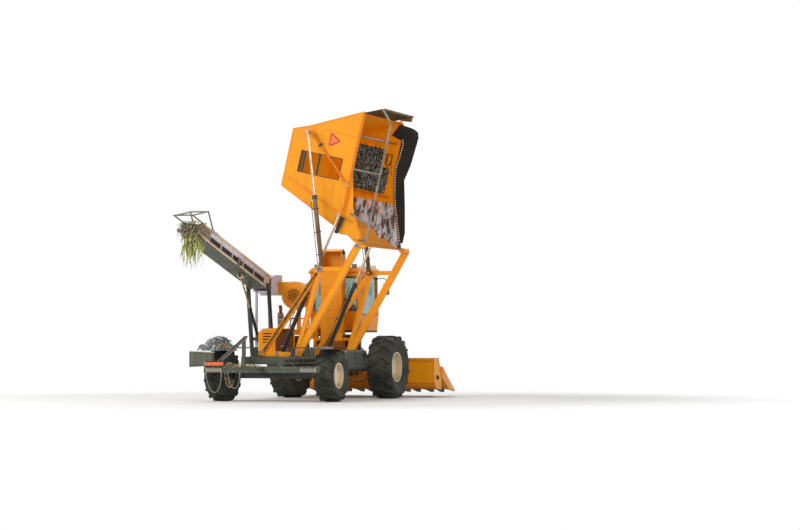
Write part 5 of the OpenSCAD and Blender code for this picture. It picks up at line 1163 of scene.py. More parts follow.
# blades that slid off the fender's back edge and hang behind it
k = 170
spots = station(-1205 + rng.normal(0, 14, k).clip(-30, 60), rng.uniform(1352, 1938, k), 1528 + rng.uniform(0, 60, k))
ways = np.stack([rng.uniform(-1, -0.35, k), rng.normal(0, 0.5, k), rng.normal(-0.1, 0.2, k)], -1)
slid = looseLeaves(rng, spots, ways, (0.14, 0.26), (0.034, 0.07), (0.25, 0.9), 0.3, 0.9, 8)
slid[0][:, 0] = np.maximum(slid[0][:, 0], (-1470 - midX) / 1000)
spots = station(rng.uniform(-1190, -420, k), 1352 + rng.uniform(-4, 14, k), 1528 + rng.uniform(0, 40, k))
ways = np.stack([rng.normal(-0.3, 0.5, k), rng.uniform(-1, -0.35, k), rng.normal(-0.1, 0.2, k)], -1)
over = looseLeaves(rng, spots, ways, (0.1, 0.2), (0.022, 0.05), (0.35, 1.0), 0.3, 0.9, 8)
slid = joined([slid, over])
slid[0][:, 2] = np.maximum(slid[0][:, 2], 1.405)
piece("slid_leaves", slid, "dryLeaf", smooth=60)
# slanted pair of bars with a dark sheet between them that paints the shade in their slot, and leaf litter on the beam
bars = []
foot, head = np.array([1410.0, 975.0]), np.array([440.0, 1811.0])
d = unit(head - foot)
side = leftOf(d)
for shift in (-33, 33):
    corners = [foot + side * (shift - 10), foot + side * (shift + 10), head + side * (shift + 10) - d * 30,
               head + side * (shift - 10) - d * 30]
    bars.append(slab(corners, -1619, -1532, crossways, 2.5))
piece("slanted_bars", bars, "pipe")
corners = [foot - side * 23, foot + side * 23, head + side * 23 - d * 30, head - side * 23 - d * 30]
piece("slanted_slot", slab(corners, -1612.5, -1609.6, crossways, 1), "blackBarrel")
k = 150
litter = station(rng.uniform(-1612, -1508, k), rng.uniform(60, 1380, k), 987 + rng.uniform(0, 26, k))
piece("beam_litter", looseLeaves(
          rng, litter, rng.normal(0, 1, (k, 3)) * (1, 1, 0.25) + (0, 0, 0.08), (0.08, 0.2), (0.018, 0.04), (0, 0.15),
          0.35, 0.8, 6), "strawLeaf", smooth=60)
print("rear end done")

# lift cylinders and gantries
lift = {"pipe": 0.009, "bands": (420, 1050, 1700), "flange": 16}
leftBase, rightBase = np.array([-1282.0, 3678.0]), np.array([0.0, 1330.0])
hingeSpot = np.array([-hingeOut, hingeUp])


def stationOf(point):
    return np.asarray(point) * 1000 + np.array([midX, midY, 0.0])


def acrossPlace(base, eye, plane, end):
    # place function of one cylinder: along from its base pin, beside it, and off its plane towards the bin
    d = unit(stationOf(eye)[1:] - base)
    start, way = (-plane, 1) if end == 0 else (binLong + plane, -1)
    return lambda a, b, c: station(
        start + way * np.asarray(c, float), base[0] + a * d[0] - b * d[1], base[1] + a * d[1] + b * d[0])


def about(profile, place, count=36):
    # turned form about a cylinder's axis, its profile in millimetres from the base pin
    start = place(0.0, 0.0, 0.0)
    return turnedForm(np.asarray(profile, float) / 1000, start, place(1000.0, 0.0, 0.0) - start, count, True)


def barrelDress(place, long, r, rod):
    # gland with its ridges and end bolts, weld beads, two ports, the pipe that joins them and its band clamps
    start = place(0.0, 0.0, 0.0)
    axis, side = place(1000.0, 0.0, 0.0) - start, place(0.0, -1000.0, 0.0) - start
    gland = about([
        (long - 98, r - 2), (long - 94, r + 7), (long - 88, r + 10.8), (long - 66, r + 10.8), (long - 63, r + 8),
        (long - 54, r + 8), (long - 51, r + 10.8), (long - 8, r + 10.8), (long - 4, r + 7), (long + 6, r - 4),
        (long + 8, rod + 12), (long + 15, rod + 9), (long + 18, rod + 1)], place)
    ring = boltRing(place(long + 5.0, 0.0, 0.0), axis, (r - 9) / 1000, 8, 0.014, 0.2)
    beads = [about([(64, r - 2), (70, r + 4), (78, r + 5), (86, r + 3), (90, r - 2)], place),
             about([(long - 108, r - 1), (long - 102, r + 3), (long - 96, r + 4), (long - 92, r)], place)]
    ports, bands = [], []
    for a in (190.0, long - 150.0):
        ports.append(
            turnedForm([(-0.006, 0.024), (0.016, 0.022), (0.018, 0.017), (0.02, 0.017), (0.021, 0.0185),
                        (0.036, 0.0185), (0.037, 0.012), (0.046, 0.011)], place(a, -float(r) + 2, 0.0), side, 18))
    run = smoothPath([
        (190, -r - 34, 0), (190, -r - 47, 0), (206, -r - 56, 0), (330, -r - 56, 0), (long - 300, -r - 56, 0),
        (long - 166, -r - 56, 0), (long - 150, -r - 47, 0), (long - 150, -r - 34, 0)], 4)
    pipe = swept(place(run[:, 0], run[:, 1], run[:, 2]), circle(lift["pipe"], 12), up=(1, 0, 0))
    for a in lift["bands"]:
        bands.append(about([(a - 14, r - 1), (a - 13, r + 2.4), (a + 13, r + 2.4), (a + 14, r - 1)], place))
        bands.append(boxShape((a - 12, -r - 68, -11.5), (a + 12, -r - 0.5, 11.5), place, 2))
        bands.append(boxShape((a - 12, r + 0.5, -9), (a + 12, r + 26, 9), place, 2))
        bands.append(
            bolts(0.016, place(0.0, 0.0, 1000.0) - start, [
                place(float(a), r + 16.0, 8.5), place(float(a), -r - 56.0, 11.0)]))
    return joined([gland, *beads]), joined([ring, *ports]), pipe, joined(bands)


for name, base, eyeAt, plane, long, r, rod in (
        ("left", leftBase, (-20, 530), 290, 2080.0, 62, 37), ("right", rightBase, (2060, 1920), 130, 2250.0, 60, 34)):
    parts = [barrelDress(acrossPlace(base, inBin(*eyeAt, 0), plane, end), long, r, rod) for end in (0, 1)]
    piece(f"{name}_glands", [p[0] for p in parts], "blackBarrel", f"{name}_barrels", 35)
    piece(f"{name}_ports", [p[1] for p in parts], "bolt", f"{name}_barrels")
    piece(f"{name}_pipes", [p[2] for p in parts], "blackBarrel", f"{name}_barrels", 60, slot=None)
    piece(f"{name}_bands", [p[3] for p in parts], "blackBarrel", f"{name}_barrels")
    eyes = []
    for end in (0, 1):
        place = acrossPlace(base, inBin(*eyeAt, 0), plane, end)
        total = np.linalg.norm(stationOf(inBin(*eyeAt, 0))[1:] - base)
        up = place(0.0, 1000.0, 0.0) - place(0.0, 0.0, 0.0)
        eyes.append(turnedForm([(-0.004, 0.007), (0.004, 0.007), (0.008, 0.0045), (0.016, 0.004), (0.018, 0.002)],
                        place(total, 60.0, 0.0), up, 10))
        eyes.append(about([(total - 64, rod + 13), (total - 60, rod + 17), (total - 52, rod + 15), (total - 50, rod)],
                        place))
        eyes.append(boltRing(place(total - 96.0, 0.0, 0.0), place(-1000.0, 0.0, 0.0) - place(0.0, 0.0, 0.0),
                             (rod + 8) / 1000, 6, 0.01, 0.1))
    piece(f"{name}_eye_fittings", eyes, "bolt", f"{name}_rods", 35)

# gantries: flanged edges, pin covers with their bolts, gussets and bolts at their feet, and two pipes up one leg with
# their clips
def gantryBar(p, q, wide, low, high, shift=0.0, trim=0.0, edge=2.0):
    p, q = np.array(p, float), np.array(q, float)
    d = unit(q - p)
    n = leftOf(d)
    p, q = p + n * shift + d * trim, q + n * shift - d * trim
    return slab([p - n * wide / 2, q - n * wide / 2, q + n * wide / 2, p + n * wide / 2], low, high, crossways, edge)


footLeft, footRight = np.array([550.0, 1190.0]), np.array([-550.0, 1190.0])
bars = ((footRight, hingeSpot, 190, 150), (footLeft, leftBase, 130, 170), (footRight, leftBase, 130, 200))
flanges, covers, coverBolts, plates, plateBolts, pipes, clips = [], [], [], [], [], [], []
for far, way in ((-480.0, -1), (3580.0, 1)):
    low, high = sorted((far + way * 0.4, far + way * 9))
    for p, q, wide, trim in bars:
        for s in (-1, 1):
            flanges.append(gantryBar(p, q, lift["flange"], low, high, s * (wide / 2 - 9), trim, 2.5))
    for spot, r in ((hingeSpot, 68), (leftBase, 88), (rightBase, 56)):
        centre = station(far + way * 0.4, *spot)
        covers.append(
            turnedForm([(0.0, r / 1000), (0.009, r / 1000), (0.012, r / 1000 - 0.004), (0.012, 0.034), (0.016, 0.032),
                        (0.016, 0.0005)], centre, (way, 0, 0), 36))
        coverBolts.append(boltRing(centre + np.array([way * 0.012, 0, 0]), (way, 0, 0), (r - 14) / 1000, 6, 0.017, 0.3))
    for foot, toward in ((footRight, hingeSpot), (footLeft, leftBase)):
        d = unit(toward - foot)
        side = 1 if foot[0] > 0 else -1
        y = foot[0]
        plates.append(
            slab([(y - 150, 1262), (y + 150, 1262), (y + 120 + d[0] * 60, 1420), (y - 120 + d[0] * 60, 1420)],
                *sorted((far + way * 0.5, far + way * 13)), crossways, 3))
        spots = np.concatenate([along((y - 120, 1290), (y + 120, 1290), 80), along((y - 90, 1385), (y + 90, 1385), 90)])
        plateBolts.append(bolts(0.03, (way, 0, 0), station(far + way * 13, spots[:, 0], spots[:, 1])))
    d = unit(leftBase - footLeft)
    n = leftOf(d)
    for shift in (-15, 15):
        ends = np.stack([footLeft + d * 260 + n * shift, leftBase - d * 130 + n * shift])
        pipes.append(swept(station(far + way * 17, ends[:, 0], ends[:, 1]), circle(lift["pipe"], 10), up=(1, 0, 0)))
        pipes += [turnedForm([(0, 0.0125), (0.002, 0.0145), (0.026, 0.0145), (0.028, 0.0125)],
                      station(far + way * 17, *e), s * np.array([0, d[0], d[1]]), 6)
                  for e, s in ((ends[0], 1), (ends[1], -1))]
    for t in np.linspace(0.12, 0.94, 6):
        spot = footLeft + (leftBase - footLeft) * t
        clips.append(
            slab([spot - n * 34 - d * 12, spot + n * 34 - d * 12, spot + n * 34 + d * 12, spot - n * 34 + d * 12],
                *sorted((far + way * 0.5, far + way * 30)), crossways, 3))
piece("gantry_flanges", flanges, "orange")
piece("pin_covers", covers, "pipe")
piece("pin_cover_bolts", coverBolts, "bolt")
piece("gantry_foot_plates", plates, "orange")
piece("gantry_bolts", plateBolts, "bolt")
piece("gantry_pipes", pipes, "blackBarrel", smooth=50, slot=None)
piece("gantry_pipe_clips", clips, "blackBarrel")

# cover angles on the bin's slanted brace and along its rim, in the darker weathered orange that also paints their
# shade, with a dark shadow strip beside each
piece("brace_angles", [
    binBar(braceA + braceSide * 22, braceB + braceSide * 22, 12, -46, -30, 3),
    binBar(braceA - braceSide * 22, braceB - braceSide * 22, 8, -40, -30, 3),
    binBar((-845, 2003), (2000, 1993), 12, -58, -1, 3),
    binBar((-845, 1967), (2000, 1957), 8, -40, -1, 3)], "oldOrange", "bin")
print("cylinders and gantries done")

# tangle of stalks round the conveyor's head, wire cage beyond the drum, and the tail's fittings
rng = np.random.default_rng(11)
n = 230
roots = onConveyor(
    -convLong + rng.normal(-70, 120, n).clip(-215, 260), rng.uniform(1722, 2288, n),
    midUp + rng.uniform(-165, 175, n))
ways = np.stack([rng.normal(-0.5, 0.7, n), rng.normal(0, 0.9, n), rng.normal(-0.25, 0.45, n)], -1)
piece("stalk_tangle", looseLeaves(rng, roots, ways, (0.12, 0.34), (0.012, 0.03), (0.1, 0.7), 0.5, 1.6, 8, 0.002),
      "strawLeaf", "conveyor", 60)
n = 26
starts = onConveyor(rng.uniform(-4480, -3700, n), 1728 + rng.normal(0, 12, n), rng.uniform(330, 420, n))
tips = starts + np.stack([rng.normal(-0.12, 0.16, n), rng.normal(0, 0.05, n), rng.normal(0.0, 0.05, n)], -1)
piece("rail_stalks", rodsBetween(starts, tips, 0.006, 6), "strawLeaf", "conveyor", 60)

cage = []
for y in np.linspace(1740, 2270, 6):
    loop = smoothPath(onConveyor([-4860, -5010, -5060, -5030, -4900], y,
                                 [midUp + 205, midUp + 190, midUp + 20, midUp - 150, midUp - 205]), 6)
    cage.append(swept(loop, circle(0.007, 8), up=(0, 1, 0)))
for a, b in ((-4990, midUp + 196), (-5061, midUp + 20), (-5010, midUp - 168)):
    cage.append(rodsBetween(onConveyor(a, 1732, b), onConveyor(a, 2278, b), 0.005, 8))
cage += [boxShape((-4905, y, midUp + z - 9), (-4838, y + 10, midUp + z + 9), onConveyor, 2) for y in (1722.5, 2277.5)
         for z in (-205, 205)]
piece("head_cage", cage, "pipe", "conveyor", 50)
guardFeet = []
for y in (1729.0, 2281.0):
    for a in (-4940, -4390):
        guardFeet.append(boxShape((a - 55, y - 7, 352), (a + 55, y + 7, 384), onConveyor, 3))
piece("guard_feet", guardFeet, "blackBarrel", "conveyor")
tail = []
for y, face in ((1709.0, -1), (2301.0, 1)):
    hub = onConveyor(0, y, 0)
    tail.append(boltRing(hub + np.array([0, face * -0.002, 0]), (0, face, 0), 0.058, 6, 0.018, 0.2))
piece("tail_bolts", tail, "bolt", "conveyor")
beltEdges = [swept(onConveyor([-4780, -60], y, midUp + 169),
                   [(-0.012, -0.001), (0.012, -0.001), (0.01, 0.004), (-0.01, 0.004)]) for y in (1765, 2245)]
beltBolts = np.concatenate([
    np.stack([np.full(5, x + 15.0), np.linspace(1790, 2220, 5)], -1) for x in np.arange(-4450, -369, 340.0)])
piece("belt_edge_bands", beltEdges, "rubber", "conveyor", 40)
piece("slat_bolts", bolts(
          0.016, (math.sin(convSlope), 0, math.cos(convSlope)),
          onConveyor(beltBolts[:, 0], beltBolts[:, 1], midUp + 196)), "bolt", "conveyor")

# luffing cylinder: gland, end beads and the pipe along its barrel
foot = np.array([3100.0, 1450.0])
ex = convX - 1300 * math.cos(convSlope) + 110 * -math.sin(convSlope)
ez = convZ + 1300 * math.sin(convSlope) - 110 * math.cos(convSlope)
heading = unit(np.array([ex, ez]) - foot)


def luffPlace(a, b, c):
    return station(
        foot[0] + a * heading[0] - b * heading[1], convY + np.asarray(c, float),
        foot[1] + a * heading[1] + b * heading[0])


piece("luff_gland", [
    about([(1408, 47), (1412, 54), (1418, 60), (1492, 60), (1498, 55), (1504, 46), (1512, 30), (1513, 27)],
          luffPlace, 28),
    about([(62, 46), (68, 53), (76, 54), (84, 46)], luffPlace, 28),
    *[about([(a - 12, 47), (a - 11, 51), (a + 11, 51), (a + 12, 47)], luffPlace, 28) for a in (420, 900)]],
    "blackBarrel", "conveyor_barrel", 35, slot=None)
run = smoothPath([(150, 50, 0), (150, 66, 0), (170, 72, 0), (1300, 72, 0), (1350, 66, 0), (1350, 50, 0)], 5)
piece("luff_pipe", swept(luffPlace(run[:, 0], run[:, 1], run[:, 2]), circle(0.008, 10), up=(0, 1, 0)), "blackBarrel",
      "conveyor_barrel", 60, slot=None)

# mast: edge flanges, the pivot's covers and a ring of bolts on each side
mast = []
for y0, y1 in ((1649, 1709), (2301, 2361)):
    face = y0 - 0.5 if y0 < 1700 else y1 + 0.5
    way = -1 if y0 < 1700 else 1
    low, high = sorted((face, face + way * 8))
    for s in (-66, 66):
        mast.append(slab([(3160 + s - 8, 1290), (3160 + s + 8, 1290), (convX + s + 8, convZ - 130),
                          (convX + s - 8, convZ - 130)], low, high, sideways, 2))
    mast.append(turnedForm([(0.0, 0.1), (0.008, 0.1), (0.012, 0.094), (0.012, 0.05), (0.018, 0.048), (0.018, 0.0005)],
                    station(convX, face, convZ), (0, way, 0), 32))
piece("mast_flanges", mast, "dark", smooth=35)
piece("mast_bolts", [
    boltRing(station(convX, 1648.5 - 12, convZ), (0, -1, 0), 0.076, 6, 0.02),
    boltRing(station(convX, 2361.5 + 12, convZ), (0, 1, 0), 0.076, 6, 0.02)], "bolt")
print("conveyor head done")

# cab
cab = {"treadPitch": 46, "roofRibs": 5}
doorLow, doorHigh = (4150, 2040), (5150, 3610)


def roundedBox(low, high, corner, count=6):
    # outline with rounded corners, anticlockwise
    (x0, y0), (x1, y1) = low, high
    a = np.linspace(0, math.pi / 2, count)
    arcs = [np.stack([cx + corner * np.cos(a + k * math.pi / 2), cy + corner * np.sin(a + k * math.pi / 2)], -1)
            for k, (cx, cy) in enumerate((
                    (x1 - corner, y1 - corner), (x0 + corner, y1 - corner), (x0 + corner, y0 + corner),
                    (x1 - corner, y0 + corner)))]
    return np.concatenate(arcs)


def gasket(low, high, corner, place, depth, radius=0.011):
    # rubber strip round a window's rim
    line = roundedBox(low, high, corner)
    middle = place(line[:, 0], line[:, 1], depth)
    normal = np.cross(middle[1] - middle[0], middle[8] - middle[0])
    return swept(middle, [
        (-radius, -0.006), (radius, -0.006), (radius * 0.9, 0.005), (radius * 0.4, 0.008), (-radius * 0.4, 0.008),
        (-radius * 0.9, 0.005)], up=normal, closed=True)


piece("window_gaskets", [
    gasket((4110, 2470), (5300, 3590), 60, sideways, -801), gasket((-680, 2590), (680, 3590), 60, crossways, 3958.5)],
    "rubber", smooth=40)
piece("door_gasket",
      gasket((doorLow[0] + 76, doorLow[1] + 256), (doorHigh[0] - 76, doorHigh[1] - 76), 50, sideways, 801), "rubber",
      "cab_door", 40)
piece("door_swages", [
    swept(station(x, 803, z), [(-0.012, -0.004), (0.012, -0.004), (0.008, 0.003), (-0.008, 0.003)], up=(0, 1, 0))
    for x, z in (([4172, 5128], [2064, 2064]), ([4172, 5128], [2262, 2262]), ([4180, 5120], [2160, 2160]))], "orange",
    "cab_door")
piece("door_handle_grip", [
    boxShape((5082, 828, 2676), (5120, 848, 2886), station, 5),
    boxShape((5088, 801, 2900), (5112, 812, 2944), station, 3),
    turnedForm([(0, 0.014), (0.006, 0.014), (0.008, 0.01), (0.008, 0.0005)], station(5100, 812, 2922), (0, 1, 0), 16)],
    "plastic", "cab_door", 35)

# windscreen rim, wiper with its arm and blade, and the mirror arms
shield = [swept(station(5398, [-722, 722], 2130), bandOutline(0.02, -0.004, 0.006), up=(1, 0, 0.2))]
shield += [swept(station([5402, 5502, 5385], y, [2140, 2490, 3580]), bandOutline(0.02, -0.004, 0.006), up=(1, 0, 0.1))
           for y in (-722, 722)]
piece("windscreen_rim", shield, "rubber")
piece("windscreen_wiper", [
    rodsBetween(station(5440, -60, 2300), station(5483, 330, 2740), 0.008, 8),
    rodsBetween(station(5508, 120, 2480), station(5455, 520, 2960), 0.007, 6),
    turnedForm([(-0.02, 0.026), (0.012, 0.026), (0.018, 0.02), (0.018, 0.0005)], station(5436, -60, 2300),
        (1, 0, -0.28), 18)], "plastic", smooth=40)
mirrors, heads = [], []
for s in (-1, 1):
    path = smoothPath(
        station([5330, 5420, 5470, 5480], [s * 812, s * 960, s * 1040, s * 1050], [3560, 3575, 3540, 3420]), 5)
    mirrors.append(swept(path, circle(0.012, 10), up=(0.2, 0.1, 1)))
    mirrors.append(boxShape((5296, min(s * 800.6, s * 816), 3520), (5364, max(s * 800.6, s * 816), 3600), station, 3))
    heads.append(slab(roundedBox((s * 1050 - 95, 3080), (s * 1050 + 95, 3430), 40), 5462, 5502, crossways, 12))
piece("mirror_arms", mirrors, "blackBarrel", smooth=45)
piece("mirror_heads", heads, "plastic", smooth=35)
piece("mirror_glass", [
    slab(roundedBox((s * 1050 - 80, 3095), (s * 1050 + 80, 3415), 30), 5459.5, 5462, crossways, 0.6)
    for s in (-1, 1)], "steel")

# roof: pressed ribs, drip rail, hatch and the air intake grille
ribsY = np.linspace(-560, 560, cab["roofRibs"])
roof = [swept(station([4060, 4100, 5400, 5440], y, 3870), ridgeOutline(0.03, 0.016, -0.002, 0.009),
              scale=np.array([[1, 0.1], [1, 1], [1, 1], [1, 0.1]])) for y in ribsY]
roof += [slab(roundedBox((4420, -330), (5040, 330), 60), 3878, 3902, station, 8)]
piece("roof_ribs", roof, "orange", smooth=35)
piece("drip_rails", [
    swept(station([3936, 5556], s * 853, 3708), bandOutline(0.01, -0.008, 0.008)) for s in (-1, 1)], "orange")
piece("roof_vents", [
    boxShape((3933, y, 3740), (3939.7, y + 14, 3820), station, 1) for y in np.arange(-420, 420, 34.0)], "plastic")

# lamps: bezels and lenses on the roof's work lamps, the beacon's dome, and its base
bezels, lenses = [], []
for x, face, spots in ((5540, 1, (-620, -220, 220, 620)), (3960, -1, (-600, 600))):
    for y in spots:
        low, high = sorted((x + face * 0.5, x + face * 8))
        bezels.append(slab(roundedBox((y - 66, 3874), (y + 66, 3966), 14), low, high, crossways, 2))
        low, high = sorted((x + face * 7, x + face * 14))
        lenses.append(slab(roundedBox((y - 56, 3884), (y + 56, 3956), 12), low, high, crossways, 4))
piece("work_lamp_bezels", bezels, "plastic")
piece("work_lamp_lenses", lenses, "clearLens")
piece("beacon_dome", turnedForm([
          (0.0, 0.066), (0.02, 0.066), (0.024, 0.0615), (0.13, 0.0612), (0.148, 0.054), (0.16, 0.036), (0.164, 0.012),
          (0.165, 0.0005)], station(4260, 0, 3871), (0, 0, 1), 32), "amberLens", smooth=40)
piece("beacon_base", turnedForm([
          (0.0, 0.078), (0.012, 0.078), (0.016, 0.07), (0.016, 0.0005)], station(4260, 0, 3870), (0, 0, 1), 32),
      "plastic", smooth=35)


# seat: crowned pads whose sides pull in between the corners, with piping along the seams, on the boxed pedestal
def cushion(centre, axes, half, crown, pull, n=26):
    # a closed pad: height(a, b) over the outline falls as (1 - a^6)(1 - b^6), its sides pull in towards mid-length
    t = np.linspace(-1, 1, n)
    a, b = np.meshgrid(t, t, indexing="ij")
    lift = np.clip((1 - np.abs(a) ** 6) * (1 - np.abs(b) ** 6), 0, 1) ** 0.35
    wa = half[0] * (1 - pull * (1 - b**2) * np.abs(a) ** 3)
    wb = half[1] * (1 - pull * (1 - a**2) * np.abs(b) ** 3)
    seams = 0.1 * np.exp(-((np.abs(b) - 0.62) / 0.05) ** 2)
    channel = 1 - seams - 0.07 * np.exp(-(((a % 0.5) - 0.25) / 0.04) ** 2) * (np.abs(b) < 0.6)
    top = half[2] * (0.45 + 0.55 * lift * channel) + crown * (1 - a**2) * (1 - b**2)
    under = -half[2] * (0.3 + 0.7 * lift)
    rim = (np.maximum(np.abs(a), np.abs(b)) > 0.999)
    top, under = np.where(rim, 0.0, top), np.where(rim, 0.0, under)
    x, y, z = (np.asarray(k, float) for k in axes)
    layers = [np.asarray(centre) + (a * wa)[..., None] * x + (b * wb)[..., None] * y + h[..., None] * z
              for h in (top, under)]
    grid, ring = gridFaces(n, n), rimOf(n, n)
    keep = np.arange(2 * n * n)
    keep[ring + n * n] = ring
    low = keep[grid[:, ::-1] + n * n]
    points = np.concatenate([l.reshape(-1, 3) for l in layers])
    used = np.unique(np.concatenate([grid.ravel(), low.ravel()]))
    index = np.zeros(len(points), int)
    index[used] = np.arange(len(used))
    piping = layers[0].reshape(-1, 3)[ring]
    return outward((points[used], [index[grid], index[low]])), piping


backUp = np.array([-100.0, 0, 650.0]) / math.hypot(100, 650)
backOut = np.array([backUp[2], 0, -backUp[0]])
seatPad, seatLine = cushion(
    station(4530, 0, 2400), ((1, 0, 0), (0, 1, 0), (0, 0, 1)), (0.238, 0.238, 0.058), 0.006, 0.05)
backPad, backLine = cushion(station(4300, 0, 2760), (backUp, (0, 1, 0), backOut), (0.31, 0.226, 0.056), 0.008, 0.06)
armPad, armLine = cushion(
    station(4495, 285, 2594), ((1, 0, 0), (0, 1, 0), (0, 0, 1)), (0.172, 0.034, 0.024), 0.004, 0.04)
for name, pad, line, stands in (
        ("seat_cushion", seatPad, seatLine, ("cab_seat",)), ("seat_back", backPad, backLine, ()),
        ("seat_armrest", armPad, armLine, ())):
    made = piece(name, pad, "cloth", smooth=60, stands=stands)
    piece(f"{name}_piping", swept(line, circle(0.005, 8), up=(0.3, 0.2, 0.9), closed=True), "plastic", smooth=60)


def onSeatBack(a, b, c):
    # up the backrest, across, and off it towards the front
    a, b, c = (np.asarray(k)[..., None] for k in (a, b, c))
    return station(4300, 0, 2760) + (a * backUp + b * (0, 1, 0) + c * backOut) / 1000


piece("seat_frame", [
    boxShape((-250, -205, -58), (300, 205, -44), onSeatBack, 6),
    boxShape((4372, -150, 2010.5), (4688, 150, 2060), station, 8),
    boxShape((4420, -110, 2060), (4640, 110, 2300), station, 6),
    boxShape((4340, -200, 2300), (4720, 200, 2345), station, 6),
    boxShape((4322, -418, 2570), (4748, -252, 2646), station, 10),
    boxShape((4325, 255, 2562), (4362, 315, 2572), station, 3),
    rodsBetween(station([4340, 4340], [205, -205], 2320), station([4340, 4340], [290, -330], 2575), 0.018, 10),
    rodsBetween(station(4290, -140, 2380), station(4330, -140, 2330), 0.02, 10),
    rodsBetween(station(4290, 140, 2380), station(4330, 140, 2330), 0.02, 10)], "plastic", smooth=35)
z = np.linspace(2065, 2298, 25)
sizes = 1 + 0.07 * np.sin(np.arange(25) * math.pi / 2)
piece("seat_bellows", swept(
          station(4530, 0, z), roundedBox((-0.13, -0.12), (0.13, 0.12), 0.03), up=(1, 0, 0),
          scale=sizes[:, None].repeat(2, 1)), "rubber", smooth=60)
levers = []
for x, y in ((4620, -335), (4560, -300), (4500, -370)):
    levers.append(swept(station([x, x + 8, x + 14], y, [2646, 2690, 2730]), circle(0.006, 8), up=(0, 1, 0)))
    levers.append(
        turnedForm([(-0.02, 0.004), (-0.014, 0.014), (0, 0.019), (0.014, 0.015), (0.02, 0.006), (0.021, 0.0005)],
            station(x + 16, y, 2742), (0.1, 0, 1), 16))
piece("console_levers", levers, "plastic", smooth=40)
piece("dash_binnacle", [
    slab([(5085, 2560), (5170, 2520), (5180, 2700), (5120, 2790), (5070, 2770)], -190, 190, sideways, 12),
    boxShape((5100, -60, 2080), (5160, 60, 2560), station, 10)], "plastic", smooth=35)
pedalsY = (-200, 150, 260)
piece("pedals", [
    *[slab([(5180, 2030), (5190, 2030), (5240, 2130), (5230, 2135)], y - 40, y + 40, sideways, 2) for y in pedalsY],
    *[rodsBetween(station(5215, y, 2080), station(5270, y, 2014), 0.01, 8) for y in pedalsY]], "steel")

# platform: raised tread on the deck and on each step, toe boards, clamps of the grab rails
def treadBars(x0, x1, y0, y1, z, pitch):
    # small lozenges that lean to and fro in rows
    xs, ys = np.meshgrid(
        np.arange(x0 + pitch / 2, x1 - pitch / 3, pitch), np.arange(y0 + pitch / 2, y1 - pitch / 3, pitch),
        indexing="ij")
    lean = np.where((np.add.outer(np.arange(xs.shape[0]), np.arange(xs.shape[1])) % 2) > 0, 1.0, -1.0) * 0.78
    basis = np.zeros((xs.size, 3, 3))
    basis[:, 0, 0] = basis[:, 1, 1] = np.cos(lean).ravel()
    basis[:, 0, 1], basis[:, 1, 0], basis[:, 2, 2] = -np.sin(lean).ravel(), np.sin(lean).ravel(), 1
    half = pitch * 0.42 / 1000
    bar = (np.array([(-half, 0, -0.001), (0, -half * 0.24, -0.001), (half, 0, -0.001), (0, half * 0.24, -0.001),
                     (-half * 0.7, 0, 0.0028), (0, -half * 0.13, 0.0028), (half * 0.7, 0, 0.0028),
                     (0, half * 0.13, 0.0028)]),
           [np.array([[0, 1, 5, 4], [1, 2, 6, 5], [2, 3, 7, 6], [3, 0, 4, 7], [4, 5, 6, 7], [3, 2, 1, 0]])])
    return copies(outward(bar), basis, station(xs.ravel(), ys.ravel(), z))


treads = [treadBars(3975, 5325, 815, 1465, 1955.5, cab["treadPitch"])]
for i in range(5):
    t = (i + 0.6) / 5
    treads.append(treadBars(5320 + 350 * t - 84, 5320 + 350 * t + 84, 1040, 1440, 1950 - 1490 * t + 15.5, 40))
piece("platform_tread", treads, "steel")
piece("toe_boards", [
    boxShape((3962, 1474, 1955.5), (5318, 1480, 2035), station, 1.5),
    boxShape((3960, 812, 1955.5), (3966, 1474, 2035), station, 1.5)], "orange")
piece("rail_clamps", [
    turnedForm(ridgeOutline(0.02, 0.02, 0.019, 0.027), station(x, y, z), way, 20)
    for x, y, z, way in (
            (5310, 980, 2000, (0, 0, 1)), (5310, 1490, 2000, (0, 0, 1)), (3990, 860, 2020, (0, 0, 1)),
            (3990, 1460, 2020, (0, 0, 1)), (3990, 1160, 2360, (0, 1, 0)), (3990, 1160, 2800, (0, 1, 0)),
            (5550, 980, 1700, (0, 0, 1)), (5550, 1490, 1700, (0, 0, 1)))], "blackBarrel", smooth=35)
print("cab done")

# engine, exhaust, tank, fan, elevator, hopper and frame
body = {"grilleWire": 14, "guardRings": 5, "frameBolts": 230}

# woven screens behind the cover's slots, raised borders of its doors, hinges and turn latches
mesh = []
for j in range(3):
    x0, x1 = 1680 + j * 440, 2040 + j * 440
    xs = np.arange(x0, x1, body["grilleWire"])
    zs = np.arange(1145, 1765, body["grilleWire"])
    mesh.append(rodsBetween(station(xs, 1427, 1145), station(xs, 1427, 1765), 0.0016, 4))
    mesh.append(rodsBetween(station(x0, 1425, zs), station(x1, 1425, zs), 0.0016, 4))
piece("cover_screens", mesh, "darkWire", smooth=60)


def border(low, high, corner, place, depth, wide, proud, up):
    line = roundedBox(low, high, corner)
    return swept(
        place(line[:, 0], line[:, 1], depth), ridgeOutline(wide, wide * 0.7, -0.002, proud), up=up, closed=True)


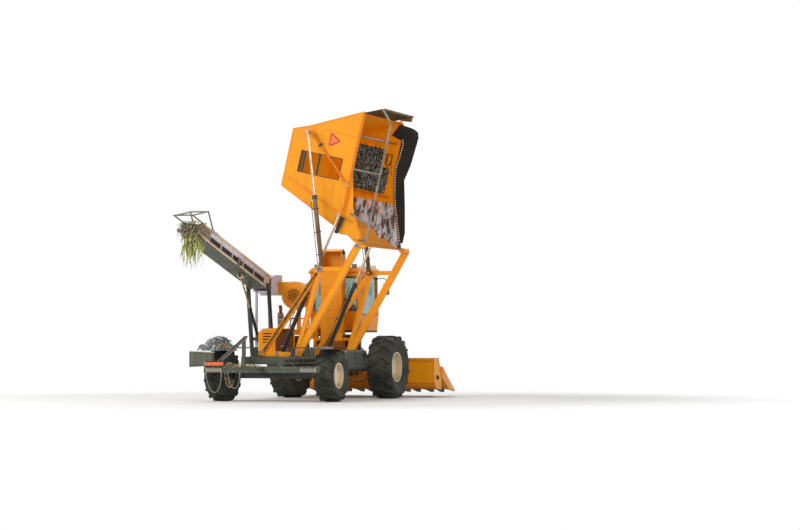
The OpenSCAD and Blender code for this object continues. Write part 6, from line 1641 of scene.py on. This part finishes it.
piece("cover_borders", [
    border((1582, 1040), (2092, 1880), 30, sideways, 1450, 0.009, 0.006, (0, 1, 0)),
    border((2108, 1040), (3018, 1880), 30, sideways, 1450, 0.009, 0.006, (0, 1, 0)),
    border((1000, 1060), (1330, 1980), 30, lambda a, b, c: station(c, a, b), 1560, 0.009, 0.006, (-1, 0, 0))],
    "orange", smooth=35)
latches, hinges = [], []
for x in (1620, 2060, 2150, 2970):
    latches.append(
        turnedForm([(0, 0.024), (0.006, 0.024), (0.009, 0.02), (0.009, 0.0005)], station(x, 1450.5, 1460), (0, 1, 0),
            20))
    latches.append(boxShape((x - 16, 1458, 1456), (x + 16, 1466, 1464), station, 1.5))
for x in (1700, 1970, 2300, 2820):
    hinges.append(swept(station([x - 45, x + 45], 1455, 1893), circle(0.009, 10)))
    hinges.append(boxShape((x - 40, 1449.5, 1850), (x + 40, 1454, 1890), station, 1))
piece("cover_latches", latches, "bolt")
piece("cover_hinges", hinges, "blackBarrel", smooth=35)
topRibs = [swept(station([1640, 1680, 2820, 2860], y, 2050), ridgeOutline(0.025, 0.012, -0.002, 0.009),
                 scale=np.array([[1, 0.1], [1, 1], [1, 1], [1, 0.1]])) for y in (1010, 1110, 1210)]
edgeX = np.arange(1600, 3020, 180)
edgeBolts = station(np.tile(edgeX, 2), 1450, np.repeat([1024, 1898], len(edgeX)))
piece("cover_top_ribs", topRibs, "orange", smooth=35)
piece("cover_bolts", bolts(0.02, (0, 1, 0), edgeBolts), "bolt")

# engine under the cover, seen through the slots and from the open side
engine = [boxShape((1700, 1010, 1900.4), (2500, 1330, 1960), station, 12)]
engine += [turnedForm([(-0.002, 0.03), (0.02, 0.03), (0.026, 0.022), (0.026, 0.0005)],
               station(1770 + 130 * k, 1170, 1960), (0, 0, 1), 18) for k in range(6)]
engine += [swept(smoothPath(station([1740 + 130 * k, 1740 + 130 * k], [1400.5, 1420], [1720, 1730]), 2),
                 circle(0.03, 12), up=(0, 0, 1)) for k in range(6)]
piece("engine_parts", engine, "iron", smooth=40)
piece("engine_pulleys", [
    turnedForm([(0, 0.11), (0.006, 0.118), (0.014, 0.1), (0.022, 0.118), (0.03, 0.1), (0.036, 0.118), (0.042, 0.11),
                (0.044, 0.04), (0.06, 0.036), (0.06, 0.0005)], station(1649.5, y, z), (-1, 0, 0), 36)
    for y, z in ((1180, 1240), (1180, 1560), (1330, 1400))], "steel", smooth=40)
loop = np.array([
    (1180 - 105, 1240), (1180 - 105, 1560), (1180, 1668), (1285, 1600), (1428, 1430), (1428, 1370), (1285, 1160),
    (1180, 1132)])
piece("engine_belt",
      swept(station(1630, *np.concatenate([loop, loop[:1]]).T), bandOutline(0.006, -0.007, 0.007), up=(1, 0, 0)),
      "rubber", smooth=40)

# exhaust: band clamps, a perforated heat guard and the rain flap
stackX, stackY = 2940, 1330
stack = []
for z in (2135, 2505):
    stack.append(turnedForm(ridgeOutline(0.012, 0.011, 0.078, 0.084), station(stackX, stackY, z), (0, 0, 1), 36))
    stack.append(boxShape((stackX - 12, stackY + 80, z - 9), (stackX + 12, stackY + 106, z + 9), station, 2))
stack.append(turnedForm(ridgeOutline(0.006, 0.004, 0.049, 0.056), station(stackX, stackY, 2672), (0, 0, 1), 32))
flap = turnedForm([(-0.003, 0.0005), (-0.003, 0.056), (0.0, 0.058), (0.003, 0.056), (0.003, 0.0005)],
                  station(stackX - 32, stackY, 2716), (-0.62, 0, 1), 32)
piece("exhaust_fittings", [*stack, flap, boxShape((2976, 1316, 2668), (2998, 1344, 2712), station, 2)],
      "iron", smooth=40)
a = np.linspace(0, 2 * math.pi, 22, endpoint=False)
guard = [rodsBetween(station(stackX + 92 * np.cos(a), stackY + 92 * np.sin(a), 2160),
                     station(stackX + 92 * np.cos(a), stackY + 92 * np.sin(a), 2480), 0.003, 6)]
guard += [turnedForm(ridgeOutline(0.008, 0.008, 0.0895, 0.0955), station(stackX, stackY, z), (0, 0, 1), 36)
          for z in (2170, 2320, 2470)]
piece("exhaust_guard", guard, "steel", smooth=50)

# fuel tank: straps, filler cap, sight tube and seams
straps = []
for x in (1180, 1900, 2620):
    line = roundedBox((-1443, 857), (-757, 1433), 88, 8)
    straps.append(
        swept(station(x, line[:, 0], line[:, 1]), [
            (-0.0015, -0.03), (0.004, -0.03), (0.004, 0.03), (-0.0015, 0.03)], up=(1, 0, 0), closed=True))
piece("tank_straps", straps, "blackBarrel", smooth=40)
piece("tank_cap", [
    turnedForm([(-0.04, 0.056), (-0.002, 0.062), (0.004, 0.066), (0.02, 0.066), (0.026, 0.06), (0.03, 0.03),
                (0.03, 0.0005)], station(2600, -1475, 1300), (0, -1, 0), 30),
    boxShape((2592, -1512, 1250), (2608, -1504, 1350), station, 2)], "plastic", smooth=40)
piece("tank_sight_tube", [
    swept(smoothPath(station([1060, 1060, 1060, 1060], [-1440, -1462, -1462, -1440], [900, 930, 1360, 1390]), 5),
          circle(0.008, 10), up=(1, 0, 0)),
    *[turnedForm([(0, 0.014), (0.012, 0.014), (0.014, 0.01), (0.02, 0.01)], station(1060, -1440, z), (0, -1, 0), 6)
      for z in (900, 1390)]],
    "clearLens", smooth=50)
piece("tank_seams", [
    swept(station(x, [-1352, -848], [1431, 1431]), ridgeOutline(0.006, 0.002, -0.002, 0.003)) for x in (1010, 2790)],
    "dark", smooth=40)

# fan housing: inlet guard of rings and spokes, wheel behind it, and rims with their bolts
fanY, fanZ = 1180, 3050
inlet = []
for r in np.linspace(40, 185, body["guardRings"]):
    b = np.linspace(0, 2 * math.pi, 40)
    inlet.append(swept(station(3592, fanY + r * np.cos(b[:-1]), fanZ + r * np.sin(b[:-1])), circle(0.0035, 6),
                       up=(1, 0, 0), closed=True))
b = np.arange(8) * math.pi / 4
inlet.append(rodsBetween(station(3596, fanY + 20 * np.cos(b), fanZ + 20 * np.sin(b)),
                         station(3596, fanY + 205 * np.cos(b), fanZ + 205 * np.sin(b)), 0.0045, 6))
piece("fan_guard", inlet, "darkWire", smooth=50)


def fanBlade(angle):
    c, s = math.cos(angle), math.sin(angle)

    def place(p, q, w):
        # out from the shaft, across the blade and forward
        p, q = np.asarray(p), np.asarray(q)
        return station(w, fanY + p * c - q * s, fanZ + p * s + q * c)

    return boxShape((30, -3, 3626), (180, 3, 3674), place, 1)


piece("fan_wheel", [
    *[fanBlade(k * math.pi / 3) for k in range(6)],
    turnedForm([(0, 0.05), (0.04, 0.05), (0.046, 0.04), (0.046, 0.0005)], station(3676, fanY, fanZ), (-1, 0, 0), 24)],
    "iron", smooth=40)
piece("fan_rims", [
    turnedForm(ridgeOutline(0.006, 0.004, 0.398, 0.41), station(x, fanY, fanZ), (1, 0, 0), 64) for x in (3630, 3920)],
    "orange", smooth=40)
piece("fan_bolts", [
    boltRing(station(3620, fanY, fanZ), (-1, 0, 0), 0.37, 16, 0.02),
    boltRing(station(3595, fanY, fanZ), (-1, 0, 0), 0.203, 8, 0.014)], "bolt")

# elevator leg: flanged joints with bolts, an inspection door, and the shafts' bearings
legRear, legFront = 3620, 3930
joints = []
for z in (2400, 3300, 4150):
    for y in (-331, 331):
        low, high = sorted((y, y + math.copysign(14, y)))
        joints.append(boxShape((legRear + 6, low, z - 20), (legFront - 6, high, z - 4), station, 1.5))
        joints.append(boxShape((legRear + 6, low, z + 4), (legFront - 6, high, z + 20), station, 1.5))
    joints.append(boxShape((legRear - 14, -340, z - 20), (legRear - 0.5, 340, z - 4), station, 1.5) if z < 3500
                  else boxShape((legRear + 6, 331, z + 22), (legFront - 6, 334, z + 40), station, 0.8))
piece("elevator_flanges", joints, "orange")
spots = []
for z in (2400, 3300, 4150):
    for y, face in ((-345, -1), (345, 1)):
        spots.append(
            bolts(0.018, (0, face, 0), station(np.linspace(legRear + 30, legFront - 30, 4), y - face * 0.5, z + 12)))
piece("elevator_bolts", spots, "bolt")
piece("elevator_hatch", [
    border((-220, 2620), (220, 3120), 30, lambda a, b, c: station(c, a, b), legRear - 0.5, 0.01, 0.007, (-1, 0, 0)),
    boxShape((legRear - 22, -30, 2880), (legRear - 2, 30, 2896), station, 3),
    boxShape((legRear - 22, -30, 2840), (legRear - 2, -22, 2896), station, 2)], "orange", smooth=35)
shaft = []
for y, face in ((-331, -1), (331, 1)):
    for z in (4300, 1800):
        centre = station(3775, y, z)
        shaft.append(
            turnedForm([(0, 0.07), (0.01, 0.07), (0.014, 0.05), (0.036, 0.046), (0.04, 0.028), (0.052, 0.026),
                        (0.052, 0.0005)], centre, (0, face, 0), 28))
        shaft.append(boltRing(centre + np.array([0, face * 0.01, 0]), (0, face, 0), 0.06, 4, 0.016, 0.8))
piece("elevator_bearings", shaft, "blackBarrel", smooth=35)

# hopper: swaged sides, rim angle and bolts
hopper = []
for x in np.linspace(3180, 3560, 4):
    for y, up in ((1709.5, (0, -1, 0)), (2300.5, (0, 1, 0))):
        hopper.append(swept(station([x, x], y, [3140, 3560]), ridgeOutline(0.012, 0.005, -0.002, 0.005), up=up))
for y in (1716, 2294):
    hopper.append(swept(station([3132, 3622], y, [3571, 3651]), bandOutline(0.014, -0.003, 0.012)))
hopper.append(swept(station(3775, [1706, 2300], 3650), bandOutline(0.16, -0.002, 0.004)))
piece("hopper_swages", hopper, "lilac", smooth=35)
hopperBolts = station(np.tile(np.linspace(3640, 3910, 4), 2), np.repeat([1709.5, 2300.5], 4), 3560)
facing = np.repeat([[0, -1, 0], [0, 1, 0]], 4, axis=0)
piece("hopper_bolts", bolts(0.02, facing.astype(float), hopperBolts), "bolt")

# frame rails: bolts along both, and a pipe bundle with its clips along one
railSpots = np.concatenate([
    along((-1400, 1210), (4500, 1210), body["frameBolts"]),
    along((-1400, 1070), (4500, 1070), body["frameBolts"] * 2)])
piece("frame_bolts", [
    bolts(0.026, (0, face, 0), station(railSpots[:, 0], face * 610, railSpots[:, 1])) for face in (-1, 1)], "bolt")
bundle = []
for k in range(3):
    bundle.append(
        swept(station([-1300, -1100, 800], [-612 - 10, -612 - 10, -612 - 10], [1110 + 24 * k] * 3),
              circle(0.008, 10)))
for x in np.arange(-1250, 800, 340.0):
    bundle.append(boxShape((x - 12, -634, 1094), (x + 12, -610.4, 1174), station, 3))
piece("frame_pipes", bundle, "blackBarrel", smooth=45)

# axles: final drives with bolt circles, hub plates, steering cylinder and its rod on the rear axle
drive = []
for s in (-1, 1):
    drive.append(boltRing(station(4250, s * 1180, 925), (0, s, 0), 0.18, 14, 0.024))
    drive.append(
        turnedForm([(-0.004, 0.2), (0.004, 0.2), (0.006, 0.19), (0.006, 0.15)], station(4250, s * 1184, 925),
            (0, s, 0), 40))
piece("final_drives", drive, "pipe", smooth=35)
piece("steering_cylinder", [
    swept(station(-640, [-330, 330], 800), circle(0.045, 24), up=(0, 0, 1)),
    swept(station(-640, [-760, 760], 800), circle(0.02, 16), up=(0, 0, 1)),
    *[boxShape((-640, y - 30, 760), (-589, y + 30, 840), station, 4) for y in (-260, 260)]], "blackBarrel", smooth=40)
print("body done")

# head
header = {"rows": 6, "pitch": 762.0, "chainPitch": 46, "flightTurns": 7}
rowsY = (np.arange(header["rows"]) - 2.5) * header["pitch"]
snoutsY = (np.arange(header["rows"] + 1) - 3) * header["pitch"]

# cross auger: a helical ribbon on each half, opposed so that both feed the middle; its edge stands proud of the collars
augerX, augerZ = 6330, 590


def helix(y0, y1, turns, hand):
    # height above the axis r, place along y(t), angle = hand * 2 pi turns t
    t = np.linspace(0, 1, 26 * turns)
    a = hand * 2 * math.pi * turns * t
    centre = station(augerX, y0 + (y1 - y0) * t, augerZ)
    rings = []
    for r, w in ((0.088, -0.003), (0.244, -0.0015), (0.244, 0.0015), (0.088, 0.003)):
        rings.append(centre + np.stack([r * np.cos(a), np.full_like(a, w), r * np.sin(a)], -1))
    return tubes(np.stack(rings, 1)[None])


piece("auger_flights", [
    helix(340, 2330, header["flightTurns"], 1), helix(-340, -2330, header["flightTurns"], -1)], "steel", "head_auger",
    50, slot="lilac_paint")
piece("auger_fingers", [
    rodsBetween(station(augerX, y, augerZ), station(augerX + 235 * math.cos(a), y, augerZ + 235 * math.sin(a)), 0.009,
                8)
    for y, a in zip(np.linspace(-270, 270, 7), np.linspace(0, 5.4, 7))], "steel", "head_auger", 40)

# snouts: edge bands, a seam over the crown, hinge bolts, and a steel shoe under each tip
bands, hingeBolts, shoes = [], [], []
for y in snoutsY:
    for s in (-1, 1):
        bands.append(
            swept(station([6735, 6950, 7500, 8140], y + s * np.array([112, 111, 88, 24]), [906, 640, 330, 172]),
                  bandOutline(0.004, -0.012, 0.012), up=(0, s * 1.0, 0.2)))
    crown = smoothPath(station([6730, 6950, 7500, 8185], y, [921, 771, 441, 205]), 5)
    bands.append(swept(crown, ridgeOutline(0.014, 0.006, -0.003, 0.006)))
    hingeBolts.append(
        bolts(0.018, (0.55, 0, 0.84),
              station([6800, 6800, 6880, 6880], y + np.array([-70, 70, -70, 70]), [866, 866, 812, 812])))
    shoes.append(
        swept(station([7960, 8100, 8190], y, [170, 141, 141]), bandOutline(0.026, -0.004, 0.004),
              scale=np.array([[1.5, 1], [1, 1], [0.6, 1]])))
piece("snout_bands", bands, "orange", "head", 40)
piece("snout_bolts", hingeBolts, "bolt", "head")
piece("snout_shoes", shoes, "steel", "head", 35)

# gathering chains along both sides of each row, with lugs and their sprockets, over the row units
links, lugs, sprockets = [], [], []
chainAhead, chainUp = np.array([860, 0, -283]) / 905, np.array([283, 0, 860]) / 905
for y in rowsY:
    for s in (-1, 1):
        x = np.arange(6800, 7600, header["chainPitch"])
        z = 558 + (x - 6760) * (275 - 558) / 860 + 40
        side = y + s * 105
        link = boxShape((-0.019, -0.008, -0.006), (0.019, 0.008, 0.006), lambda a, b, c: np.stack([a, b, c], -1), 0.002)
        links.append(copies(link, np.stack([chainAhead, (0, 1, 0), chainUp], -1), station(x, side, z + 10)))
        k = x[::4]
        lugs.append(joined([boxShape((a - 9, side - s * 4 - (34 if s > 0 else 0), b + 6),
                                     (a + 9, side - s * 4 + (34 if s < 0 else 0), b + 18), station, 2)
                            for a, b in zip(k, z[::4])]))
        for a, b in ((6800, 598), (7600, 335)):
            sprockets.append(
                turnedForm([(-0.004, 0.046), (0.0, 0.05), (0.008, 0.05), (0.012, 0.02), (0.02, 0.018), (0.02, 0.0005)],
                           station(a, y + s * 150, b), chainUp, 20))
piece("gathering_chains", links, "iron", "head", 40)
piece("chain_lugs", lugs, "steel", "head", 40)
piece("chain_sprockets", sprockets, "iron", "head", 40)
rolls = []
for y in rowsY:
    for s in (-1, 1):
        rolls.append(
            turnedForm([(0.0, 0.024), (0.01, 0.034), (0.7, 0.034), (0.78, 0.01), (0.79, 0.0005)],
                station(6790, y + s * 58, 400), (940, 0, -190), 12))
        for k in range(4):
            c, q = math.cos(k * math.pi / 2), math.sin(k * math.pi / 2)
            up = np.array([0.198, 0, 0.98])
            off = (np.array([0, 1.0, 0]) * c + up * q) * 0.037
            a = station(6800, y + s * 58, 398) + off
            rolls.append(rodsBetween(a, a + np.array([0.64, 0, -0.129]), 0.006, 4))
piece("snapping_rolls", rolls, "steel", "head", 35)

# back sheet: pressed ribs, a row of bolts along its top, the end sheets' rims and bolts, a bearing with its bolts, and
# a chain guard
piece("head_back_ribs", [
    swept(station([6052, 6040, 6040], y, [1100, 1000, 560]), ridgeOutline(0.022, 0.01, -0.002, 0.008), up=(1, 0, 0))
    for y in np.arange(-2280, 2290, 190.0) if abs(y) > 470], "orange", "head", 35)
ends = []
line = np.array([(6020, 1180), (6020, 500), (6220, 260), (6700, 230), (6700, 560), (6440, 1180)], float)
for s in (-1, 1):
    ends.append(swept(station(line[:, 0], s * 2381, line[:, 1]), bandOutline(0.012, -0.004, 0.008), up=(0, s, 0),
                      closed=True))
piece("end_sheet_rims", ends, "orange", "head")
bearing = turnedForm([
    (0.0, 0.075), (0.012, 0.075), (0.016, 0.055), (0.04, 0.05), (0.044, 0.03), (0.06, 0.028), (0.06, 0.0005)],
    station(augerX, -2380, augerZ), (0, -1, 0), 28)
guard = slab([(6120, 560), (6250, 470), (6420, 480), (6520, 620), (6440, 760), (6220, 800)], 2386, 2440, sideways, 10)
piece("auger_bearings", [
    bearing, boltRing(station(augerX, -2392, augerZ), (0, -1, 0), 0.062, 4, 0.018, 0.8)], "blackBarrel", "head", 35)
piece("chain_guard", guard, "dark", "head")
spots = along((-2340, 1140), (2340, 1140), 260)
piece("head_bolts", [
    bolts(0.026, (-1, 0, 0), station(5980, spots[:, 0], spots[:, 1])),
    *[bolts(0.02, (0, s, 0), station([6060, 6060, 6060, 6200, 6440, 6660], s * 2389, [560, 800, 1120, 310, 262, 300]))
      for s in (-1, 1)]], "bolt", "head")

# feeder house: side stiffeners, a drive shaft with its collars and hangers, and a hatch with its bolts
l = math.hypot(1960, -860)
fwd, fup = np.array([1960, -860]) / l, np.array([860, 1960]) / l


def onFeeder(a, b, c):
    # along the house from its pivot, across, and square off its centre line
    a, b, c = np.broadcast_arrays(*(np.asarray(k, float) for k in (a, b, c)))
    return station(4080 + a * fwd[0] + c * fup[0], b, 1650 + a * fwd[1] + c * fup[1])


def besideFeeder(a, b, c):
    return onFeeder(a, c, b)


stiff = []
for s in (-1, 1):
    low, high = sorted((s * 430.5, s * 444))
    for a in (300, 720, 1140, 1560):
        stiff.append(boxShape((a - 14, -232, low), (a + 14, 232, high), besideFeeder, 2))
    stiff.append(boxShape((160, 222, low), (1880, 238, high), besideFeeder, 2))
    stiff.append(boxShape((160, -238, low), (1880, -222, high), besideFeeder, 2))
piece("feeder_stiffeners", stiff, "orange", "head")
piece("feeder_shaft", [
    rodsBetween(onFeeder(380, 500, 60), onFeeder(1700, 500, 60), 0.026, 14),
    *[turnedForm(ridgeOutline(0.05, 0.046, 0.03, 0.046), onFeeder(a, 500, 60), onFeeder(1, 0, 0) - onFeeder(0, 0, 0),
                 20) for a in (400, 1680)],
    *[boxShape((a - 24, 444.4, 30), (a + 24, 520, 90), onFeeder, 4) for a in (480, 1600)]], "pipe", "head", 40)
piece("feeder_hatch", slab(roundedBox((700, -150), (1240, 40), 40), 444.5, 452, besideFeeder, 3), "dark", "head")
hatchSpots = np.array([(730, -120), (1210, -120), (730, 10), (1210, 10)], float)
piece("feeder_bolts", bolts(0.02, (0, 1, 0), besideFeeder(hatchSpots[:, 0], hatchSpots[:, 1], 452)), "bolt", "head")
print("head done")

# hoses
hoses = {"radius": 0.014, "ferrule": 0.019, "outer": [
    (1680, 805), (1676, 760), (1664, 690), (1644, 600), (1614, 500), (1574, 400), (1524, 320), (1464, 270), (1400, 258),
    (1340, 285), (1292, 345), (1256, 430), (1232, 530), (1216, 640), (1208, 740), (1206, 805)], "inner": [
    (1010, 805), (1006, 760), (994, 690), (974, 600), (946, 510), (908, 435), (860, 390), (806, 378), (754, 400),
    (712, 455), (682, 530), (664, 620), (654, 715), (652, 805)]}


def hangingHose(name, node, route):
    points = np.array(route, float)
    line = station(-1560, points[:, 0], points[:, 1])
    curve = smoothPath(line, 4)
    long = float(np.linalg.norm(np.diff(curve, axis=0), axis=1).sum())
    made = piece(name, swept(curve, circle(hoses["radius"], 14), up=(1.0, 0, 0)), "hoseGrey", smooth=60, stands=(node,))
    for k, end in enumerate((line[0], line[-1])):
        form = turnedForm([
            (0.0, 0.0165), (0.004, hoses["ferrule"]), (0.02, hoses["ferrule"]), (0.022, 0.0165), (0.05, 0.0165),
            (0.055, 0.014)], end + np.array([0, 0, 0.001]), (0, 0, -1), 20)
        nut = turnedForm([(0.0, 0.021), (0.003, 0.024), (0.015, 0.024), (0.018, 0.021)], end, (0, 0, -1), 6)
        piece(f"{name}_ferrule_{k + 1}", [form, nut], "bolt", smooth=35)
    return long


for hoseName, node, key in (("rear_hose_outer", "hose_outer", "outer"), ("rear_hose_inner", "hose_inner", "inner")):
    print(hoseName, "length", round(hangingHose(hoseName, node, hoses[key]), 3))

# stage and light
stageSet = {"floor": (226, 226, 224), "radius": 90.0, "fadeFrom": 7.0, "fadeTo": 14.0, "skyLight": 0.42}


def seenRays(g):
    # 1 for rays that the camera sees straight, in a mirror or through glass
    rays = g.add("LightPath").outputs
    return g.plus(g.plus(rays["Is Camera Ray"], rays["Is Glossy Ray"]), rays["Is Transmission Ray"], clamp=True)


def paleFloor():
    # pale ground that keeps the shadow near the machine and turns to plain white far off
    g = Finish("paleFloor")
    away = g.add("VectorMath", {"operation": "LENGTH"}, i0=g.where).outputs["Value"]
    grain = g.noise(g.where, 30, 3)
    g.set(Base_Color=g.blend(g.times(grain, 0.15), stageSet["floor"], (205, 205, 202)))
    g.set(Roughness=0.85)
    light = g.add("Emission")
    amount = g.times(seenRays(g), g.span(away, stageSet["fadeFrom"], stageSet["fadeTo"]))
    both = g.add("MixShader", Fac=amount, i1=g.shader.outputs[0], i2=light.outputs[0])
    g.tree.links.new(both.outputs[0], g.tree.nodes["Material Output"].inputs[0])
    return g


floorMesh = bpy.data.meshes.new("floor")
ringPoints = np.concatenate([circle(stageSet["radius"], 64), np.zeros((64, 1))], 1)
floorMesh.from_pydata(ringPoints.tolist(), [], [list(range(64))])
floorMesh.materials.append(paleFloor().made)
floor = bpy.data.objects.new("floor", floorMesh)
bpy.context.scene.collection.objects.link(floor)
floor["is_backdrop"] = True

world = bpy.data.worlds.new("studio")
bpy.context.scene.world = world
world.use_nodes = True
g = Graph(world.node_tree)
back = g.add("Background", Color=(1, 1, 1, 1), Strength=g.span(seenRays(g), 0, 1, (stageSet["skyLight"], 1.0), False))
g.tree.links.new(back.outputs[0], g.add("OutputWorld").inputs[0])

lampSet = [  # place in the row frame, what it faces, width, watts
    ((-17, 15, 17), (0, 0, 3), 14, 4300),
    ((-15, -20, 10), (0, 0, 3), 14, 2500),
    ((16, 6, 16), (0, 0, 3), 14, 1900),
]
for n, (spot, aim, wide, power) in enumerate(lampSet):
    lamp = bpy.data.objects.new(f"softLamp{n + 1}", bpy.data.lights.new(f"softLamp{n + 1}", "AREA"))
    lamp.data.size, lamp.data.energy = wide, power
    lamp.location = spot
    turn = frameOf(np.array(spot) - np.array(aim))[0]
    lamp.rotation_euler = mathutils.Matrix(turn.tolist()).to_euler()
    bpy.context.scene.collection.objects.link(lamp)
bpy.context.scene.view_settings.view_transform = "Standard"
print("camera, light and floor set")

# finish
low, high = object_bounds()
{"cad": [list(cadLow), list(cadHigh)], "visual": [list(low), list(high)]}
print("visual size", [round(h - l, 3) for l, h in zip(low, high)])
